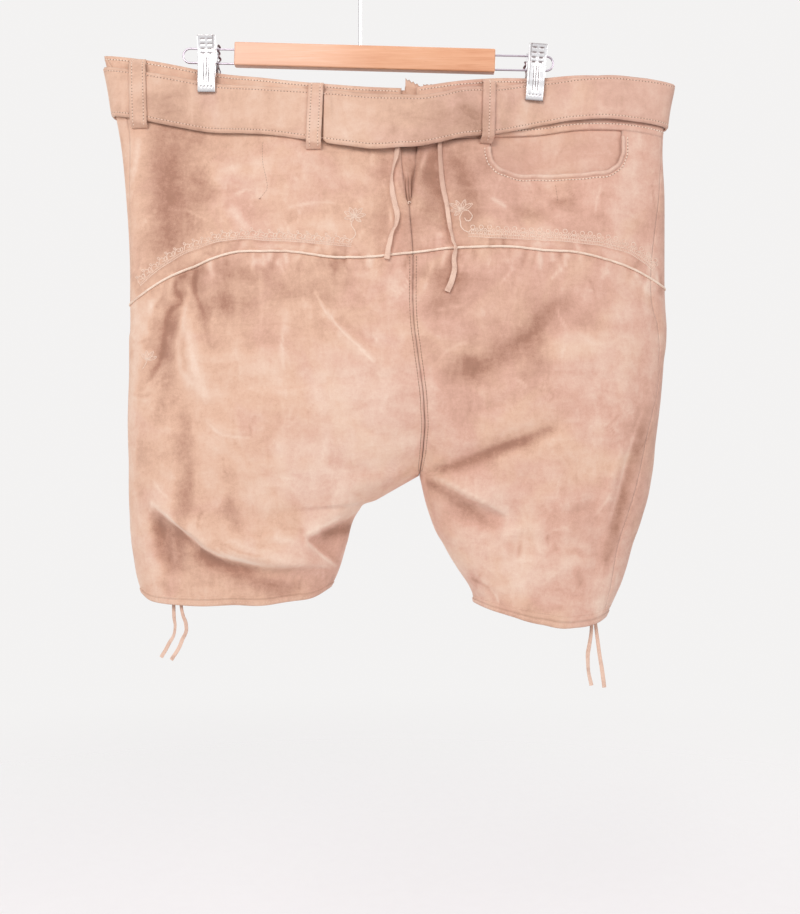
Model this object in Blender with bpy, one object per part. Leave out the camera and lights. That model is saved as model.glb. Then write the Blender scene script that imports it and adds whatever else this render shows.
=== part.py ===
"""Lederhosen held by the waistband on a wooden clip hanger.

Tables are in millimetres and meshes in metres. +Z is up, the garment's back faces -Y, and
the origin is the point inside the hook that rests on a rail.

The garment's shell is worked out from level sections. Each half, left and right, has one
table of sections from the waistband's top to the hem. A section runs from the inner edge
(the centre seam on the seat, the inseam on the leg) round the side to the inner edge again.
A place on it is an angle: positive on the back, 0 on the side fold, negative on the front.
"""

import math
from collections import namedtuple

import bmesh
import bpy
import numpy as np

MM = 0.001

# ---------------------------------------------------------------- sizes (millimetres)

SUEDE = 1.8              # wall of the seat, legs and yoke
BAND_SUEDE = 2.2         # doubled waistband
TRIM_SUEDE = 1.4         # loops, piping, hem bands and rims
BELT_SUEDE = 3.6         # two-layer strap
SEAM_GAP = 0.3
LAID_ON = 0.6            # what lies on a panel stands this far off its outer face

COLUMNS = 17             # faces across each panel of the back
FRONT_COLUMNS = 13
LEG_ROWS = 20            # faces from the yoke seam to the hem
YOKE_ROWS = 6
BAND_ROWS = 2

FOLD_CROWDING = 26.0     # millimetres of cloth that one radian of turn counts for, in spacing
HELD_DEPTH = 4.6         # half of the waist's thickness between a clip's jaws
CLIP_REACH = 48.0        # how far a clip's grip draws the waist flat, to each side

Section = namedtuple("Section", "name x_in z_in x_out z_out dip1 dip2 dip3 back front edge seam")

# x_in, z_in: inner edge.  x_out, z_out: side fold.  dip1..3: how far the section hangs below
# a straight line at a quarter, half and three quarters of its width.  back, front: depth.
# edge: squareness of the side fold, smaller is fuller.  seam: side seam's inset on the back.
SECTIONS = {
    "left": [
        Section("top", 50, -143, -263, -106, 5, 5.5, 2, 17, 19, 0.70, 3),
        Section("waist", 50, -199, -252, -161, 6, 6, 4.5, 27, 26, 0.72, 14),
        Section("yoke_mid", 50, -257, -240, -253, 2, 0, -3, 37, 32, 0.78, 5),
        Section("yoke", 54, -315, -236, -362, -7, -25.5, -24, 46, 38, 0.82, 2),
        Section("seat_high", 54, -367, -237, -397, -4, -14, -14, 52, 42, 0.84, 2),
        Section("seat", 58, -409, -237, -433, -2, -7, -8, 57, 44, 0.85, 2),
        Section("seat_low", 62, -439, -238, -464, 0, -3, -4, 58, 45, 0.85, 2),
        Section("above_crotch", 65, -471, -238, -495, 0, 0, 0, 57, 45, 0.85, 2),
        Section("crotch_curve", 65, -501, -237, -523, 0, 0, 0, 55, 45, 0.85, 2),
        Section("crotch", 61, -537, -237, -552, 0, 0, 0, 51, 44, 0.85, 2),
        Section("thigh", 19, -561, -236, -578, 0, 0, 0, 48, 43, 0.85, 2),
        Section("knee_high", -1, -573, -235, -598, 0, 0, 0, 45, 42, 0.85, 2),
        Section("knee_low", -13, -606, -232, -621, 3, 2, 1, 42, 41, 0.85, 2),
        Section("hem_high", -21, -632, -228, -645, 7, 6, 4, 39, 39, 0.85, 2),
        Section("hem", -30, -649, -224, -662, 12, 10.5, 8, 37, 37, 0.85, 2),
    ],
    "right": [
        Section("top", 50, -143, 324, -136, -8, -10.5, -8.5, 17, 19, 0.70, 2),
        Section("waist", 50, -199, 314, -191, -2, -7, -7.5, 27, 26, 0.72, 2),
        Section("yoke_mid", 50, -257, 313, -253, -2, -4, -4, 37, 32, 0.78, 8),
        Section("yoke", 54, -315, 313, -346, -13.5, -18.5, -18, 46, 38, 0.82, 18),
        Section("seat_high", 54, -367, 315, -388, -4, -9, -9, 52, 42, 0.84, 13),
        Section("seat", 58, -409, 312, -420, -2, -5, -5, 57, 44, 0.85, 8),
        Section("seat_low", 62, -439, 310, -445, 0, -2, -2, 58, 45, 0.85, 7),
        Section("above_crotch", 65, -471, 307, -473, 0, 0, 0, 57, 45, 0.85, 11),
        Section("crotch_curve", 65, -501, 303, -504, 0, 0, 0, 55, 45, 0.85, 15),
        Section("crotch", 61, -537, 299, -540, 0, 0, 0, 51, 44, 0.85, 19),
        Section("thigh", 72, -579, 291, -578, 0, 0, 0, 48, 43, 0.85, 21),
        Section("knee_high", 86, -608, 282, -607, 0, 0, 0, 45, 42, 0.85, 20),
        Section("knee_low", 100, -632, 275, -634, 2, 3, 3, 42, 41, 0.85, 17),
        Section("hem_high", 113, -652, 265, -660, 5, 8, 8, 39, 39, 0.85, 12),
        Section("hem", 117, -666, 255, -682, 7, 12, 11, 37, 37, 0.85, 8),
    ],
}

Fold = namedtuple("Fold", "name face x0 z0 x1 z1 above below rise")

# A soft ridge (rise > 0) or trough (rise < 0) along a line, with its width to each side.
FOLDS = [
    Fold("left seat trough", "back", -163, -330, -200, -412, 15, 15, -9),
    Fold("left seat trough foot", "back", -194, -402, -219, -452, 12, 14, -6),
    Fold("left seat ridge", "back", -178, -372, -152, -468, 15, 15, 5),
    Fold("left leg drape", "back", -212, -560, -128, -616, 24, 10, 10),
    Fold("left leg drape foot", "back", -142, -608, -18, -632, 22, 9, 10),
    Fold("left leg hollow", "back", -200, -574, -190, -640, 13, 13, -9),
    Fold("left crotch overhang", "back", -55, -598, 8, -566, 18, 9, 9),
    Fold("left crotch hollow", "back", -48, -614, 2, -590, 11, 18, -10),
    Fold("right crotch overhang", "back", 76, -541, 138, -570, 24, 12, 8),
    Fold("right crotch hollow", "back", 84, -564, 146, -592, 14, 22, -6),
    Fold("right seat crease", "back", 68, -536, 220, -478, 12, 10, -5),
    Fold("right seat band", "back", 84, -438, 200, -374, 26, 22, -5),
    Fold("front left drape", "front", -205, -500, -70, -590, 22, 14, 8),
    Fold("front left hollow", "front", -190, -350, -120, -440, 20, 20, -7),
    Fold("front right drape", "front", 265, -520, 150, -600, 14, 22, 8),
    Fold("front right hollow", "front", 260, -330, 200, -430, 20, 20, -7),
    Fold("front crotch crease left", "front", 45, -520, -40, -470, 9, 12, -5),
    Fold("front crotch crease right", "front", 80, -520, 160, -468, 12, 9, -5),
]

# Strap's upper and lower edge, and how far it stands off the waistband.
BeltStation = namedtuple("BeltStation", "x top bottom stand_off")
BELT = [
    BeltStation(-262, -117, -168, 1.0),
    BeltStation(-235, -122, -174, 1.0),
    BeltStation(-176, -131, -185, 1.4),
    BeltStation(-120, -139, -192, 3.5),
    BeltStation(-52, -145, -199, 2.0),
    BeltStation(-20, -148, -205, 6.5),
    BeltStation(41, -152, -209, 8.5),
    BeltStation(80, -150, -204, 7.0),
    BeltStation(103, -144, -197, 4.0),
    BeltStation(138, -141, -191, 1.6),
    BeltStation(169, -135, -183, 1.2),
    BeltStation(195, -133, -178, 1.2),
    BeltStation(229, -131, -176, 3.0),
    BeltStation(279, -132, -178, 2.4),
    BeltStation(319, -136, -182, 1.0),
]
BELT_STEPS = 84
BELT_OVERLAP = 105.0     # strap end that lies over its start at the front
BELT_LEVEL = 0.6         # level of the section that the strap follows round the waist
BELT_RAMP = 24.0         # run over which the overlap rises from one layer to two

BeltLoop = namedtuple("BeltLoop", "name face x_top z_top x_bottom z_bottom width")
BELT_LOOPS = [
    BeltLoop("belt_loop_back_left", "back", -226, -112, -223, -184, 18),
    BeltLoop("belt_loop_back_middle", "back", -42, -138, -44, -211, 17),
    BeltLoop("belt_loop_back_right", "back", 131, -134, 128, -201, 13),
    BeltLoop("belt_loop_front_left", "front", -110, -128, -110, -203, 17),
    BeltLoop("belt_loop_front_right", "front", 210, -124, 210, -188, 17),
]

KEEPER = BeltLoop("belt_keeper", "front", -12, -139, -12, -214, 14)
LOOP_CLEARANCE = 2.4         # gap that a loop keeps above and below the strap
LOOP_LIFT = 0.2
LOOP_ROWS = 14

# Half width of the laced slit in the centre back, by level of the section table.
SLIT_LEVELS = (0.0, 1.0, 2.0, 2.18)
SLIT_HALF_WIDTHS = (7.0, 8.5, 2.0, 0.0)

TONGUE = dict(x_left=34.0, x_right=75.0, z_foot=-262.0, z_low=-137.0, z_high=-130.0, x_step=61.0)
TONGUE_TEETH = 7
TONGUE_TOOTH = 2.2

# Scooped pocket mouth in the right yoke: its edge from the waist seam round to the seam again.
PocketPoint = namedtuple("PocketPoint", "x z")
POCKET_EDGE = [
    PocketPoint(133, -204), PocketPoint(134, -212), PocketPoint(138, -226), PocketPoint(150, -235),
    PocketPoint(181, -237), PocketPoint(210, -236), PocketPoint(238, -234), PocketPoint(257, -229),
    PocketPoint(264, -219), PocketPoint(266, -204), PocketPoint(266, -193),
]
POCKET_RIM_WIDTH = 4.0
POCKET_RIM_INSIDE = 0.6     # how far the rim reaches over the mouth
POCKET_RIM_LIFT = 0.5
POCKET_FACING_MARGIN = 6.0
POCKET_FACING_DROP = 0.4
POCKET_CUT_DEPTH = 40.0
BELOW_WAIST = 1.0           # how far the pocket's pieces end under the waist seam

PIPING_WIDTH = 3.0
HEM_BAND_HEIGHT = 8.0

BUCKLE = dict(x=34.0, half_width=17.0, half_height=31.0, corner=6.0, wire=1.9, prong=1.6)
FLAP = dict(x_left=-38.0, x_right=142.0, z_top=-219.0, z_foot=-366.0, corner=26.0, taper=0.10)
FLAP_LIFT = LAID_ON + 0.4
BUTTON_RADIUS = 9.0
BUTTON_THICKNESS = 3.6
BUTTON_CLEARANCE = 1.2
BUTTON_PLACES = ((-22.0, -234.0), (126.0, -234.0))

# Routes of the ties: x, z and how far the cord's middle stands off the cloth.
TieStop = namedtuple("TieStop", "x z stand_off")
BACK_TIES = {
    "back_lace_left": [
        TieStop(38, -196, 3.0), TieStop(36.5, -212, 3.2), TieStop(35, -236, 3.0), TieStop(38, -262, 3.0),
        TieStop(38, -276, 3.2), TieStop(32, -288, 3.8), TieStop(34, -297, 4.6), TieStop(29, -322, 4.8),
    ],
    "back_lace_right": [
        TieStop(81, -194, 3.0), TieStop(81, -212, 3.2), TieStop(81, -228, 3.0), TieStop(84, -255, 3.0),
        TieStop(89, -273, 3.4), TieStop(90, -291, 4.2), TieStop(94, -307, 4.8), TieStop(95, -330, 4.2),
        TieStop(88, -356, 3.2),
    ],
}
LegStop = namedtuple("LegStop", "x y z")
LEG_TIES = {
    "leg_lace_left_outer": [
        LegStop(-188, -22, -671), LegStop(-187, -24, -680), LegStop(-186, -25, -692), LegStop(-192, -25, -706),
        LegStop(-200, -24, -720),
    ],
    "leg_lace_left_inner": [
        LegStop(-180, -27, -672), LegStop(-177, -28, -678), LegStop(-174, -29, -686), LegStop(-178, -29, -702),
        LegStop(-189, -28, -722),
    ],
    "leg_lace_right_inner": [
        LegStop(236, -17, -694), LegStop(234.5, -19, -700), LegStop(233, -20, -708), LegStop(231.5, -21, -726),
        LegStop(235, -21, -749),
    ],
    "leg_lace_right_outer": [
        LegStop(240, -14, -693), LegStop(242, -15, -702), LegStop(244, -16, -719), LegStop(246.5, -16, -734),
        LegStop(249, -16, -752),
    ],
}
TIE_RADIUS = 1.5
LEG_TIE_RADIUS = 1.3
TIE_STEP = 8.0

# Hanger.
HANGER_TILT = math.radians(1.55)     # the bar's right end hangs lower
BAR_LENGTH = 268.0
BAR_HEIGHT = 24.0
BAR_DEPTH = 11.0
BAR_CENTRE = (5.0, 0.0, -107.2)
BAR_CORNER = 2.6
WIRE_RADIUS = 1.4
WIRE_SPREAD = 7.0                    # each hairpin's bars lie this far above and below its middle
WIRE_ENDS = {"left": -182.0, "right": 199.0}
HOOK_RADIUS = 19.0                   # to the wire's middle
HOOK_WIRE = 1.7
HOOK_OPENING = math.radians(215.0)
HOOK_START = math.radians(-125.0)
HOOK_STEPS = 16
HOOK_NECK = 28.0                     # height over which the hook runs into its stem
HOOK_NECK_STOPS = ((0.86, 3.64), (0.5, 13.0), (0.16, 21.84))     # share of the reach, and drop

Clip = namedtuple("Clip", "name x z_wire")
CLIPS = [Clip("left", -156.0, -104.6), Clip("right", 181.0, -113.4)]
CLIP_WIDTH = 18.5
CLIP_SHEET = 1.2
JawLevel = namedtuple("JawLevel", "z outer flange")
JAW = [
    JawLevel(15.5, 18.0, 3.0), JawLevel(8.0, 15.4, 8.0), JawLevel(0.0, 13.6, 9.6), JawLevel(-9.0, 13.4, 7.0),
    JawLevel(-20.0, 14.4, 2.6), JawLevel(-35.0, 15.4, 2.6), JawLevel(-41.5, 13.8, 1.4),
]
PIVOT_RADIUS = 2.2

# ---------------------------------------------------------------- colours

Finish = namedtuple("Finish", "name color roughness metallic")
SUEDE_FINISH = Finish("suede", (0.71, 0.44, 0.31, 1.0), 0.95, 0.0)
BELT_FINISH = Finish("belt_suede", (0.66, 0.41, 0.29, 1.0), 0.92, 0.0)
CREAM_FINISH = Finish("cream_leather", (0.84, 0.65, 0.50, 1.0), 0.85, 0.0)
WOOD_FINISH = Finish("beech", (0.80, 0.45, 0.22, 1.0), 0.5, 0.0)
STEEL_FINISH = Finish("bright_steel", (0.80, 0.80, 0.81, 1.0), 0.22, 1.0)
BUCKLE_FINISH = Finish("old_brass", (0.52, 0.40, 0.20, 1.0), 0.4, 1.0)
HORN_FINISH = Finish("horn", (0.22, 0.13, 0.07, 1.0), 0.4, 0.0)


class Smooth:
    """A smooth curve through the rows of a table's column, which may turn sharply at one row."""

    def __init__(self, places, values, corner=None):
        self.places = np.array(places, dtype=float)
        self.values = np.array(values, dtype=float)
        self.slopes_out = np.gradient(self.values, self.places)
        self.slopes_in = self.slopes_out.copy()
        if corner is not None:
            before, after = slice(0, corner + 1), slice(corner, None)
            self.slopes_in[before] = np.gradient(self.values[before], self.places[before])
            self.slopes_out[before] = self.slopes_in[before]
            self.slopes_out[after] = np.gradient(self.values[after], self.places[after])
            self.slopes_in[corner + 1:] = self.slopes_out[corner + 1:]

    def __call__(self, at):
        at = np.clip(at, self.places[0], self.places[-1])
        row = np.clip(np.searchsorted(self.places, at, side="right") - 1, 0, len(self.places) - 2)
        step = self.places[row + 1] - self.places[row]
        t = (at - self.places[row]) / step
        start = self.values[row] + (at - self.places[row]) * self.slopes_out[row]
        end = self.values[row + 1] + (at - self.places[row + 1]) * self.slopes_in[row + 1]
        blend = t * t * (3.0 - 2.0 * t)
        return start * (1.0 - blend) + end * blend


QUARTERS = (0.0, 0.25, 0.5, 0.75, 1.0)
DIP_SHAPES = [Smooth(QUARTERS, [float(at == peak) for at in QUARTERS]) for peak in QUARTERS[1:4]]


class Half:
    """The shell of the left or right half, as a function of angle and level."""

    def __init__(self, side):
        rows = SECTIONS[side]
        self.level = {row.name: float(number) for number, row in enumerate(rows)}
        self.last = float(len(rows) - 1)
        crotch = int(self.level["crotch"])
        self.columns = {
            field: Smooth(range(len(rows)), [getattr(row, field) for row in rows],
                          corner=crotch if field in ("x_in", "z_in") else None)
            for field in Section._fields[1:]
        }

    def start_angle(self, level):
        """Angle of the inner edge: a right angle on the seat, half a turn on the leg."""
        first, last = self.level["seat_low"], self.level["crotch"]
        fall = np.clip((level - first) / (last - first), 0.0, 1.0)
        share = np.sqrt(1.0 - fall ** 2)
        return np.pi - np.arcsin(share ** (1.0 / self.columns["edge"](level)))

    def seam_angle(self, level):
        """Angle of the side seam."""
        edge = self.columns["edge"](level)
        inset = self.columns["seam"](level) / self.half_width(level)
        return np.arccos(np.clip(1.0 - inset, 0.0, 1.0) ** (1.0 / edge))

    def half_width(self, level):
        """Distance from the section's middle to its side fold, negative on the left."""
        width = self.columns["x_out"](level) - self.columns["x_in"](level)
        inner = np.abs(np.cos(self.start_angle(level))) ** self.columns["edge"](level)
        return np.abs(width) / (1.0 + inner)

    def height(self, x, level):
        """Height of the section at this level over x."""
        column = {name: curve(level) for name, curve in self.columns.items()}
        across = (x - column["x_in"]) / (column["x_out"] - column["x_in"])
        across = np.clip(across, 0.0, 1.0)
        dips = [column["dip1"], column["dip2"], column["dip3"]]
        z = column["z_in"] + (column["z_out"] - column["z_in"]) * across
        return z - sum(dip * shape(across) for dip, shape in zip(dips, DIP_SHAPES))

    def point(self, angle, level):
        """Points of the outer face, an array with one x, y, z row for each angle and level."""
        angle, level = np.broadcast_arrays(np.asarray(angle, float), np.asarray(level, float))
        angle = np.mod(angle + np.pi, 2.0 * np.pi) - np.pi
        edge = self.columns["edge"](level)
        outward = np.sign(self.columns["x_out"](level) - self.columns["x_in"](level))
        half = self.half_width(level)
        cosine = np.cos(angle)
        reach = half * (1.0 - np.sign(cosine) * np.abs(cosine) ** edge)
        x = self.columns["x_out"](level) - outward * (reach - SEAM_GAP / 2.0)
        lift = np.abs(np.sin(angle)) ** edge
        back = angle > 0.0
        depth = lift * np.where(back, self.columns["back"](level), self.columns["front"](level))
        z = self.height(x, level)
        depth = held_flat(x, depth, 1.0 - level / self.level["yoke"])
        calm = np.abs(np.sin(angle))
        depth = depth + calm * (fold_rise("back", x, z) * back + fold_rise("front", x, z) * ~back)
        return np.stack([x, np.where(back, -depth, depth), z], axis=-1)

    def level_at(self, x, z):
        """Level of the section that passes through x and z."""
        low = np.zeros_like(x)
        high = np.full_like(x, self.last)
        for _ in range(40):
            middle = 0.5 * (low + high)
            above = self.height(x, middle) > z
            low = np.where(above, middle, low)
            high = np.where(above, high, middle)
        return 0.5 * (low + high)

    def over(self, x, z, face):
        """Points of the outer face over x and z on the back or front."""
        level = self.level_at(x, z)
        half = self.half_width(level)
        x_out = self.columns["x_out"](level)
        outward = np.sign(x_out - self.columns["x_in"](level))
        cosine = 1.0 - np.clip((x_out - x) * outward / half, 0.0, 2.0)
        angle = np.arccos(np.sign(cosine) * np.abs(cosine) ** (1.0 / self.columns["edge"](level)))
        angle = np.maximum(angle, 0.001)
        return self.point(angle if face == "back" else -angle, level)


def held_flat(x, depth, hold):
    """Depth of the waist after the clips have drawn it flat."""
    hold = 1.0 - (1.0 - np.clip(hold, 0.0, 1.0)) ** 2
    hold = hold * hold * (3.0 - 2.0 * hold)
    for clip in CLIPS:
        share = hold * np.exp(-((x - clip.x) / CLIP_REACH) ** 2)
        depth = depth * (1.0 - share) + np.minimum(depth, HELD_DEPTH) * share
    return depth


def fold_rise(face, x, z):
    """How far the folds raise the face at x and z."""
    total = np.zeros_like(x)
    for fold in FOLDS:
        if fold.face != face:
            continue
        run_x, run_z = fold.x1 - fold.x0, fold.z1 - fold.z0
        length = math.hypot(run_x, run_z)
        along = ((x - fold.x0) * run_x + (z - fold.z0) * run_z) / length ** 2
        across = ((z - fold.z0) * run_x - (x - fold.x0) * run_z) / length
        width = np.where(across > 0.0, fold.above, fold.below)
        total += fold.rise * np.exp(-(across / width) ** 2 - 1.5 * (2.0 * along - 1.0) ** 4)
    return total


HALVES = {"left": Half("left"), "right": Half("right")}
CENTRE_X = 50.0          # middle of the waist, front and back


def on_cloth(face, x, z, stand_off):
    """Points that stand off the outer face over x and z, along the cloth's normal."""
    x, z = np.broadcast_arrays(np.asarray(x, float), np.asarray(z, float))
    left = HALVES["left"].over(x, z, face)
    right = HALVES["right"].over(x, z, face)
    is_left = (x < CENTRE_X)[..., None]
    here = np.where(is_left, left, right)
    here[..., 0] = x
    here[..., 2] = z
    step = 1.5
    slope_x = depth_only(face, x + step, z) - depth_only(face, x - step, z)
    slope_z = depth_only(face, x, z + step) - depth_only(face, x, z - step)
    outward = -1.0 if face == "back" else 1.0
    normal = np.stack([-slope_x / (2 * step), np.full_like(x, outward), -slope_z / (2 * step)], axis=-1)
    normal[..., 0] *= outward
    normal[..., 2] *= outward
    normal /= np.linalg.norm(normal, axis=-1, keepdims=True)
    return here + normal * np.asarray(stand_off, float)[..., None]


def depth_only(face, x, z):
    """The cloth's signed distance from the middle plane over x and z."""
    left = HALVES["left"].over(x, z, face)[..., 1]
    right = HALVES["right"].over(x, z, face)[..., 1]
    return np.where(x < CENTRE_X, left, right)


# ---------------------------------------------------------------- objects

def clear_scene():
    """Remove what the scene starts with."""
    for thing in list(bpy.data.objects):
        bpy.data.objects.remove(thing)


def material(finish):
    """The finish's material, made once."""
    made = bpy.data.materials.get(finish.name)
    if made is None:
        made = bpy.data.materials.new(finish.name)
        made.use_nodes = True
        shader = made.node_tree.nodes["Principled BSDF"]
        shader.inputs["Base Color"].default_value = finish.color
        shader.inputs["Roughness"].default_value = finish.roughness
        shader.inputs["Metallic"].default_value = finish.metallic
    return made


def part_collection():
    """The collection that holds the part."""
    made = bpy.data.collections.get("lederhosen")
    if made is None:
        made = bpy.data.collections.new("lederhosen")
        bpy.context.scene.collection.children.link(made)
    return made


def add_object(name, data, finish):
    """Link an object with its finish to the part's collection."""
    data.materials.append(material(finish))
    thing = bpy.data.objects.new(name, data)
    part_collection().objects.link(thing)
    return thing


def finish_mesh(name, mesh_builder, finish, smooth_angle=40.0):
    """Turn a bmesh into a named object."""
    mesh = bpy.data.meshes.new(name)
    mesh_builder.to_mesh(mesh)
    mesh_builder.free()
    mesh.shade_smooth()
    mesh.set_sharp_from_angle(angle=math.radians(smooth_angle))
    return add_object(name, mesh, finish)


def cloth_wall(name, columns, rows, place, finish, low, high, closed=False):
    """A wall of cloth between two faces, low and high millimetres off a laid out surface.

    place(across, down, stand_off) gives the points. A closed wall meets itself at its ends.
    """
    sheet = bmesh.new()
    bmesh.ops.create_grid(sheet, x_segments=columns, y_segments=rows, size=0.5)
    corners = np.array([vertex.co[:] for vertex in sheet.verts]) + 0.5
    across, down = corners[:, 0], 1.0 - corners[:, 1]
    inner = list(sheet.verts)
    copied = bmesh.ops.extrude_face_region(sheet, geom=sheet.faces[:])
    outer = {vertex.co[:2]: vertex for vertex in copied["geom"] if isinstance(vertex, bmesh.types.BMVert)}
    matched = [outer[vertex.co[:2]] for vertex in inner]
    if closed:
        ends = [face for face in sheet.faces if all(abs(abs(vertex.co.x) - 0.5) < 1e-6 for vertex in face.verts)]
        bmesh.ops.delete(sheet, geom=ends, context="FACES_ONLY")
    for vertices, stand_off in ((inner, low), (matched, high)):
        for vertex, spot in zip(vertices, place(across, down, stand_off) * MM):
            vertex.co = spot
    bmesh.ops.remove_doubles(sheet, verts=sheet.verts, dist=0.00001)
    bmesh.ops.recalc_face_normals(sheet, faces=sheet.faces)
    return finish_mesh(name, sheet, finish)


def tube(name, points_mm, radius_mm, finish, sides=2):
    """A round cord or wire along points."""
    line = bpy.data.curves.new(name, "CURVE")
    line.dimensions = "3D"
    line.bevel_depth = radius_mm * MM
    line.bevel_resolution = sides
    line.use_fill_caps = True
    spline = line.splines.new("POLY")
    spline.points.add(len(points_mm) - 1)
    for knot, spot in zip(spline.points, points_mm):
        knot.co = (spot[0] * MM, spot[1] * MM, spot[2] * MM, 1.0)
    return add_object(name, line, finish)


def smooth_route(stops, step):
    """Points a step apart on a smooth curve through stops."""
    stops = np.array(stops, dtype=float)
    run = np.concatenate([[0.0], np.cumsum(np.linalg.norm(np.diff(stops, axis=0), axis=1))])
    count = max(2, int(round(run[-1] / step)) + 1)
    wanted = np.linspace(0.0, run[-1], count)
    return np.stack([Smooth(run, stops[:, axis])(wanted) for axis in range(stops.shape[1])], axis=-1)


# ---------------------------------------------------------------- panels

def spacing_run(track):
    """Distance along a track, with turns counted as extra length so that folds get more points."""
    steps = np.diff(track, axis=0)
    lengths = np.linalg.norm(steps, axis=1)
    headings = steps / np.maximum(lengths, 1e-9)[:, None]
    turns = np.arccos(np.clip(np.sum(headings[1:] * headings[:-1], axis=1), -1.0, 1.0))
    extra = FOLD_CROWDING * np.concatenate([[0.0], turns])
    run = np.concatenate([[0.0], np.cumsum(lengths)])
    return run, np.concatenate([[0.0], np.cumsum(lengths + extra)])


def spread_angles(half, level, first, last, shares, cut_first, cut_last):
    """Angles of places spread along a section, closer at its folds, and clear of its two ends."""
    angles = np.linspace(first, last, 361)
    run, weighted = spacing_run(half.point(angles, level))
    begin, end = np.interp([cut_first, run[-1] - cut_last], run, weighted)
    return np.interp(begin + (end - begin) * shares, weighted, angles)


def slit_half_width(level):
    """Half width of the centre back slit at this level."""
    return np.interp(level, SLIT_LEVELS, SLIT_HALF_WIDTHS)


def panel_angles(side, face, level, shares):
    """Angles across the back or front panel at one level, from the inner edge outwards."""
    half = HALVES[side]
    start = float(half.start_angle(level))
    seam = float(half.seam_angle(level))
    gap = SEAM_GAP / 2.0
    inner_gap = gap * abs(math.cos(start))
    if face == "back":
        slit = float(slit_half_width(level))
        return spread_angles(half, level, start, seam, shares, inner_gap + slit, gap)
    return spread_angles(half, level, -start, seam, shares, inner_gap, gap)


def shell_layout(side, face, levels):
    """A layout of the shell over a run of levels, drawn back by half a seam gap at both ends."""
    half = HALVES[side]
    trimmed = list(levels)
    trimmed[0] += edge_trim(half, levels[0], levels[1])
    trimmed[-1] += edge_trim(half, levels[-1], levels[-2])

    def place(across, down, stand_off):
        spots = np.zeros((len(across), 3))
        rows = np.rint(down * (len(trimmed) - 1)).astype(int)
        for number, level in enumerate(trimmed):
            row = rows == number
            shares, order = np.unique(across[row], return_inverse=True)
            angles = panel_angles(side, face, level, shares)
            spots[row] = lifted_shell(side, angles, level, stand_off)[order]
        return spots

    return place


def edge_trim(half, edge, inside):
    """How far a panel's upper or lower edge draws back from the seam, in levels."""
    rise = min(abs(float(half.columns[z](inside) - half.columns[z](edge))) for z in ("z_in", "z_out"))
    return (inside - edge) * (SEAM_GAP / 2.0) / rise


def make_panels():
    """Yokes, back leg panels, front leg panels and the waistband's four lengths."""
    for side, half in HALVES.items():
        top, waist, yoke, hem = (half.level[name] for name in ("top", "waist", "yoke", "hem"))
        band = np.linspace(top, waist, BAND_ROWS + 1)
        over_yoke = np.linspace(waist, yoke, YOKE_ROWS + 1)
        down_leg = np.linspace(yoke, hem, LEG_ROWS + 1)
        whole_front = np.concatenate([over_yoke, down_leg[1:]])
        pieces = [
            (f"waistband_back_{side}", "back", band, COLUMNS, BAND_SUEDE),
            (f"waistband_front_{side}", "front", band, COLUMNS, BAND_SUEDE),
            (f"yoke_{side}", "back", over_yoke, COLUMNS, SUEDE),
            (f"back_{side}", "back", down_leg, COLUMNS, SUEDE),
            (f"front_{side}", "front", whole_front, FRONT_COLUMNS, SUEDE),
        ]
        for name, face, levels, columns, wall in pieces:
            layout = shell_layout(side, face, levels)
            cloth_wall(name, columns, len(levels) - 1, layout, SUEDE_FINISH, -wall, 0.0)


def lifted_shell(side, angles, levels, stand_off):
    """Points that stand off one half's outer face at given angles and levels."""
    half = HALVES[side]
    angles, levels = np.broadcast_arrays(np.asarray(angles, float), np.asarray(levels, float))
    turn, drop = 0.004, 0.02
    along = half.point(angles + turn, levels) - half.point(angles - turn, levels)
    up, down = np.maximum(levels - drop, 0.0), np.minimum(levels + drop, half.last)
    downwards = half.point(angles, down) - half.point(angles, up)
    normal = np.cross(along, downwards)
    normal /= np.linalg.norm(normal, axis=-1, keepdims=True)
    outward = -1.0 if side == "left" else 1.0
    return half.point(angles, levels) + normal * outward * stand_off


def make_piping():
    """Cream edges laid in the yoke seam."""
    for side, half in HALVES.items():
        seam_level = half.level["yoke"]
        per_level = abs(float(half.height(CENTRE_X, seam_level + 0.5) - half.height(CENTRE_X, seam_level - 0.5)))

        def place(across, down, stand_off, side=side, seam_level=seam_level, per_level=per_level):
            shares, order = np.unique(across, return_inverse=True)
            angles = panel_angles(side, "back", seam_level, shares)[order]
            levels = seam_level + (down - 0.5) * PIPING_WIDTH / per_level
            return lifted_shell(side, angles, levels, stand_off)

        cloth_wall(f"yoke_piping_{side}", COLUMNS, 1, place, CREAM_FINISH, LAID_ON, LAID_ON + TRIM_SUEDE)


def make_hem_bands():
    """A band round each leg's lower edge."""
    for side, half in HALVES.items():
        hem = half.level["hem"]
        per_level = abs(float(half.columns["z_in"](hem) - half.columns["z_in"](hem - 1.0)))

        around = np.concatenate([
            panel_angles(side, "back", hem, np.arange(COLUMNS) / COLUMNS),
            panel_angles(side, "front", hem, 1.0 - np.arange(FRONT_COLUMNS + 1) / FRONT_COLUMNS),
        ])
        around[0], around[-1] = np.pi, -np.pi

        def place(across, down, stand_off, side=side, hem=hem, per_level=per_level, around=around):
            levels = hem - 0.02 - (1.0 - down) * HEM_BAND_HEIGHT / per_level
            angles = around[np.rint(across * (len(around) - 1)).astype(int)]
            return lifted_shell(side, angles, levels, stand_off)

        cloth_wall(f"hem_band_{side}", len(around) - 1, 1, place, SUEDE_FINISH, LAID_ON,
                   LAID_ON + TRIM_SUEDE, closed=True)


# ---------------------------------------------------------------- belt and loops

BELT_TOP = Smooth([row.x for row in BELT], [row.top for row in BELT])
BELT_BOTTOM = Smooth([row.x for row in BELT], [row.bottom for row in BELT])
BELT_STAND_OFF = Smooth([row.x for row in BELT], [row.stand_off for row in BELT])


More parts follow.
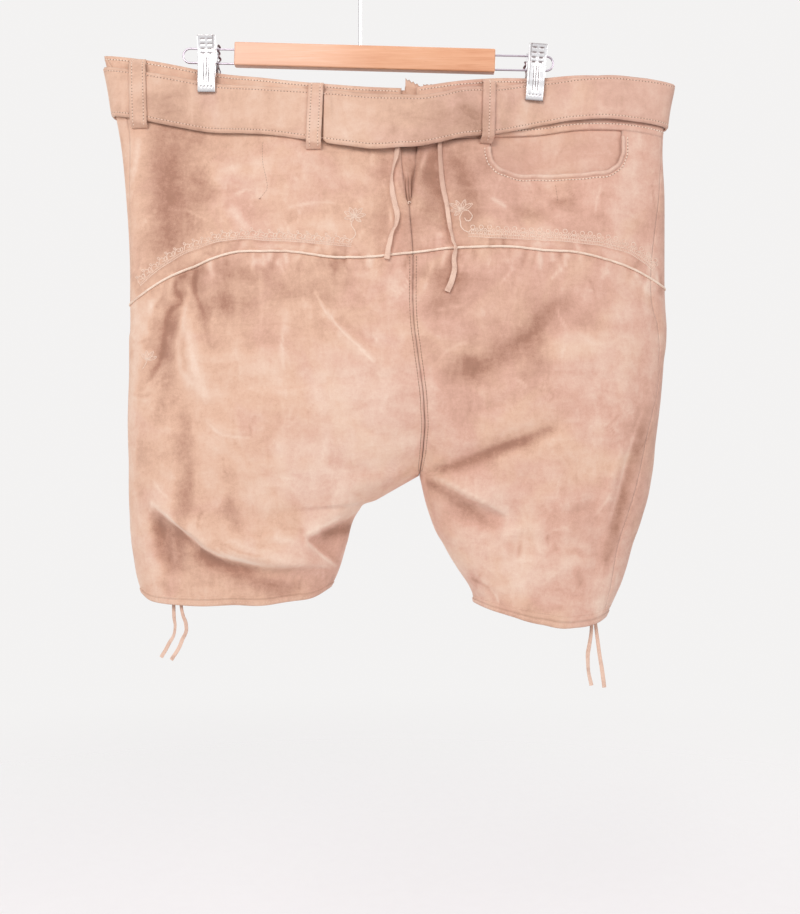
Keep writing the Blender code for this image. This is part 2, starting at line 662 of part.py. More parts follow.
def belt_stations():
    """The strap's way round the waist from the buckle: side names, angles, run and weighted run."""
    quarter = np.linspace(-np.pi / 2, np.pi / 2, 360)
    legs = (("left", quarter), ("right", quarter[::-1]), ("left", quarter))
    sides = np.repeat([side for side, _ in legs], len(quarter))
    angles = np.concatenate([turn for _, turn in legs])
    run, weighted = spacing_run(np.concatenate([HALVES[side].point(turn, BELT_LEVEL) for side, turn in legs]))
    once_round = run[2 * len(quarter) - 1]
    keep = run <= once_round + BELT_OVERLAP
    return sides[keep], angles[keep], run[keep], weighted[keep], once_round


def waist_point(side, angle, z):
    """Points of the outer face at an angle and a height."""
    half = HALVES[side]
    low = np.zeros_like(angle)
    high = np.full_like(angle, half.level["yoke"])
    for _ in range(36):
        middle = 0.5 * (low + high)
        above = half.point(angle, middle)[..., 2] > z
        low = np.where(above, middle, low)
        high = np.where(above, high, middle)
    return half.point(angle, 0.5 * (low + high))


def level_normal(side, angle, z):
    """The cloth's outward direction in a level plane."""
    step = 0.02
    run = waist_point(side, angle + step, z) - waist_point(side, angle - step, z)
    turn = 1.0 if side == "left" else -1.0
    normal = np.stack([-run[..., 1] * turn, run[..., 0] * turn, np.zeros_like(angle)], axis=-1)
    return -normal / np.linalg.norm(normal, axis=-1, keepdims=True)


def belt_layout(across, down, stand_off):
    """The strap laid out from the buckle round the waist and over its own start."""
    sides, angles, run, weighted, once_round = belt_stations()
    nearest = np.clip(np.searchsorted(weighted, across * weighted[-1]), 0, len(run) - 1)
    ramp = np.clip((run[nearest] - once_round + BELT_RAMP) / BELT_RAMP + 0.25, 0.0, 1.0)
    second_layer = (BELT_SUEDE + LAID_ON) * ramp * ramp * (3.0 - 2.0 * ramp)
    spots = np.zeros((len(across), 3))
    for side in HALVES:
        chosen = sides[nearest] == side
        angle = angles[nearest][chosen]
        x = HALVES[side].point(angle, BELT_LEVEL)[..., 0]
        z = BELT_TOP(x) + (BELT_BOTTOM(x) - BELT_TOP(x)) * down[chosen]
        lift = BELT_STAND_OFF(x) + second_layer[chosen] + stand_off
        spots[chosen] = waist_point(side, angle, z) + level_normal(side, angle, z) * lift[:, None]
    return spots


def make_belt():
    """The strap."""
    cloth_wall("belt", BELT_STEPS, 1, belt_layout, BELT_FINISH, 0.0, BELT_SUEDE)


def loop_layout(loop, layers):
    """A loop that is sewn to the waistband above and below the strap and passes over it."""

    def place(across, down, stand_off):
        x = loop.x_top + (loop.x_bottom - loop.x_top) * down + (across - 0.5) * loop.width
        z = loop.z_top + (loop.z_bottom - loop.z_top) * down
        over_belt = BELT_STAND_OFF(x) + layers * (BELT_SUEDE + LAID_ON + LOOP_LIFT) + LAID_ON
        from_top = (loop.z_top - z) / (loop.z_top - BELT_TOP(x) - LOOP_CLEARANCE)
        from_foot = (z - loop.z_bottom) / (BELT_BOTTOM(x) - LOOP_CLEARANCE - loop.z_bottom)
        rise = np.clip(np.minimum(from_top, from_foot), 0.0, 1.0)
        return on_cloth(loop.face, x, z, stand_off + LAID_ON + (over_belt - LAID_ON) * rise)

    return place


def make_belt_loops():
    """Loops on the waistband and the strap's own keeper."""
    for loop in BELT_LOOPS:
        cloth_wall(loop.name, 2, LOOP_ROWS, loop_layout(loop, 1), BELT_FINISH, 0.0, TRIM_SUEDE)
    cloth_wall(KEEPER.name, 2, LOOP_ROWS, loop_layout(KEEPER, 2), BELT_FINISH, 0.0, TRIM_SUEDE)


def make_buckle():
    """A plain frame and prong that lie on the strap at the centre front."""
    size = BUCKLE
    middle_z = float(BELT_TOP(size["x"]) + BELT_BOTTOM(size["x"])) / 2.0
    outline = []
    for quarter, (sign_x, sign_z) in enumerate(((1, 1), (-1, 1), (-1, -1), (1, -1))):
        for step in range(4):
            turn = math.radians(90.0 * quarter + 30.0 * step)
            x = size["x"] + sign_x * (size["half_width"] - size["corner"]) + size["corner"] * math.cos(turn)
            z = middle_z + sign_z * (size["half_height"] - size["corner"]) + size["corner"] * math.sin(turn)
            outline.append((x, z))
    over_strap = float(BELT_STAND_OFF(size["x"])) + 2 * BELT_SUEDE + 3 * LAID_ON
    stand_off = np.full(len(outline), over_strap + size["wire"])
    ring = on_cloth("front", [x for x, _ in outline], [z for _, z in outline], stand_off)
    frame = tube("buckle_frame", ring, size["wire"], BUCKLE_FINISH)
    frame.data.splines[0].use_cyclic_u = True
    stops = np.array([size["half_width"], 0.0, -size["half_width"] - 3.0])
    over_frame = over_strap + 2 * size["wire"] + size["prong"] + SEAM_GAP
    prong = on_cloth("front", size["x"] + stops, np.full(3, middle_z), np.full(3, over_frame))
    tube("buckle_prong", prong, size["prong"], BUCKLE_FINISH)


# ---------------------------------------------------------------- pieces on the back

def make_tongue():
    """The gusset behind the laced slit, with its pinked top standing over the waistband."""
    size = TONGUE

    def place(across, down, stand_off):
        x = size["x_left"] + (size["x_right"] - size["x_left"]) * across
        tooth = TONGUE_TOOTH * np.abs(np.mod(across * TONGUE_TEETH, 1.0) * 2.0 - 1.0)
        top = np.where(x < size["x_step"], size["z_high"], size["z_low"]) - tooth
        z = top + (size["z_foot"] - top) * down
        top_line = HALVES["left"].height(np.full_like(x, CENTRE_X - 1.0), np.zeros_like(x))
        on_band = np.minimum(z, top_line - 0.5)
        spots = on_cloth("back", x, on_band, np.full_like(x, stand_off))
        spots[:, 2] = z
        return spots

    outer = -(BAND_SUEDE + 3 * LAID_ON)
    cloth_wall("lacing_tongue", 14, 5, place, SUEDE_FINISH, outer - TRIM_SUEDE, outer)


def pocket_edge_curve():
    """The pocket mouth's edge as a smooth line of x and z."""
    return smooth_route([(point.x, point.z) for point in POCKET_EDGE], 6.0)


def pocket_cutter(edge):
    """A prism through the back of the garment, with the pocket mouth's outline."""
    above = 14.0
    outline = [(edge[0][0], edge[0][1] + above)] + [tuple(p) for p in edge] + [(edge[-1][0], edge[-1][1] + above)]
    shape = bmesh.new()
    corners = [shape.verts.new((x * MM, 0.0, z * MM)) for x, z in outline]
    shape.faces.new(corners)
    raised = bmesh.ops.extrude_face_region(shape, geom=shape.faces[:])["geom"]
    far = [vertex for vertex in raised if isinstance(vertex, bmesh.types.BMVert)]
    bmesh.ops.translate(shape, verts=far, vec=(0.0, -2.0 * POCKET_CUT_DEPTH * MM, 0.0))
    bmesh.ops.recalc_face_normals(shape, faces=shape.faces)
    solid = bpy.data.meshes.new("pocket_mouth_cutter")
    shape.to_mesh(solid)
    shape.free()
    cutter = bpy.data.objects.new("pocket_mouth_cutter", solid)
    cutters = bpy.data.collections.new("cutters")
    bpy.context.scene.collection.children.link(cutters)
    cutters.objects.link(cutter)
    cutter.hide_render = True
    cutter.display_type = "WIRE"
    return cutter


def cut_pocket_mouth(edge):
    """Cut the scooped mouth in the right yoke."""
    cut = bpy.data.objects["yoke_right"].modifiers.new("pocket mouth", "BOOLEAN")
    cut.operation = "DIFFERENCE"
    cut.object = pocket_cutter(edge)


def below_waist(x):
    """Height at which the pocket's pieces end under the waist seam."""
    return HALVES["right"].height(x, np.ones_like(x)) - BELOW_WAIST


def make_pocket_facing():
    """The suede seen inside the mouth, behind the yoke."""
    left, right = POCKET_EDGE[0].x - POCKET_FACING_MARGIN, POCKET_EDGE[-1].x + POCKET_FACING_MARGIN
    foot = min(point.z for point in POCKET_EDGE) - POCKET_FACING_MARGIN

    def place(across, down, stand_off):
        x = left + (right - left) * across
        waist = below_waist(x)
        z = waist + (foot - waist) * down
        return on_cloth("back", x, z, np.full_like(x, stand_off))

    outer = -(SUEDE + LAID_ON + POCKET_FACING_DROP)
    cloth_wall("pocket_facing", 10, 4, place, SUEDE_FINISH, outer - TRIM_SUEDE, outer)


def make_pocket_rim(edge):
    """The rolled rim along the mouth's edge."""
    run = np.gradient(edge, axis=0)
    run /= np.linalg.norm(run, axis=1, keepdims=True)
    outward = np.stack([run[:, 1], -run[:, 0]], axis=1)
    steps = len(edge) - 1

    def place(across, down, stand_off):
        knot = np.rint(across * steps).astype(int)
        spot = edge[knot] + outward[knot] * (POCKET_RIM_WIDTH * down - POCKET_RIM_INSIDE)[:, None]
        z = np.minimum(spot[:, 1], below_waist(spot[:, 0]))
        return on_cloth("back", spot[:, 0], z, np.full_like(across, stand_off))

    low = LAID_ON + POCKET_RIM_LIFT
    cloth_wall("pocket_rim", steps, 1, place, BELT_FINISH, low, low + TRIM_SUEDE)


def make_back_laces():
    """Ties of the centre back slit."""
    for name, stops in BACK_TIES.items():
        route = smooth_route([(stop.x, stop.z, stop.stand_off) for stop in stops], TIE_STEP)
        tube(name, on_cloth("back", route[:, 0], route[:, 1], route[:, 2]), TIE_RADIUS, CREAM_FINISH)


def make_leg_laces():
    """Ties that hang from the hems."""
    for name, stops in LEG_TIES.items():
        tube(name, smooth_route(stops, TIE_STEP), LEG_TIE_RADIUS, CREAM_FINISH)


# ---------------------------------------------------------------- pieces on the front

def make_flap():
    """The drop front and its two buttons."""
    size = FLAP
    middle = 0.5 * (size["x_left"] + size["x_right"])
    half = 0.5 * (size["x_right"] - size["x_left"])

    def place(across, down, stand_off):
        side = across * 2.0 - 1.0
        x = middle + half * side * (1.0 - size["taper"] * down ** 2)
        rounding = size["corner"] * np.abs(side) ** 6
        foot = size["z_foot"] + rounding
        z = size["z_top"] + (foot - size["z_top"]) * down
        return on_cloth("front", x, z, np.full_like(x, stand_off))

    cloth_wall("front_flap", 12, 9, place, SUEDE_FINISH, FLAP_LIFT, FLAP_LIFT + SUEDE)
    for number, (x, z) in enumerate(BUTTON_PLACES, start=1):
        stand_off = FLAP_LIFT + SUEDE + LAID_ON + BUTTON_CLEARANCE + BUTTON_THICKNESS / 2.0
        spot = on_cloth("front", [x], [z], np.array([stand_off]))[0]
        make_button(f"flap_button_{number}", spot)


def make_button(name, spot):
    """A turned button with a dished face, its axis along Y."""
    profile = [(BUTTON_RADIUS - 1.0, 0.5), (BUTTON_RADIUS, 0.1), (BUTTON_RADIUS - 1.2, -0.5)]
    shape = bmesh.new()
    rim = [shape.verts.new((radius * MM, 0.0, height * BUTTON_THICKNESS * MM)) for radius, height in profile]
    top = shape.verts.new((0.0, 0.0, 0.25 * BUTTON_THICKNESS * MM))
    inner = shape.verts.new(((BUTTON_RADIUS - 3.0) * MM, 0.0, 0.28 * BUTTON_THICKNESS * MM))
    foot = shape.verts.new((0.0, 0.0, -0.5 * BUTTON_THICKNESS * MM))
    line = [top, inner] + rim + [foot]
    edges = [shape.edges.new(pair) for pair in zip(line, line[1:])]
    bmesh.ops.spin(shape, geom=line + edges, axis=(0, 0, 1), cent=(0, 0, 0), angle=2 * math.pi,
                   steps=16, use_merge=True)
    bmesh.ops.remove_doubles(shape, verts=shape.verts, dist=0.00001)
    bmesh.ops.recalc_face_normals(shape, faces=shape.faces)
    button = finish_mesh(name, shape, HORN_FINISH)
    button.rotation_euler = (math.radians(-90.0), 0.0, 0.0)
    button.location = [value * MM for value in spot]


# ---------------------------------------------------------------- hanger

def tilted(point):
    """A point of the hanger after the bar has tipped about its own middle."""
    x, y, z = point
    dx, dz = x - BAR_CENTRE[0], z - BAR_CENTRE[2]
    cosine, sine = math.cos(HANGER_TILT), math.sin(HANGER_TILT)
    return (BAR_CENTRE[0] + dx * cosine + dz * sine, y, BAR_CENTRE[2] - dx * sine + dz * cosine)


def make_bar():
    """The wooden bar."""
    shape = bmesh.new()
    bmesh.ops.create_cube(shape, size=1.0)
    bmesh.ops.scale(shape, vec=(BAR_LENGTH * MM, BAR_DEPTH * MM, BAR_HEIGHT * MM), verts=shape.verts)
    bmesh.ops.bevel(shape, geom=shape.edges[:], offset=BAR_CORNER * MM, segments=2, profile=0.5,
                    affect="EDGES", material=-1)
    bar = finish_mesh("hanger_bar", shape, WOOD_FINISH)
    bar.location = [value * MM for value in BAR_CENTRE]
    bar.rotation_euler = (0.0, HANGER_TILT, 0.0)


def make_wires():
    """A hairpin of wire out of each end of the bar."""
    for side, sign in (("left", -1.0), ("right", 1.0)):
        root = BAR_CENTRE[0] + sign * (BAR_LENGTH / 2.0 + SEAM_GAP)
        bend = WIRE_ENDS[side] - sign * WIRE_SPREAD
        middle = BAR_CENTRE[2]
        line = [(root, 0.0, middle + WIRE_SPREAD)]
        line += [(bend + sign * WIRE_SPREAD * math.sin(math.radians(turn)), 0.0,
                  middle + WIRE_SPREAD * math.cos(math.radians(turn))) for turn in range(0, 181, 20)]
        line += [(root, 0.0, middle - WIRE_SPREAD)]
        tube(f"hanger_wire_{side}", [tilted(point) for point in line], WIRE_RADIUS, STEEL_FINISH)


def make_hook():
    """The hook, with the inside of its crown at the origin."""
    middle_z = -(HOOK_RADIUS - HOOK_WIRE)
    foot = tilted((0.0, 0.0, BAR_CENTRE[2] + BAR_HEIGHT / 2.0))[2] + SEAM_GAP
    turns = [HOOK_START + HOOK_OPENING * step / HOOK_STEPS for step in range(HOOK_STEPS + 1)]
    line = [(HOOK_RADIUS * math.sin(turn), 0.0, middle_z + HOOK_RADIUS * math.cos(turn)) for turn in turns]
    reach, _, neck_z = line[-1]
    line += [(reach * share, 0.0, neck_z - drop) for share, drop in HOOK_NECK_STOPS]
    line += [(0.0, 0.0, neck_z - HOOK_NECK), (0.0, 0.0, foot)]
    tube("hanger_hook", line, HOOK_WIRE, STEEL_FINISH)


def make_clips():
    """Two sprung clips: a bent sheet jaw on each side of the cloth and a pivot pin."""
    for clip in CLIPS:
        for face, sign in (("back", -1.0), ("front", 1.0)):

            def place(across, down, stand_off, clip=clip, sign=sign):
                spots = np.zeros((len(across), 3))
                levels = np.rint(down * (len(JAW) - 1)).astype(int)
                half = CLIP_WIDTH / 2.0 + stand_off
                for number, level in enumerate(JAW):
                    chosen = levels == number
                    corner = np.rint(across[chosen] * 3).astype(int)
                    inset = np.array([level.flange, -stand_off, -stand_off, level.flange])[corner]
                    spots[chosen, 0] = clip.x + np.array([-half, -half, half, half])[corner]
                    spots[chosen, 1] = sign * (level.outer - inset)
                    spots[chosen, 2] = clip.z_wire + level.z
                return spots

            cloth_wall(f"clip_{clip.name}_jaw_{face}", 3, len(JAW) - 1, place, STEEL_FINISH, -CLIP_SHEET, 0.0)
        reach = CLIP_WIDTH / 2.0 - CLIP_SHEET - SEAM_GAP
        pin = [(clip.x + step * reach, 0.0, clip.z_wire) for step in (-1, 1)]
        tube(f"clip_{clip.name}_pivot", pin, PIVOT_RADIUS, STEEL_FINISH)


def main():
    """Model the part."""
    clear_scene()
    make_panels()
    make_piping()
    make_hem_bands()
    make_belt()
    make_belt_loops()
    make_buckle()
    make_tongue()
    edge = pocket_edge_curve()
    cut_pocket_mouth(edge)
    make_pocket_facing()
    make_pocket_rim(edge)
    make_back_laces()
    make_leg_laces()
    make_flap()
    make_bar()
    make_wires()
    make_hook()
    make_clips()


if __name__ == "__main__":
    main()
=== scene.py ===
"""Looks of suede lederhosen that hang by the waistband from a wooden clip hanger.

Tables are in millimetres and meshes in metres. +Z is up, the garment's back faces -Y, and the origin
is the place in the hook that rests on a rail. The garment's shell is worked out from level sections:
each half has a table of them from the waistband's top to the hem, and a place on a section is an
angle, positive on the back, 0 on the side fold and negative on the front.
"""

import logging
import math
from collections.abc import Callable, Iterable, Sequence
from dataclasses import dataclass, field, replace
from enum import Enum

import bmesh
import bpy
import numpy as np
from mathutils import Matrix, Vector


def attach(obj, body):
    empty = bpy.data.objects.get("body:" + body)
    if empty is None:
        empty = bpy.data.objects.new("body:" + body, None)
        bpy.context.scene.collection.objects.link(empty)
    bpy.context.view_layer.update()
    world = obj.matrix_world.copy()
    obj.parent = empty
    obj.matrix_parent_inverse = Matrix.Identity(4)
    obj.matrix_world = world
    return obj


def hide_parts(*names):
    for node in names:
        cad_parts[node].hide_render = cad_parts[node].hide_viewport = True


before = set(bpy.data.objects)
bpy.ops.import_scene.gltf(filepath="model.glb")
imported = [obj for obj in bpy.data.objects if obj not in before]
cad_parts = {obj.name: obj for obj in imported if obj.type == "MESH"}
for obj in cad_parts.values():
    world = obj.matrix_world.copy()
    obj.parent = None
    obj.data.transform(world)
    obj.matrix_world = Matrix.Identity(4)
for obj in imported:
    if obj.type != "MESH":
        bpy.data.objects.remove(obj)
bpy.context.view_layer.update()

LOG = logging.getLogger("lederhosen")
MM = 0.001
Array = np.ndarray
Colour = tuple[float, float, float]
Material = bpy.types.Material
Mesh = bpy.types.Mesh
Shape = bmesh.types.BMesh
Piece = bpy.types.Object


class Side(Enum):
    """The garment's halves, as seen from behind."""

    LEFT = "left"
    RIGHT = "right"


class Face(Enum):
    """The garment's two faces."""

    BACK = "back"
    FRONT = "front"


# --- sizes

SUEDE = 1.8
BAND_SUEDE = 2.2
TRIM_SUEDE = 1.4
BELT_SUEDE = 3.6
SEAM_GAP = 0.3
CLOSED_GAP = 0.05
LAID_ON = 0.6
HELD_DEPTH = 4.6
CLIP_REACH = 48.0
CENTRE_X = 50.0
TO_BACK = np.array([0.0, -1.0, 0.0])


@dataclass(frozen=True)
class Section:
    """One level section of a half: its inner edge, its side fold, how far it hangs below a straight
    line at its quarters, its depths, the squareness of its fold and the side seam's inset."""

    name: str
    x_in: float
    z_in: float
    x_out: float
    z_out: float
    dip1: float
    dip2: float
    dip3: float
    back: float
    front: float
    edge: float
    seam: float


SECTIONS: dict[Side, tuple[Section, ...]] = {
    Side.LEFT: (
        Section("top", 50, -143, -263, -106, 5, 5.5, 2, 17, 19, 0.70, 3),
        Section("waist", 50, -199, -252, -161, 6, 6, 4.5, 27, 26, 0.72, 14),
        Section("yoke_mid", 50, -257, -240, -253, 2, 0, -3, 37, 32, 0.78, 5),
        Section("yoke", 54, -315, -236, -362, -7, -25.5, -24, 46, 38, 0.82, 2),
        Section("seat_high", 54, -367, -237, -397, -4, -14, -14, 52, 42, 0.84, 2),
        Section("seat", 58, -409, -237, -433, -2, -7, -8, 57, 44, 0.85, 2),
        Section("seat_low", 62, -439, -238, -464, 0, -3, -4, 58, 45, 0.85, 2),
        Section("above_crotch", 65, -471, -238, -495, 0, 0, 0, 57, 45, 0.85, 2),
        Section("crotch_curve", 65, -501, -237, -523, 0, 0, 0, 55, 45, 0.85, 2),
        Section("crotch", 61, -537, -237, -552, 0, 0, 0, 51, 44, 0.85, 2),
        Section("thigh", 19, -561, -236, -578, 0, 0, 0, 48, 43, 0.85, 2),
        Section("knee_high", -1, -573, -235, -598, 0, 0, 0, 45, 42, 0.85, 2),
        Section("knee_low", -13, -606, -232, -621, 3, 2, 1, 42, 41, 0.85, 2),
        Section("hem_high", -21, -632, -228, -645, 7, 6, 4, 39, 39, 0.85, 2),
        Section("hem", -30, -649, -224, -662, 12, 10.5, 8, 37, 37, 0.85, 2),
    ),
    Side.RIGHT: (
        Section("top", 50, -143, 319.5, -136, -8, -10.5, -8.5, 17, 19, 0.70, 2),
        Section("waist", 50, -199, 311.5, -191, -2, -7, -7.5, 27, 26, 0.72, 2),
        Section("yoke_mid", 50, -257, 313, -253, -2, -4, -4, 37, 32, 0.78, 8),
        Section("yoke", 54, -315, 313, -346, -13.5, -18.5, -18, 46, 38, 0.82, 18),
        Section("seat_high", 54, -367, 315, -388, -4, -9, -9, 52, 42, 0.84, 13),
        Section("seat", 58, -409, 312, -420, -2, -5, -5, 57, 44, 0.85, 8),
        Section("seat_low", 62, -439, 310, -445, 0, -2, -2, 58, 45, 0.85, 7),
        Section("above_crotch", 65, -471, 307, -473, 0, 0, 0, 57, 45, 0.85, 11),
        Section("crotch_curve", 65, -501, 303, -504, 0, 0, 0, 55, 45, 0.85, 15),
        Section("crotch", 61, -537, 299, -540, 0, 0, 0, 51, 44, 0.85, 19),
        Section("thigh", 72, -579, 290, -578, 0, 0, 0, 48, 43, 0.85, 21),
        Section("knee_high", 86, -608, 280, -607, 0, 0, 0, 45, 42, 0.85, 20),
        Section("knee_low", 100, -632, 272.5, -634, 2, 3, 3, 42, 41, 0.85, 17),
        Section("hem_high", 113, -652, 262.5, -660, 5, 8, 8, 39, 39, 0.85, 12),
        Section("hem", 117, -666, 252.5, -682, 7, 12, 11, 37, 37, 0.85, 8),
    ),
}


@dataclass(frozen=True)
class Fold:
    """A broad ridge (rise > 0) or hollow along a straight line, with its width to each side."""

    face: Face
    x0: float
    z0: float
    x1: float
    z1: float
    above: float
    below: float
    rise: float


@dataclass(frozen=True)
class Crease:
    """A narrower ridge or trough along a curved line, which fades out at its ends."""

    face: Face
    stops: tuple[tuple[float, float], ...]
    above: float
    below: float
    rise: float


def of_face(kind: type, face: Face, *rows: tuple[object, ...]) -> tuple[object, ...]:
    """The rows of one face's table.

    Args:
        kind: what each row describes.
        face: the face that they all lie on.
        rows: the other columns, in the kind's own order.
    Returns:
        One fold, crease or stain for each row.
    """
    return tuple(kind(face, *row) for row in rows)


# Each row: x and z of both ends, the widths above and below, and the rise.
FOLDS = of_face(
    Fold, Face.BACK,
    (-163, -330, -200, -412, 15, 15, -9),
    (-194, -402, -219, -452, 12, 14, -6),
    (-178, -372, -152, -468, 15, 15, 5),
    (-212, -560, -128, -616, 24, 10, 10),
    (-142, -608, -18, -632, 22, 9, 10),
    (-200, -574, -190, -640, 13, 13, -9),
    (-55, -598, 8, -566, 18, 9, 9),
    (-48, -614, 2, -590, 11, 18, -10),
    (76, -541, 138, -570, 24, 12, 8),
    (84, -564, 146, -592, 14, 22, -6),
    (68, -536, 220, -478, 12, 10, -5),
    (84, -438, 200, -374, 26, 22, -5),
) + of_face(
    Fold, Face.FRONT,
    (-205, -500, -70, -590, 22, 14, 8),
    (-190, -350, -120, -440, 20, 20, -7),
    (265, -520, 150, -600, 14, 22, 8),
    (260, -330, 200, -430, 20, 20, -7),
    (45, -520, -40, -470, 9, 12, -5),
    (80, -520, 160, -468, 12, 9, -5),
)

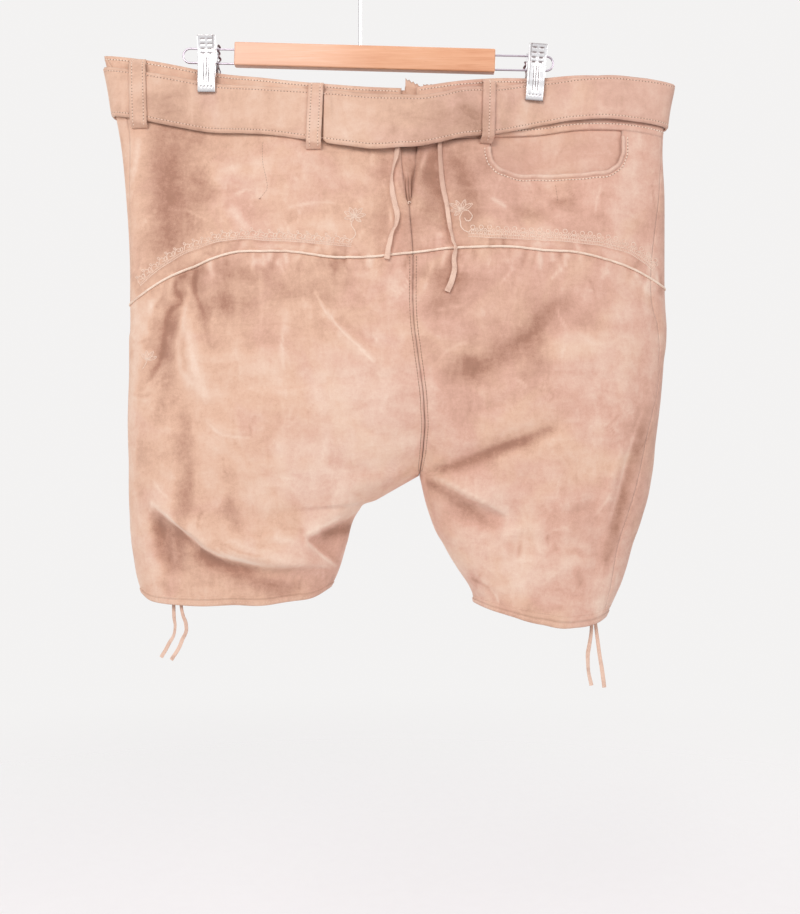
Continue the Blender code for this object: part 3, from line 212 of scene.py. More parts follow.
# Each row: x and z of the stops, the widths above and below, and the rise.
CREASES = of_face(
    Crease, Face.BACK,
    # left seat and leg
    (((-160, -322), (-172, -350), (-188, -378), (-197, -410), (-198, -440)), 7, 8, -3),
    (((-170, -330), (-185, -348), (-179, -361), (-189, -370), (-195, -398)), 2.6, 3.4, -1.5),
    (((-162, -326), (-163.6, -352), (-157, -368)), 2.4, 3, -1.3),
    (((-197, -412), (-208, -436), (-220, -447), (-228, -450)), 5, 6, -3),
    (((-166, -322), (-160, -352), (-156, -380), (-157, -412)), 6, 7, -2.2),
    (((-172, -366), (-169, -400), (-160, -440), (-146, -466)), 7, 7, 2.2),
    (((-186, -452), (-176, -486), (-174, -530), (-180, -570)), 14, 12, -3),
    (((-149, -476), (-141, -488), (-127, -492), (-106, -494)), 3.5, 3.5, 1),
    (((-70, -375), (-74, -400), (-74, -425)), 4, 4, 0.9),
    (((-43, -354), (-26, -386), (2, -413), (27, -439)), 5, 6, 1.6),
    (((-34, -352), (-14, -384), (12, -408), (34, -428)), 5, 5, -1.2),
    (((-128, -330), (-133, -352), (-130, -376)), 5, 5, -1.3),
    (((-100, -322), (-96, -340), (-99, -366)), 4, 5, 1.1),
    (((-209, -563), (-192, -576), (-165, -595), (-145, -613), (-115, -621), (-84, -629)), 12, 2.4, 3.4),
    (((-206, -567), (-190, -580), (-163, -599), (-143, -617), (-115, -626), (-82, -634)), 2.4, 11, -3.6),
    (((-96, -626), (-74, -627), (-57, -625), (-38, -626), (-20, -630)), 10, 2.6, 2.4),
    (((-92, -631), (-57, -630), (-36, -631), (-20, -635)), 2.4, 8, -2.6),
    (((-140, -592), (-112, -602), (-86, -600), (-60, -596)), 7, 7, 1.4),
    (((-104, -608), (-84, -604), (-62, -606)), 4, 5, -1.5),
    (((-106, -592), (-96, -602), (-98, -614)), 3.5, 3.5, -1.1),
    (((-209, -566), (-202, -590), (-196, -612), (-190, -632)), 6, 6, -2.6),
    (((-182, -600), (-177, -618), (-176, -638)), 5, 5, -1.5),
    (((-54, -598), (-34, -589), (-14, -578), (2, -569)), 14, 2.2, 4.6),
    (((-52, -602), (-32, -593), (-12, -582), (3, -573)), 2.2, 12, -6.2),
    (((-55, -599), (-47, -608), (-38, -616), (-20, -631)), 3, 5, 3),
    (((-66, -636), (-64, -646), (-59, -656)), 3.5, 3.5, -2),
    (((-32, -610), (-26, -622), (-22, -636)), 5, 5, -2.2),
    (((-150, -620), (-146, -636), (-148, -652)), 7, 6, -1.6),
    (((-116, -640), (-110, -650), (-106, -658)), 5, 5, 1.2),
    (((-40, -520), (-4, -530), (30, -528), (56, -520)), 9, 9, -1.8),
    (((-30, -552), (0, -548), (34, -536)), 7, 6, 1.7),
    # right seat and leg
    (((66, -535), (81, -542), (98, -550.5), (116, -560.5), (133, -568), (147, -575)), 16, 2.4, 4),
    (((66, -540), (81, -546), (98, -554.5), (116, -564.5), (133, -572), (149, -580)), 2.4, 13, -5),
    (((69, -536), (98, -526), (135, -514), (182, -504)), 8, 8, -1.6),
    (((72, -524), (104, -508), (148, -494), (196, -480)), 9, 9, 1.2),
    (((279, -500), (268, -533), (260, -565), (251, -600)), 7, 7, -2.8),
    (((264, -506), (254, -538), (246, -570)), 6, 6, 1.8),
    (((113, -639), (125, -649), (138, -655)), 3.5, 4, -2),
    (((142, -600), (154, -592), (172, -590), (190, -596)), 6, 6, 1.3),
    (((196, -566), (214, -562), (232, -550)), 5, 6, 1.3),
    (((200, -574), (216, -572), (236, -560)), 4, 5, -1.2),
    (((168, -586), (172, -606), (178, -622)), 4, 5, -1.3),
    (((80, -440), (118, -434), (150, -418), (180, -394), (200, -372)), 14, 12, -2.4),
    (((96, -420), (128, -412), (158, -392), (180, -366)), 10, 10, 1.8),
    (((150, -566), (164, -590), (170, -618)), 8, 9, -2),
    (((186, -520), (200, -560), (204, -600), (198, -640)), 13, 12, 2.2),
    (((228, -540), (236, -580), (238, -620), (230, -650)), 10, 9, -2),
    (((292, -352), (300, -372), (300, -396)), 6, 6, -2.4),
    (((276, -420), (284, -460), (278, -500)), 9, 9, -1.7),
    (((150, -330), (140, -352), (146, -374)), 6, 6, -1.3),
    (((214, -330), (204, -350), (190, -362)), 4, 4, 1),
    (((120, -640), (134, -648), (150, -652)), 5, 6, 1.4),
    (((104, -470), (132, -468), (160, -458)), 7, 7, -1.2),
    # yokes
    (((-192, -196), (-190, -240), (-178, -285), (-168, -312)), 17, 17, -4.2),
    (((-134, -262), (-120, -284), (-108, -296)), 6, 6, 1.6),
    (((-158, -232), (-138, -236), (-112, -232)), 5, 6, 1.2),
    (((-156, -246), (-134, -250), (-104, -244)), 4, 5, -0.9),
    (((-70, -214), (-48, -226), (-20, -232)), 7, 7, 1.4),
    (((-84, -280), (-40, -274), (-6, -262)), 8, 8, -1.2),
    (((28, -206), (22, -240), (20, -280), (24, -308)), 8, 9, -2.6),
    (((68, -204), (74, -236), (86, -270), (92, -300)), 7, 8, -3.2),
    (((58, -214), (60, -240), (64, -270)), 4, 4, 1.6),
    (((94, -206), (104, -232), (112, -250)), 8, 8, -2),
    (((150, -262), (176, -270), (200, -264)), 8, 7, -1.3),
    (((188, -256), (199, -261), (212, -256)), 3, 3, -1.3),
    (((270, -250), (282, -276), (290, -304)), 10, 9, -2),
    (((-236, -170), (-232, -210), (-236, -260)), 6, 6, 1.2),
) + of_face(
    Crease, Face.FRONT,
    (((-206, -498), (-160, -536), (-118, -566), (-66, -590)), 8, 7, 2.6),
    (((-200, -516), (-156, -552), (-110, -582), (-60, -604)), 6, 8, -2.8),
    (((-196, -330), (-176, -372), (-150, -410), (-118, -446)), 7, 7, -2.8),
    (((-182, -322), (-158, -364), (-130, -398)), 7, 7, 1.8),
    (((48, -524), (18, -500), (-14, -482), (-44, -468)), 5, 5, -2.4),
    (((46, -512), (16, -490), (-16, -472)), 6, 5, 1.6),
    (((66, -524), (98, -498), (130, -480), (166, -466)), 5, 5, -2.4),
    (((70, -510), (100, -488), (134, -470)), 6, 5, 1.6),
    (((268, -516), (228, -556), (190, -584), (148, -602)), 8, 7, 2.6),
    (((262, -534), (222, -570), (184, -596), (140, -612)), 6, 8, -2.8),
    (((264, -322), (244, -366), (222, -402), (196, -434)), 7, 7, -2.8),
    (((-150, -230), (-146, -270), (-160, -310)), 12, 12, -2.6),
    (((206, -228), (214, -270), (208, -312)), 12, 12, -2.6),
    (((-100, -600), (-104, -630), (-98, -652)), 8, 8, -2.2),
    (((206, -616), (212, -644), (206, -670)), 8, 8, -2.2),
    (((-30, -392), (-10, -420), (10, -440)), 8, 8, -1.8),
    (((138, -392), (116, -418), (96, -440)), 8, 8, -1.8),
    (((-196, -440), (-188, -480), (-196, -520)), 9, 9, 1.8),
    (((254, -446), (250, -480), (256, -514)), 9, 9, 1.8),
)

# Rubbed lines and darker bands of the hide, and painted shading: darker bands in the troughs of folds,
# creases and gathers, lighter lines on ridges and on the left edge. In rows like the creases', whose rise
# is a tone.
SCUFFS_AND_PAINTED_SHADING = of_face(
    Crease, Face.BACK,
    (((-46, -348), (-25, -383), (1, -409), (18, -427)), 1.2, 1.2, 0.7),
    (((-112, -323), (-94, -323), (-78, -328), (-73, -340)), 1, 1, 0.4),
    (((-72, -384), (-75, -405), (-73, -434)), 1, 1, 0.45),
    (((-149, -482), (-141, -492), (-125, -497), (-104, -499)), 1.1, 1.1, 0.5),
    (((-175, -356), (-168, -398), (-158, -436), (-145, -466)), 4.5, 6, 0.36),
    (((-130, -261), (-120, -277), (-109, -292)), 4.5, 4.5, 0.5),
    (((-150, -236), (-138, -226), (-120, -226)), 6, 6, 0.4),
    (((-128, -253), (-118, -249), (-109, -248)), 1.2, 1.2, 0.5),
    (((-70, -268), (-46, -264), (-20, -264)), 1.4, 1.2, 0.35),
    (((-203, -268), (-212, -273), (-221, -283)), 1.2, 1.2, 0.4),
    (((211, -322), (202, -330), (189, -344)), 1, 1, 0.6),
    (((196, -367), (199, -378), (206, -390)), 1, 1, 0.5),
    (((72, -376), (88, -371), (106, -369)), 1, 1, 0.5),
    (((131, -258), (139, -261), (149, -268)), 1.8, 1.6, 0.6),
    (((76, -322), (69, -339), (64, -357)), 2.6, 1.6, 0.35),
    (((216, -300), (220, -312), (222, -324)), 3.5, 2.5, 0.5),
    # Painted highlight along the drape's crest, and painted shadow under it where it hangs over the leg.
    (((-209, -562), (-180, -585), (-148, -610), (-118, -620), (-84, -628)), 2.2, 1.2, 0.8),
    (((-206, -568), (-190, -582), (-163, -601), (-143, -619), (-115, -628), (-84, -635)), 1.5, 12, -0.4),
    (((-54, -600), (-40, -614), (-22, -630)), 1.2, 1.2, 0.6),
    (((-86, -596), (-70, -600), (-56, -600)), 5, 5, 0.35),
    (((-58, -597), (-34, -586), (-10, -574)), 1.6, 1, 0.35),
    (((66, -533), (98, -548), (133, -566)), 1.2, 0.9, 0.35),
    (((130, -560), (152, -570), (176, -566)), 8, 7, 0.3),
    (((288, -300), (296, -330), (292, -352)), 5, 5, 0.4),
    (((288, -462), (273, -501), (259, -550), (248, -590)), 2, 2, 0.4),
    # Painted shade in the troughs of the left seat's creases, and painted highlight on the ridges between
    # them.
    (((-170, -332), (-185, -348), (-179, -361), (-189, -370), (-194, -388), (-196, -404),
      (-201, -422), (-217, -446)), 1.9, 2.6, -0.85),
    (((-182, -372), (-188, -396), (-190, -424), (-192, -452)), 6.5, 7.5, -0.32),
    (((-162, -328), (-163.6, -352), (-159, -364), (-151, -382)), 1.5, 3, -0.65),
    (((-174, -352), (-177, -392), (-179, -421), (-173, -437), (-155, -451)), 3.2, 4.6, 0.5),
    (((-176, -340), (-171, -352), (-170, -362)), 3, 3, 0.4),
    (((-201, -352), (-208, -362), (-214, -376)), 3.5, 3.5, 0.35),
    (((-192, -352), (-200, -360), (-206, -368)), 1.2, 1.2, -0.4),
    (((-160, -320), (-156, -350), (-152, -384), (-144, -420)), 6, 5, -0.28),
    (((-110, -338), (-128, -352), (-138, -380), (-134, -420)), 16, 16, -0.2),
    # Painted shade in the gathers under the slit.
    (((43.5, -232), (46, -246), (49, -262)), 0.8, 0.8, -0.6),
    (((47.5, -236), (49.3, -250), (50.4, -262)), 0.8, 0.8, -0.55),
    (((53.5, -230), (52.4, -248), (51, -262)), 0.8, 0.8, -0.6),
    (((58, -222), (55, -243), (51.6, -262)), 0.9, 0.9, -0.55),
    (((40, -240), (44, -252), (48.4, -263)), 0.8, 0.8, -0.45),
    (((66, -204), (60, -222), (55, -238), (52.4, -256)), 1.1, 2.4, -0.5),
    (((-222, -345.4), (-189, -322.4), (-160, -309.4), (-130, -302.4), (-93, -303.4), (-54, -306),
      (-7, -310.5)), 0.9, 0.9, -0.45),
    (((109, -300.4), (147, -302), (186, -303.5), (224, -306), (254, -310.5), (282, -320),
      (297, -330.5)), 0.9, 0.9, -0.35),
    (((-199, -566), (-200, -590), (-197, -626)), 7, 7, -0.42),
    (((-142, -606), (-122, -618), (-100, -622)), 1.2, 1.2, 0.45),
    (((-136, -602), (-114, -612), (-90, -616)), 1.2, 1.2, -0.4),
    (((-126, -600), (-106, -608), (-84, -610)), 1.1, 1.1, 0.35),
    (((161, -599), (160, -610), (159, -620)), 2.6, 2.6, -0.36),
    (((187, -594), (187, -601), (188.5, -608)), 1.2, 1.2, -0.4),
    (((130.6, -648.7), (137, -656), (140.7, -665.7)), 0.9, 0.9, 0.5),
    (((112, -640), (123.7, -645.4), (132.2, -650.4)), 1.4, 1.4, -0.4),
    (((215.8, -624.8), (220, -640), (222.7, -652)), 5, 5, -0.2),
    (((256.8, -583.8), (253.3, -612.9), (244.9, -621.5)), 3.5, 3.5, -0.32),
    # Painted shade, most of it down the troughs of the folds and creases of the legs and the seat.
    (((-174, -466), (-171, -501), (-170, -548), (-175, -580), (-185, -620), (-189, -650)), 8, 10, -0.6),
    (((-196, -440), (-198, -460), (-197, -490)), 8, 8, -0.4),
    (((-132, -512), (-126, -560), (-114, -600)), 7, 7, -0.25),
    (((-156, -606), (-100, -645), (-50, -648)), 8, 8, -0.4),
    (((-40, -597), (-18, -592), (-4, -590)), 7, 5, -0.75),
    (((109, -433), (140, -414), (170, -392), (196, -368), (220, -358)), 9, 9, -0.5),
    (((72, -436), (96, -433), (121, -423)), 13, 11, -0.55),
    (((80, -322), (87, -352), (81, -382)), 18, 16, -0.4),
    (((69, -534), (96, -525), (126, -513), (160, -501), (200, -486)), 3.2, 7, -0.75),
    (((90, -560), (115, -575), (140, -590)), 7, 6, -0.5),
    (((294, -461), (281, -501), (267, -550), (256, -590), (247, -620), (243, -650)), 6, 6, -0.5),
    # Painted shade beside the slit and in the yokes' folds, with a painted highlight between the first two.
    (((62, -204), (60, -222), (57, -240)), 2.2, 3, -0.7),
    (((78, -204), (72, -226), (63, -250)), 6, 5, -0.45),
    (((69, -206), (64, -222), (60, -232)), 2, 2, 0.35),
    (((74, -226), (71, -256), (73, -290)), 10, 10, -0.35),
    (((96, -208), (104, -237), (112, -262), (121, -287)), 14, 12, -0.38),
    (((30, -208), (27, -240), (26, -280), (22, -304)), 5, 5, -0.3),
    (((-194, -150), (-192, -240), (-185, -285), (-180, -316)), 22, 20, -0.46),
    # Painted highlight where the left edge turns towards the light.
    (((-224, -186), (-226, -210), (-232, -240)), 3, 3, 0.4),
    (((-194, -240), (-193, -285), (-196, -322)), 15, 13, -0.24),
    # Painted highlight where the left edge turns towards the light.
    (((-229, -436), (-231, -500), (-226, -566)), 6, 6, 0.3),
    (((66, -540), (80, -549), (98, -559)), 1.5, 5, -0.55),
    (((-233, -400), (-222, -402), (-212, -399)), 1.4, 1.4, -0.35),
    (((-234, -452), (-220, -456), (-206, -453)), 1.4, 1.4, -0.35),
    (((-234, -330), (-222, -327), (-210, -331)), 1.2, 1.2, 0.4),
    (((-160, -216), (-164, -262), (-160, -300)), 12, 10, -0.3),
    (((100, -160), (108, -176), (104, -190)), 12, 12, -0.5),
    (((84, -168), (88, -184)), 8, 8, -0.3),
    (((-200, -145), (-196, -172)), 16, 14, -0.45),
    (((196, -255), (206, -262), (220, -260)), 5, 5, -0.4),
    (((156, -270), (180, -276), (200, -276)), 8, 6, -0.25),
) + of_face(
    Crease, Face.FRONT,
    (((-120, -300), (-104, -340), (-96, -380)), 1.3, 1.2, 0.5),
    (((190, -300), (204, -350), (200, -390)), 1.3, 1.2, 0.5),
    (((-180, -520), (-140, -548), (-96, -572)), 1.6, 1.2, 0.4),
    (((250, -536), (210, -566), (168, -590)), 1.6, 1.2, 0.4),
    (((-190, -440), (-184, -500), (-190, -560)), 9, 9, -0.4),
    (((250, -440), (246, -500), (240, -560)), 9, 9, -0.4),
    (((-80, -470), (-30, -500), (30, -520)), 14, 9, -0.35),
    (((160, -470), (120, -500), (76, -520)), 14, 9, -0.35),
)
SCUFF_COUNT = 130
PUCKER_COUNT = 64
PUCKER_LINE = ((-232, -360), (-163, -326), (-91, -313), (-18, -320), (54, -315), (119, -309), (183, -312),
               (248, -320), (308, -344))
WRINKLE_COUNT = 90
STAIN_LIMIT = 0.72
NEAR_BLUR = 5.0
FAR_BLUR = 18.0
SCATTER_X = (-230.0, 305.0)
SCATTER_Z = (-655.0, -205.0)
WRINKLE_SEED = 7


@dataclass(frozen=True)
class Stain:
    """A soft patch that is darker (tone < 0) or lighter than the suede round it."""

    face: Face
    x: float
    z: float
    radius_x: float
    radius_z: float
    tone: float


# Each row: x and z, the radii across and up, and the tone.
STAINS = of_face(
    Stain, Face.BACK,
    (100, -346, 44, 22, -0.42),
    (120, -400, 50, 40, -0.15),
    (262, -352, 26, 24, 0.15),
    (230, -430, 40, 40, 0.25),
    (200, -540, 40, 40, 0.25),
    (150, -618, 50, 40, 0.42),
    (266, -250, 26, 44, 0.3),
    (160, -240, 50, 18, 0.15),
    (180, -300, 40, 12, 0.2),
    (300, -160, 30, 20, 0.2),
    (206, -176, 32, 24, 0.4),
    (284, -232, 16, 36, 0.25),
    (206, -575, 18, 22, -0.25),
    (250, -646, 20, 20, 0.4),
    (145, -605, 13, 13, -0.35),
    (207, -620, 9, 9, -0.3),
    (-188, -230, 22, 34, -0.25),
    (-110, -240, 40, 30, 0.25),
    (-50, -296, 60, 20, 0.2),
    (-20, -236, 22, 26, 0.12),
    (-120, -450, 40, 60, 0.15),
    (0, -470, 44, 60, 0.5),
    (56, -472, 24, 34, 0.42),
    (-60, -530, 60, 50, 0.2),
    (-70, -350, 60, 24, -0.3),
    (-125, -340, 30, 30, -0.4),
    (-193, -392, 28, 74, -0.36),
    (-50, -602, 36, 18, 0.2),
    # Painted highlight where the left edge turns towards the light.
    (-216, -386, 14, 30, 0.25),
    (28, -340, 16, 20, 0.25),
    (-100, -560, 40, 30, 0.2),
    (-30, -545, 40, 22, 0.2),
    (-120, -655, 90, 10, -0.1),
    (-168, -618, 24, 20, -0.3),
    # Painted highlight down the left edge, where it turns towards the light, in this row and the next.
    (-222, -400, 12, 60, 0.25),
    (-222, -600, 12, 50, 0.3),
    (-20, -180, 24, 20, 0.2),
    (100, -186, 40, 36, -0.3),
    (150, -268, 110, 50, -0.16),
    (46, -226, 15, 42, -0.36),
    (44, -174, 16, 22, -0.22),
    (90, -180, 30, 24, -0.2),
    (76, -240, 26, 44, -0.22),
    (116, -438, 26, 16, -0.35),
    (160, -417, 26, 22, -0.4),
    (222, -384, 36, 18, -0.35),
    (-120, -162, 60, 14, 0.2),
) + of_face(
    Stain, Face.FRONT,
    (50, -420, 90, 60, -0.2),
    (-150, -420, 50, 80, 0.25),
    (240, -400, 40, 80, 0.25),
    (-90, -560, 60, 30, -0.25),
    (200, -570, 60, 30, -0.2),
    (-170, -260, 40, 30, -0.25),
    (120, -320, 60, 30, 0.2),
)


# --- the garment's surface

class Profile:
    """A smooth curve through the rows of a table's column, which may turn sharply at one row."""

    def __init__(self, places: Iterable[float], values: Iterable[float], corner: int | None = None) -> None:
        """Keep the rows and their slopes.

        Args:
            places: where each row stands.
            values: the column's value in each row.
            corner: a row at which the curve turns sharply.
        """
        self.places = np.array(list(places), dtype=float)
        self.values = np.array(list(values), dtype=float)
        self.slopes_out = np.gradient(self.values, self.places)
        self.slopes_in = self.slopes_out.copy()
        if corner is not None:
            before, after = slice(0, corner + 1), slice(corner, None)
            self.slopes_in[before] = np.gradient(self.values[before], self.places[before])
            self.slopes_out[before] = self.slopes_in[before]
            self.slopes_out[after] = np.gradient(self.values[after], self.places[after])
            self.slopes_in[corner + 1:] = self.slopes_out[corner + 1:]

    def __call__(self, at: Array) -> Array:
        """The curve's values at the given places.

        Args:
            at: the places.
        Returns:
            The value at each.
        """
        at = np.clip(at, self.places[0], self.places[-1])
        row = np.clip(np.searchsorted(self.places, at, side="right") - 1, 0, len(self.places) - 2)
        step = self.places[row + 1] - self.places[row]
        t = (at - self.places[row]) / step
        start = self.values[row] + (at - self.places[row]) * self.slopes_out[row]
        end = self.values[row + 1] + (at - self.places[row + 1]) * self.slopes_in[row + 1]
        blend = t * t * (3.0 - 2.0 * t)
        return start * (1.0 - blend) + end * blend


def run_along(points: Array) -> Array:
    """Distance of each point from the first, along the line through them all."""
    return np.concatenate([[0.0], np.cumsum(np.linalg.norm(np.diff(points, axis=0), axis=1))])


def row_at(table: Array, run: Array, wanted: Array | float) -> Array:
    """Rows of a table at places between its own, whose run is given."""
    return np.stack([np.interp(wanted, run, column) for column in table.T], axis=-1)


def weighted_run(track: Array, turn_weight: float) -> tuple[Array, Array]:
    """Distances along a track, plain and with more for its bends.

    Args:
        track: points in millimetres.
        turn_weight: millimetres that a bend of one radian adds.
    Returns:
        Each point's plain and weighted distance from the first.
    """
    steps = np.diff(track, axis=0)
    lengths = np.linalg.norm(steps, axis=1)
    headings = steps / np.maximum(lengths, 1e-9)[:, None]
    turns = np.arccos(np.clip(np.sum(headings[1:] * headings[:-1], axis=1), -1.0, 1.0))
    run = np.concatenate([[0.0], np.cumsum(lengths)])
    return run, np.concatenate([[0.0], np.cumsum(lengths + turn_weight * np.concatenate([[0.0], turns]))])


def circle(sides: int) -> Array:
    """Corners of a round section of radius 1."""
    turns = np.linspace(0.0, 2.0 * math.pi, sides, endpoint=False)
    return np.stack([np.cos(turns), np.sin(turns)], axis=1)


def smooth_route(stops: Sequence[Sequence[float]], step: float) -> Array:
    """Points on a smooth curve through stops.

    Args:
        stops: rows of numbers of any width.
        step: distance between the points, in the stops' own units.
    Returns:
        One row of numbers for each point.
    """
    rows = np.array(stops, dtype=float)
    run = run_along(rows)
    count = max(2, int(round(run[-1] / step)) + 1)
    wanted = np.linspace(0.0, run[-1], count)
    return np.stack([Profile(run, rows[:, axis])(wanted) for axis in range(rows.shape[1])], axis=-1)


def smooth_step(value: Array) -> Array:
    """A soft rise from 0 to 1 while the value goes from 0 to 1."""
    held = np.clip(value, 0.0, 1.0)
    return held * held * (3.0 - 2.0 * held)


@dataclass(frozen=True)
class MapGrid:
    """A millimetre grid over the garment's face."""

    left: float = -300.0
    low: float = -720.0
    columns: int = 661
    rows: int = 641

    def axes(self) -> tuple[Array, Array]:
        """The grid's x and z as two arrays, one row of cells for each height."""
        x = self.left + np.arange(self.columns, dtype=float)
        z = self.low + np.arange(self.rows, dtype=float)
        return np.meshgrid(x, z)

    def sample(self, values: Array, x: Array, z: Array) -> Array:
        """Values between the grid's cells.

        Args:
            values: one number for each cell.
            x: where to read, across.
            z: where to read, up.
        Returns:
            The numbers there.
        """
        across = np.clip(np.asarray(x, float) - self.left, 0.0, self.columns - 1.001)
        up = np.clip(np.asarray(z, float) - self.low, 0.0, self.rows - 1.001)
        i, j = across.astype(int), up.astype(int)
        u, v = across - i, up - j
        lower = values[j, i] * (1.0 - u) + values[j, i + 1] * u
        upper = values[j + 1, i] * (1.0 - u) + values[j + 1, i + 1] * u
        return lower * (1.0 - v) + upper * v

    def blurred(self, values: Array, radius: float) -> Array:
        """The values after a soft blur of this radius in millimetres.

        Args:
            values: one number for each cell.
            radius: the blur's radius in millimetres.
        Returns:
            The softened numbers.
        """
        pad = int(radius * 3)
        wide = np.pad(values, pad, mode="edge")
        up = np.fft.fftfreq(wide.shape[0])[:, None]
        across = np.fft.rfftfreq(wide.shape[1])[None, :]
        share = np.exp(-2.0 * (math.pi * radius) ** 2 * (up ** 2 + across ** 2))
        soft = np.fft.irfft2(np.fft.rfft2(wide) * share, s=wide.shape)
        return soft[pad:-pad, pad:-pad]


GRID = MapGrid()


class Relief:
    """Folds, creases, wrinkles and stains of one face of the garment, and the shading painted over them."""

    def __init__(self, face: Face) -> None:
        """Lay every fold and mark of the face on the grid.

        Args:
            face: the back or the front.
        """
        self.face = face
        x, z = GRID.axes()
        self.folds = np.zeros_like(x)
        for fold in FOLDS:
            if fold.face is face:
                self.folds += self.fold_rise(fold, x, z)
        rng = np.random.default_rng(WRINKLE_SEED + (0 if face is Face.BACK else 1))
        self.detail = self.undulation(rng, x, z)
        for crease in CREASES:
            if crease.face is face:
                self.stroke(self.detail, crease)
        for crease in self.short_lines(rng, WRINKLE_COUNT, (8.0, 24.0), (2.2, 5.0), (0.25, 0.7), -0.34):
            self.stroke(self.detail, crease)
        puckers = self.puckers(rng) if face is Face.BACK else []
        for crease in puckers:
            self.stroke(self.detail, crease)
        # Painted shading from the relief's own shape: lighter on ridges, darker in troughs.
        whole = self.folds + self.detail
        near = (whole - GRID.blurred(whole, NEAR_BLUR)) / 2.0
        far = (whole - GRID.blurred(whole, FAR_BLUR)) / 7.0
        self.shade = np.tanh(0.8 * near + 0.7 * far)
        # The stains, with painted shading laid over them: darker strokes in folds and gathers, lighter ones
        # on ridges and the left edge.
        self.stain = self.stains(rng, x, z)
        for scuff_and_shading_line in SCUFFS_AND_PAINTED_SHADING:
            if scuff_and_shading_line.face is face:
                self.stroke(self.stain, scuff_and_shading_line)
        for scuff_and_shading_line in self.short_lines(rng, SCUFF_COUNT, (4.0, 18.0), (0.6, 1.5), (0.12, 0.42), 0.25):
            self.stroke(self.stain, scuff_and_shading_line)
        # Painted shade and highlight on the puckers, a share of their rise.
        for crease in puckers:
            self.stroke(self.stain, replace(crease, rise=0.42 * crease.rise))
        self.stain = STAIN_LIMIT * np.tanh(self.stain / STAIN_LIMIT)

    @staticmethod
    def fold_rise(fold: Fold, x: Array, z: Array) -> Array:
        """Height of one broad fold over x and z.

        Args:
            fold: the fold.
            x: the grid's x.
            z: the grid's z.
        Returns:
            Its height in each cell.
        """
        run_x, run_z = fold.x1 - fold.x0, fold.z1 - fold.z0
        length = math.hypot(run_x, run_z)
        along = ((x - fold.x0) * run_x + (z - fold.z0) * run_z) / length ** 2
        across = ((z - fold.z0) * run_x - (x - fold.x0) * run_z) / length
        width = np.where(across > 0.0, fold.above, fold.below)
        return fold.rise * np.exp(-(across / width) ** 2 - 1.5 * (2.0 * along - 1.0) ** 4)

    @staticmethod
    def stroke(target: Array, crease: Crease) -> None:
        """Add one line to a map, in the cells round it.

        Args:
            target: the map that it changes.
            crease: the line, in heights or in tones.
        """
        line = smooth_route(crease.stops, 4.0)
        reach = 2.6 * max(crease.above, crease.below)
        i0 = int(max(0, line[:, 0].min() - reach - GRID.left))
        i1 = int(min(GRID.columns, line[:, 0].max() + reach - GRID.left + 1))
        j0 = int(max(0, line[:, 1].min() - reach - GRID.low))
        j1 = int(min(GRID.rows, line[:, 1].max() + reach - GRID.low + 1))
        if i1 <= i0 or j1 <= j0:
            return
        x, z = np.meshgrid(GRID.left + np.arange(i0, i1), GRID.low + np.arange(j0, j1))
        cells = np.stack([x.ravel(), z.ravel()], axis=1)
        start, step = line[:-1], np.diff(line, axis=0)
        lengths = np.linalg.norm(step, axis=1)
        run = np.concatenate([[0.0], np.cumsum(lengths)])
        offset = cells[:, None, :] - start[None, :, :]
        share = np.clip(np.sum(offset * step, axis=2) / lengths ** 2, 0.0, 1.0)
        miss = offset - step * share[:, :, None]
        nearest = np.argmin(np.sum(miss ** 2, axis=2), axis=1)
        pick = np.arange(len(cells))
        gap = miss[pick, nearest]
        distance = np.linalg.norm(gap, axis=1)
        above = step[nearest, 0] * gap[:, 1] - step[nearest, 1] * gap[:, 0] > 0.0
        along = (run[nearest] + share[pick, nearest] * lengths[nearest]) / run[-1]
        width = np.where(above, crease.above, crease.below)
        ends = 1.0 - (2.0 * along - 1.0) ** 4
        rise = crease.rise * np.exp(-(distance / width) ** 2) * ends
        target[j0:j1, i0:i1] += rise.reshape(x.shape)

    def undulation(self, rng: np.random.Generator, x: Array, z: Array) -> Array:
        """Slow unevenness of hanging hide.

        Args:
            rng: the source of its phases.
            x: the grid's x.
            z: the grid's z.
        Returns:
            Heights on the grid.
        """
        total = np.zeros_like(x)
        for wave, rise in ((95.0, 0.42), (58.0, 0.30), (33.0, 0.20), (19.0, 0.13), (11.0, 0.07)):
            for _ in range(5):
                heading, phase = rng.uniform(0.0, math.pi), rng.uniform(0.0, 2.0 * math.pi)
                turn = (x * math.cos(heading) + z * math.sin(heading)) * 2.0 * math.pi
                turn = turn / (wave * rng.uniform(0.8, 1.25))
                total += rise * np.sin(turn + phase + 0.7 * np.sin(turn * 0.37 + phase * 1.7))
        return total * 0.55

    def short_lines(self, rng: np.random.Generator, count: int, reaches: tuple[float, float],
                    widths: tuple[float, float], rises: tuple[float, float], lean: float) -> list[Crease]:
        """Short lines scattered over the hide.

        Args:
            rng: the source of their places.
            count: how many.
            reaches: half their length, from and to.
            widths: their width, from and to.
            rises: their height or tone, from and to.
            lean: share of them that rise, less the share that sink.
        Returns:
            The lines.
        """
        made = []
        for _ in range(count):
            x, z = rng.uniform(*SCATTER_X), rng.uniform(*SCATTER_Z)
            heading, reach, bend = rng.normal(1.35, 0.7), rng.uniform(*reaches), rng.uniform(-4.0, 4.0)
            run = np.array([math.cos(heading), math.sin(heading)])
            middle = np.array([x, z])
            bowed = middle + np.array([-run[1], run[0]]) * bend
            line = (middle - run * reach, bowed, middle + run * reach)
            stops = tuple((float(a), float(b)) for a, b in line)
            sign = 1.0 if rng.uniform(-1.0, 1.0) < lean else -1.0
            width = rng.uniform(*widths)
            made.append(Crease(self.face, stops, width, width, sign * rng.uniform(*rises)))
        return made

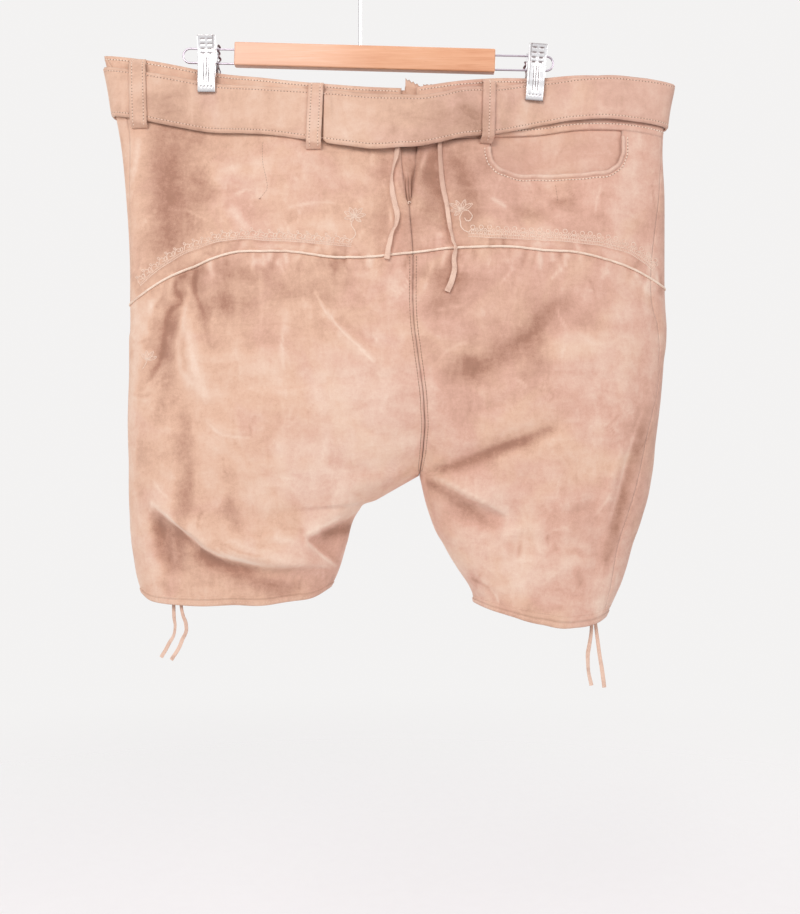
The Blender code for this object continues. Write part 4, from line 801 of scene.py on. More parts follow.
    def puckers(self, rng: np.random.Generator) -> list[Crease]:
        """Short gathers that hang from the piped seam, and a few that stand on it.

        Args:
            rng: the source of their places.
        Returns:
            The lines.
        """
        line = np.array(PUCKER_LINE, float)
        made = []
        for x in np.sort(rng.uniform(line[0, 0], line[-1, 0], PUCKER_COUNT)):
            z = float(np.interp(x, line[:, 0], line[:, 1]))
            down = -1.0 if rng.uniform() < 0.75 else 1.0
            reach, lean, width = rng.uniform(7.0, 22.0), rng.normal(0.0, 0.35), rng.uniform(1.6, 3.6)
            stops = tuple((x + lean * share * reach, z + down * (2.0 + share * reach))
                          for share in (-0.4, 0.4, 1.0))
            rise = float(rng.choice([-1.0, 1.0]) * rng.uniform(0.4, 1.0))
            made.append(Crease(self.face, stops, width, width, rise))
        return made

    def stains(self, rng: np.random.Generator, x: Array, z: Array) -> Array:
        """Soft darker and lighter patches, with uneven outlines.

        Args:
            rng: the source of their outlines.
            x: the grid's x.
            z: the grid's z.
        Returns:
            Tones on the grid.
        """
        drift = []
        for _ in range(2):
            sway = np.zeros_like(x)
            for wave in (70.0, 41.0, 23.0, 12.0):
                heading, phase = rng.uniform(0.0, math.pi), rng.uniform(0.0, 2.0 * math.pi)
                turn = (x * math.cos(heading) + z * math.sin(heading)) * 2.0 * math.pi / wave
                sway += wave * 0.13 * np.sin(turn + phase)
            drift.append(sway)
        total = np.zeros_like(x)
        for stain in STAINS:
            if stain.face is self.face:
                across = (x + drift[0] - stain.x) / stain.radius_x
                up = (z + drift[1] - stain.z) / stain.radius_z
                total += stain.tone * np.exp(-across ** 2 - up ** 2)
        return total


class Half:
    """The plain shell of the left or right half, as a function of angle and level."""

    def __init__(self, side: Side) -> None:
        """Make a smooth column of each of the table's columns.

        Args:
            side: which half.
        """
        rows = SECTIONS[side]
        self.side = side
        self.level = {row.name: float(number) for number, row in enumerate(rows)}
        self.last = float(len(rows) - 1)
        self.corner_lift, self.corner_drop = (6.0, 4.2) if side is Side.LEFT else (2.0, 0.5)
        crotch = int(self.level["crotch"])
        names = [name for name in Section.__dataclass_fields__ if name != "name"]
        self.columns = {
            name: Profile(range(len(rows)), [getattr(row, name) for row in rows],
                          corner=crotch if name in ("x_in", "z_in") else None)
            for name in names
        }
        quarters = (0.0, 0.25, 0.5, 0.75, 1.0)
        self.dips = [Profile(quarters, [float(at == peak) for at in quarters]) for peak in quarters[1:4]]

    def start_angle(self, level: Array) -> Array:
        """Angle of the inner edge: a right angle on the seat, half a turn on the leg.

        Args:
            level: the section's level.
        Returns:
            The angle in radians.
        """
        first, last = self.level["seat_low"], self.level["crotch"]
        fall = np.clip((level - first) / (last - first), 0.0, 1.0)
        share = np.sqrt(1.0 - fall ** 2)
        return np.pi - np.arcsin(share ** (1.0 / self.columns["edge"](level)))

    def seam_angle(self, level: Array) -> Array:
        """Angle of the side seam."""
        inset = self.columns["seam"](level) / self.half_width(level)
        return np.arccos(np.clip(1.0 - inset, 0.0, 1.0) ** (1.0 / self.columns["edge"](level)))

    def half_width(self, level: Array) -> Array:
        """Distance from the section's middle to its side fold.

        Args:
            level: the section's level.
        Returns:
            The distance in millimetres.
        """
        width = self.columns["x_out"](level) - self.columns["x_in"](level)
        inner = np.abs(np.cos(self.start_angle(level))) ** self.columns["edge"](level)
        return np.abs(width) / (1.0 + inner)

    def height(self, x: Array, level: Array) -> Array:
        """Height of the section at this level over x.

        Args:
            x: where, across.
            level: the section's level.
        Returns:
            z in millimetres.
        """
        column = {name: curve(level) for name, curve in self.columns.items()}
        across = np.clip((x - column["x_in"]) / (column["x_out"] - column["x_in"]), 0.0, 1.0)
        z = column["z_in"] + (column["z_out"] - column["z_in"]) * across
        sag = [column[f"dip{number}"] * shape(across) for number, shape in enumerate(self.dips, start=1)]
        low = smooth_step((level - self.level["hem_high"] + 0.6) / 1.6)
        width = np.abs(column["x_out"] - column["x_in"])
        rounded = self.corner_lift * np.exp(-((1.0 - across) * width / 9.0) ** 2)
        full = self.corner_drop * np.exp(-((across * width - 16.0) / 16.0) ** 2)
        return z - sum(sag) + low * (rounded - full)

    def outline(self, angle: Array, level: Array) -> tuple[Array, Array, Array]:
        """The plain section.

        Args:
            angle: places round it, in radians.
            level: its levels.
        Returns:
            x, depth from the middle plane and z, before the folds.
        """
        edge = self.columns["edge"](level)
        outward = np.sign(self.columns["x_out"](level) - self.columns["x_in"](level))
        cosine = np.cos(angle)
        reach = self.half_width(level) * (1.0 - np.sign(cosine) * np.abs(cosine) ** edge)
        x = self.columns["x_out"](level) - outward * (reach - SEAM_GAP / 2.0)
        depth = np.abs(np.sin(angle)) ** edge * np.where(
            angle > 0.0, self.columns["back"](level), self.columns["front"](level))
        z = self.height(x, level)
        return x, self.held_flat(x, depth, 1.0 - level / self.level["yoke"]), z

    @staticmethod
    def held_flat(x: Array, depth: Array, hold: Array) -> Array:
        """Depth of the waist after the clips have drawn it flat.

        Args:
            x: where, across.
            depth: its free depth.
            hold: how much of the clips' pull is felt, from 0 to 1.
        Returns:
            The depth that is left.
        """
        hold = 1.0 - (1.0 - np.clip(hold, 0.0, 1.0)) ** 2
        hold = hold * hold * (3.0 - 2.0 * hold)
        for clip in CLIPS:
            share = hold * np.exp(-((x - clip.x) / CLIP_REACH) ** 2)
            depth = depth * (1.0 - share) + np.minimum(depth, HELD_DEPTH) * share
        return depth


class Shell:
    """Both halves of the garment with their folds, and what is needed to lay pieces on them."""

    def __init__(self) -> None:
        """Work out the halves, the relief and a depth map of each face."""
        self.halves = {side: Half(side) for side in Side}
        self.relief = {face: Relief(face) for face in Face}
        self.depths = {face: self.depth_map(face) for face in Face}

    def point(self, side: Side, angle: Array, level: Array, detailed: bool = True) -> Array:
        """Points of the outer face.

        Args:
            side: which half.
            angle: places round the section.
            level: levels of the section.
            detailed: whether the fine creases count.
        Returns:
            Rows of x, y, z in millimetres.
        """
        angle, level = np.broadcast_arrays(np.asarray(angle, float), np.asarray(level, float))
        angle = np.mod(angle + np.pi, 2.0 * np.pi) - np.pi
        x, depth, z = self.halves[side].outline(angle, level)
        back = angle > 0.0
        calm = np.abs(np.sin(angle))
        ease = 0.25 + 0.75 * smooth_step(level - 0.6)
        faces = [self.rise(face, x, z, ease * detailed) for face in Face]
        rise = np.where(back, *faces)
        depth = depth + calm * rise
        return np.stack([x, np.where(back, -depth, depth), z], axis=-1)

    def rise(self, face: Face, x: Array, z: Array, ease: Array) -> Array:
        """How far folds and eased creases raise a face."""
        relief = self.relief[face]
        return GRID.sample(relief.folds, x, z) + ease * GRID.sample(relief.detail, x, z)

    def lifted(self, side: Side, angle: Array, level: Array, stand_off: Array | float,
               detailed: bool = True) -> tuple[Array, Array]:
        """Points that stand off one half's outer face.

        Args:
            side: which half.
            angle: places round the section.
            level: levels of the section.
            stand_off: distance from the outer face, outwards.
            detailed: whether the fine creases count.
        Returns:
            The points and the outward normals.
        """
        half = self.halves[side]
        angle, level = np.broadcast_arrays(np.asarray(angle, float), np.asarray(level, float))
        turn, drop = 0.006, 0.03
        ahead = self.point(side, angle + turn, level, detailed)
        along = ahead - self.point(side, angle - turn, level, detailed)
        up, down = np.maximum(level - drop, 0.0), np.minimum(level + drop, half.last)
        downwards = self.point(side, angle, down, detailed) - self.point(side, angle, up, detailed)
        normal = np.cross(along, downwards)
        normal /= np.maximum(np.linalg.norm(normal, axis=-1, keepdims=True), 1e-9)
        normal *= -1.0 if side is Side.LEFT else 1.0
        height = np.broadcast_to(np.asarray(stand_off, float), angle.shape)[..., None]
        return self.point(side, angle, level, detailed) + normal * height, normal

    def depth_map(self, face: Face) -> Array:
        """Distance of a face from the middle plane, on the grid.

        Args:
            face: the back or the front.
        Returns:
            The distance in each cell.
        """
        x, z = GRID.axes()
        total = np.zeros_like(x)
        for side, half in self.halves.items():
            chosen = (x < CENTRE_X) if side is Side.LEFT else (x >= CENTRE_X)
            columns = np.where(chosen.any(axis=0))[0]
            levels = np.linspace(0.0, half.last, 225)
            level = np.zeros_like(x)
            for column in columns:
                heights = half.height(np.full_like(levels, x[0, column]), levels)
                heights = np.minimum.accumulate(heights)
                level[:, column] = np.interp(z[:, column], heights[::-1], levels[::-1])
            width = half.half_width(level)
            x_out = half.columns["x_out"](level)
            outward = np.sign(x_out - half.columns["x_in"](level))
            cosine = 1.0 - np.clip((x_out - x) * outward / width, 0.0, 2.0)
            angle = np.arccos(np.sign(cosine) * np.abs(cosine) ** (1.0 / half.columns["edge"](level)))
            angle = np.maximum(angle, 0.001)
            here = self.point(side, angle if face is Face.BACK else -angle, level)
            total = np.where(chosen, np.abs(here[..., 1]), total)
        return total

    def on_face(self, face: Face, x: Array, z: Array, stand_off: Array | float) -> tuple[Array, Array]:
        """Points that stand off a face over x and z, along the cloth's normal.

        Args:
            face: the back or the front.
            x: where, across.
            z: where, up.
            stand_off: distance from the outer face.
        Returns:
            The points and the outward normals.
        """
        x, z = np.broadcast_arrays(np.asarray(x, float), np.asarray(z, float))
        depths = self.depths[face]
        outward = -1.0 if face is Face.BACK else 1.0
        step = 1.5
        slope_x = (GRID.sample(depths, x + step, z) - GRID.sample(depths, x - step, z)) / (2.0 * step)
        slope_z = (GRID.sample(depths, x, z + step) - GRID.sample(depths, x, z - step)) / (2.0 * step)
        normal = np.stack([-slope_x, np.full_like(x, outward), -slope_z], axis=-1)
        normal /= np.linalg.norm(normal, axis=-1, keepdims=True)
        here = np.stack([x, outward * GRID.sample(depths, x, z), z], axis=-1)
        height = np.broadcast_to(np.asarray(stand_off, float), x.shape)[..., None]
        return here + normal * height, normal

    def tones(self, points: Array) -> tuple[Array, Array]:
        """Painted fold shading, and the stains with their painted shading, at points.

        Args:
            points: rows of x, y, z in millimetres.
        Returns:
            The painted fold shading, from -1 in a trough to 1 on a ridge, and the stains with their painted
            shading.
        """
        back = points[..., 1] < 0.0
        pairs = []
        for name in ("shade", "stain"):
            read = {face: GRID.sample(getattr(self.relief[face], name), points[..., 0], points[..., 2])
                    for face in Face}
            pairs.append(np.where(back, read[Face.BACK], read[Face.FRONT]))
        return pairs[0], pairs[1]


# --- finishes

def arithmetic(operation: str, swap: bool = False) -> Callable[["Wire", "Wire | float"], "Wire"]:
    """An operator of a wire.

    Args:
        operation: the Math node's operation.
        swap: whether the other value comes first.
    Returns:
        The method that adds the node.
    """
    def apply(wire: "Wire", other: "Wire | float") -> "Wire":
        """Join the two values."""
        return wire.math(operation, other, swap)
    return apply


class Wire:
    """A node's output that takes part in ordinary arithmetic."""

    def __init__(self, paint: "Paint", socket: bpy.types.NodeSocket) -> None:
        """Keep the socket and the material that it belongs to."""
        self.paint = paint
        self.socket = socket

    def math(self, operation: str, other: "Wire | float", swap: bool = False) -> "Wire":
        """One Math node on this value and another.

        Args:
            operation: the node's operation.
            other: the second value.
            swap: whether the second value comes first.
        Returns:
            The result.
        """
        first, second = (other, self) if swap else (self, other)
        node = self.paint.node("ShaderNodeMath", {"operation": operation}, {0: first, 1: second})
        return Wire(self.paint, node.outputs[0])

    __add__, __radd__ = arithmetic("ADD"), arithmetic("ADD", swap=True)
    __sub__, __rsub__ = arithmetic("SUBTRACT"), arithmetic("SUBTRACT", swap=True)
    __mul__, __rmul__ = arithmetic("MULTIPLY"), arithmetic("MULTIPLY", swap=True)

    def eased(self, low: float, high: float) -> "Wire":
        """A soft rise from 0 to 1 while this value goes from low to high.

        Args:
            low: where the rise starts.
            high: where it ends.
        Returns:
            The wire of the result.
        """
        node = self.paint.node("ShaderNodeMapRange", {"interpolation_type": "SMOOTHSTEP"},
                               {"Value": self, "From Min": low, "From Max": high})
        return Wire(self.paint, node.outputs["Result"])

    def held(self) -> "Wire":
        """This value kept between 0 and 1."""
        node = self.paint.node("ShaderNodeClamp", {}, {"Value": self})
        return Wire(self.paint, node.outputs[0])


class Paint:
    """A material whose nodes are laid out in code."""

    def __init__(self, name: str) -> None:
        """Start a material with its one surface shader.

        Args:
            name: the material's name.
        """
        self.material = bpy.data.materials.new(name)
        self.material.use_nodes = True
        self.tree = self.material.node_tree
        self.shader = self.tree.nodes["Principled BSDF"]

    def node(self, kind: str, settings: dict[str, object],
             sockets: dict[str | int, object]) -> bpy.types.Node:
        """Add a node.

        Args:
            kind: the node's type.
            settings: its own settings, made first.
            sockets: its inputs, each a number, a colour or a wire.
        Returns:
            The node.
        """
        node = self.tree.nodes.new(kind)
        for name, value in settings.items():
            setattr(node, name, value)
        for key, value in sockets.items():
            self.plug(node.inputs[key], value)
        return node

    def plug(self, socket: bpy.types.NodeSocket, value: object) -> None:
        """Give an input a wire, a number or a colour.

        Args:
            socket: the input.
            value: what it gets.
        """
        if isinstance(value, Wire):
            self.tree.links.new(value.socket, socket)
        elif isinstance(value, tuple) and len(value) == 3 and socket.type == "RGBA":
            socket.default_value = (*value, 1.0)
        else:
            socket.default_value = value

    def place(self) -> Wire:
        """The point on the piece, in the object's own coordinates."""
        return Wire(self, self.node("ShaderNodeTexCoord", {}, {}).outputs["Object"])

    def stretched(self, scale: tuple[float, float, float], turn: float = 0.0) -> Wire:
        """The point with its axes scaled, for a pattern with a direction.

        Args:
            scale: the factor of each axis.
            turn: how far the pattern is turned first.
        Returns:
            The wire of the point.
        """
        node = self.node("ShaderNodeMapping", {}, {
            "Vector": self.place(), "Scale": scale, "Rotation": (0.0, turn, 0.0)})
        return Wire(self, node.outputs["Vector"])

    def noise(self, size: float, detail: float = 2.0, rough: float = 0.5, warp: float = 0.0,
              at: Wire | None = None) -> Wire:
        """Cloudy variation.

        Args:
            size: how large its patches are, in metres.
            detail: how many finer layers it has.
            rough: how strong those are.
            warp: how much it is distorted.
            at: where it is read, or the object's own place.
        Returns:
            A value about 0.5.
        """
        node = self.node("ShaderNodeTexNoise", {"noise_dimensions": "3D"}, {
            "Vector": at if at is not None else self.place(), "Scale": 1.0 / size, "Detail": detail,
            "Roughness": rough, "Distortion": warp})
        return Wire(self, node.outputs[0])

    def axis(self, name: str) -> Wire:
        """One of the place's coordinates."""
        return Wire(self, self.node("ShaderNodeSeparateXYZ", {}, {0: self.place()}).outputs[name])

    def attribute(self, name: str) -> Wire:
        """A number that the mesh carries."""
        node = self.node("ShaderNodeAttribute", {"attribute_type": "GEOMETRY", "attribute_name": name}, {})
        return Wire(self, node.outputs["Fac"])

    def mix(self, first: object, second: object, share: Wire | float) -> Wire:
        """A colour between two, by share of the second.

        Args:
            first: the colour at 0.
            second: the colour at 1.
            share: the share.
        Returns:
            The wire of the colour.
        """
        node = self.node("ShaderNodeMix", {"data_type": "RGBA"}, {0: share})
        self.plug(node.inputs[6], first)
        self.plug(node.inputs[7], second)
        return Wire(self, node.outputs[2])

    def bump(self, height: Wire, distance: float, strength: float = 1.0, under: Wire | None = None) -> Wire:
        """A normal raised by a height.

        Args:
            height: the height, from 0 to 1.
            distance: what 1 stands for, in metres.
            strength: how much of it shows.
            under: a normal to start from.
        Returns:
            The normal.
        """
        sockets: dict[str | int, object] = {"Height": height, "Distance": distance, "Strength": strength}
        if under is not None:
            sockets["Normal"] = under
        return Wire(self, self.node("ShaderNodeBump", {}, sockets).outputs["Normal"])

    def finish(self, **sockets: object) -> Material:
        """Set the surface shader's inputs and return the material.

        Args:
            sockets: the inputs by name, in small letters.
        Returns:
            The material.
        """
        for key, value in sockets.items():
            self.plug(self.shader.inputs[key.replace("_", " ").title().replace("Ior", "IOR")], value)
        return self.material


@dataclass(frozen=True)
class Suede:
    """Napped hide: clouded between peach and pink, brushed lighter and darker, with painted highlight on
    its ridges and painted shade in its troughs, creases and gaps.
    """

    name: str = "suede_nap"
    dark: Colour = (0.46, 0.242, 0.172)
    peach: Colour = (0.755, 0.480, 0.350)
    pink: Colour = (0.715, 0.425, 0.330)
    light: Colour = (0.89, 0.685, 0.560)
    mottle: float = 1.0
    nap: float = 0.0003
    sheen: float = 0.3
    deepest_stain_and_shade: Colour = (0.30, 0.152, 0.10)

    def material(self) -> Material:
        """The finish as a material.

        Returns:
            The material.
        """
        paint = Paint(self.name)
        broad = paint.noise(0.130, 2.0, 0.5, 0.5)
        patch = paint.noise(0.042, 4.0, 0.55, 0.8)
        brushed = paint.noise(0.016, 4.0, 0.6, 1.0, at=paint.stretched((1.0, 1.0, 0.35), 0.3))
        crossed = paint.noise(0.011, 3.0, 0.6, 0.6, at=paint.stretched((0.3, 1.0, 1.0), 0.5))
        grain = paint.noise(0.0036, 3.0, 0.65)
        nap = paint.noise(0.0010, 2.0, 0.6)
        blush = paint.noise(0.075, 3.0, 0.55, 0.7)
        shade = paint.attribute("fold_shade")
        stain = paint.attribute("stain")
        cloud = (broad - 0.5) * 0.4 + (patch - 0.5) * 0.62 + (brushed - 0.5) * 0.5 + (crossed - 0.5) * 0.42
        tone = 0.5 + cloud * self.mottle + (grain - 0.5) * 0.38 + (nap - 0.5) * 0.36
        # Painted shading: lighter on the folds' ridges and darker in their troughs; the stains add more
        # painted shading of folds and gathers.
        tone = tone + shade * 0.22 + stain * 0.82
        pinker = (blush + paint.axis("X") * 0.55 - 0.02).eased(0.36, 0.66)
        colour = paint.mix(self.peach, self.pink, pinker)
        colour = paint.mix(self.dark, colour, ((tone + 0.08) * 1.72).held())
        colour = paint.mix(colour, self.light, ((tone - 0.5) * 1.65).held())
        # The lowest tones, in dark stains and painted fold shadows, go towards the deepest colour.
        colour = paint.mix(colour, self.deepest_stain_and_shade, ((0.0 - tone) * 1.6).held())
        # Near-black painted shade where a piece carries it, in its gaps, pleats and folds and under edges;
        # the strap is also darker along its edges.
        colour = paint.mix(colour, (0.09, 0.045, 0.03), paint.attribute("groove").held())
        rubbed = paint.bump(patch * 0.4 + brushed * 0.4 + crossed * 0.2, 0.0010, 0.7)
        normal = paint.bump(grain * 0.6 + nap * 0.4, self.nap, 0.9, under=rubbed)
        return paint.finish(base_color=colour, roughness=(0.97 - shade * 0.05).held(), normal=normal,
                            sheen_weight=self.sheen, sheen_roughness=0.5, sheen_tint=(1.0, 0.90, 0.84),
                            specular_ior_level=0.16)


@dataclass(frozen=True)
class Cream:
    """Pale split leather of laces, piping and thread."""

    name: str = "cream_leather"
    dark: Colour = (0.70, 0.46, 0.34)
    light: Colour = (0.92, 0.74, 0.61)
    grain: float = 0.0011
    rise: float = 0.0002

    def material(self) -> Material:
        """The finish as a material.

        Returns:
            The material.
        """
        paint = Paint(self.name)
        patch = paint.noise(0.012, 3.0, 0.6, 0.5)
        grain = paint.noise(self.grain, 2.0, 0.6)
        tone = patch * 0.75 + grain * 0.35
        colour = paint.mix(self.dark, self.light, tone.eased(0.22, 0.66))
        # Laces are darker towards their start.
        colour = paint.mix(colour, self.dark, paint.attribute("groove").held())
        normal = paint.bump(grain * 0.6 + patch * 0.4, self.rise, 0.8)
        return paint.finish(base_color=colour, roughness=0.86 + (grain - 0.5) * 0.1, normal=normal,
                            sheen_weight=0.15, sheen_roughness=0.5, specular_ior_level=0.22)


@dataclass(frozen=True)
class Thread:
    """Twisted sewing thread."""

    name: str = "sewing_thread"
    dark: Colour = (0.80, 0.60, 0.47)
    light: Colour = (0.96, 0.82, 0.70)

    def material(self) -> Material:
        """The finish as a material.

        Returns:
            The material.
        """
        paint = Paint(self.name)
        strand = paint.noise(0.0016, 2.0, 0.6, 0.4)
        run = paint.noise(0.020, 1.0, 0.5)
        colour = paint.mix(self.dark, self.light, (strand * 0.7 + run * 0.45).eased(0.25, 0.75))
        normal = paint.bump(strand, 0.00025, 0.8)
        return paint.finish(base_color=colour, roughness=0.78 + (strand - 0.5) * 0.1, normal=normal,
                            sheen_weight=0.2, sheen_roughness=0.4, specular_ior_level=0.3)


@dataclass(frozen=True)
class Beech:
    """Stained beech with fine grain along the bar and a satin lacquer."""

    name: str = "beech_lacquered"
    dark: Colour = (0.69, 0.30, 0.155)
    middle: Colour = (0.81, 0.415, 0.24)
    light: Colour = (0.895, 0.555, 0.385)
    pale: Colour = (0.87, 0.54, 0.41)
    tilt: float = 0.027

    def material(self) -> Material:
        """The finish as a material.

        Returns:
            The material.
        """
        paint = Paint(self.name)
        run = paint.stretched((0.06, 1.0, 1.0), self.tilt)
        figure = paint.noise(0.006, 4.0, 0.6, 0.6, at=run)
        fibre = paint.noise(0.0011, 3.0, 0.65, 0.2, at=paint.stretched((0.03, 1.0, 1.0), self.tilt))
        rays = paint.noise(0.0018, 1.0, 0.5, 0.0, at=paint.stretched((0.22, 1.0, 1.0), self.tilt))
        broad = paint.noise(0.09, 1.0, 0.5)
        tone = figure * 0.55 + fibre * 0.4 + (broad - 0.5) * 0.35
        colour = paint.mix(self.dark, self.middle, tone.eased(0.24, 0.5))
        colour = paint.mix(colour, self.light, tone.eased(0.46, 0.72))
        colour = paint.mix(colour, self.dark, rays.eased(0.66, 0.78) * 0.35)
        colour = paint.mix(colour, self.pale, ((0.02 - paint.axis("X")) * 3.2).held())
        normal = paint.bump(fibre, 0.00012, 0.5)
        return paint.finish(base_color=colour, roughness=0.42 + (figure - 0.5) * 0.16, normal=normal,
                            coat_weight=0.25, coat_roughness=0.25, specular_ior_level=0.4)


@dataclass(frozen=True)
class Steel:
    """Plated metal with faint rubbing marks."""

    name: str = "bright_plating"
    light: Colour = (0.74, 0.735, 0.75)
    dull: Colour = (0.62, 0.61, 0.64)
    smooth: float = 0.28

    def material(self) -> Material:
        """The finish as a material.

        Returns:
            The material.
        """
        paint = Paint(self.name)
        haze = paint.noise(0.010, 3.0, 0.6, 0.4)
        rub = paint.noise(0.0009, 2.0, 0.6, 0.0, at=paint.stretched((1.0, 1.0, 0.15)))
        colour = paint.mix(self.light, self.dull, haze.eased(0.52, 0.8))
        # Painted shade and dark reflection in the clips' pressed pattern, along their edges and down one
        # side; the spring is drawn darker all over.
        colour = paint.mix(colour, (0.12, 0.06, 0.055), paint.attribute("groove").held())
        normal = paint.bump(rub, 0.00003, 0.15)
        return paint.finish(base_color=colour, metallic=1.0, normal=normal,
                            roughness=self.smooth + haze.eased(0.4, 0.8) * 0.14)


@dataclass(frozen=True)
class Brass:
    """Dull brass, darker where it is tarnished."""

    name: str = "dull_brass"
    light: Colour = (0.66, 0.50, 0.26)
    tarnish: Colour = (0.30, 0.21, 0.11)

    def material(self) -> Material:
        """The finish as a material.

        Returns:
            The material.
        """
        paint = Paint(self.name)
        haze = paint.noise(0.006, 3.0, 0.65, 0.5)
        fine = paint.noise(0.0008, 2.0, 0.6)
        colour = paint.mix(self.light, self.tarnish, haze.eased(0.45, 0.75))
        return paint.finish(base_color=colour, metallic=1.0, roughness=0.34 + haze.eased(0.4, 0.8) * 0.25,
                            normal=paint.bump(fine, 0.00008, 0.5))


@dataclass(frozen=True)
class Horn:
    """Polished horn with streaks."""

    name: str = "streaked_horn"
    dark: Colour = (0.10, 0.05, 0.025)
    light: Colour = (0.42, 0.27, 0.15)

    def material(self) -> Material:
        """The finish as a material.

        Returns:
            The material.
        """
        paint = Paint(self.name)
        streak = paint.noise(0.004, 4.0, 0.6, 1.2, at=paint.stretched((0.4, 1.0, 1.6), 0.5))
        colour = paint.mix(self.dark, self.light, streak.eased(0.32, 0.72))
        return paint.finish(base_color=colour, roughness=0.30 + (streak - 0.5) * 0.1,
                            normal=paint.bump(streak, 0.0001, 0.4), coat_weight=0.3, coat_roughness=0.12)


# --- making pieces

def made_of(finish: Suede | Cream | Thread | Beech | Steel | Brass | Horn) -> object:
    """A field that makes this finish's material when the looks are made."""
    return field(default_factory=finish.material)


@dataclass(frozen=True)
class Looks:
    """Every finish of the object, made once."""

    suede: Material = made_of(Suede())
    belt: Material = made_of(Suede(
        "belt_nap", (0.50, 0.29, 0.21), (0.735, 0.475, 0.35), (0.71, 0.44, 0.345), (0.86, 0.65, 0.53),
        1.15, 0.00045))
    lining: Material = made_of(Suede(
        "pocket_nap", (0.52, 0.29, 0.21), (0.73, 0.46, 0.34), (0.70, 0.42, 0.325), (0.86, 0.64, 0.52), 0.9))
    cream: Material = made_of(Cream())
    lace: Material = made_of(Cream(
        "lace_leather", (0.58, 0.35, 0.265), (0.83, 0.585, 0.465), 0.0014, 0.0003))
    thread: Material = made_of(Thread())
    vine: Material = made_of(Thread("embroidery_thread", (0.74, 0.51, 0.40), (0.88, 0.69, 0.57)))
    dark_thread: Material = made_of(Thread("seam_thread", (0.20, 0.10, 0.07), (0.40, 0.24, 0.18)))
    # Dark leather for the painted shade in the stitch holes.
    hole: Material = made_of(Cream("stitch_hole", (0.22, 0.12, 0.085), (0.34, 0.20, 0.145), 0.0006, 0.0001))
    beech: Material = made_of(Beech())
    steel: Material = made_of(Steel())
    # Darker copies of the plating for the hook, the wires and the springs, which paint their dark
    # reflections.
    hook: Material = made_of(Steel("hook_plating", (0.62, 0.60, 0.62), (0.50, 0.48, 0.50), 0.25))
    wire: Material = made_of(Steel("wire_plating", (0.50, 0.44, 0.50), (0.34, 0.29, 0.34), 0.3))
    brass: Material = made_of(Brass())
    horn: Material = made_of(Horn())


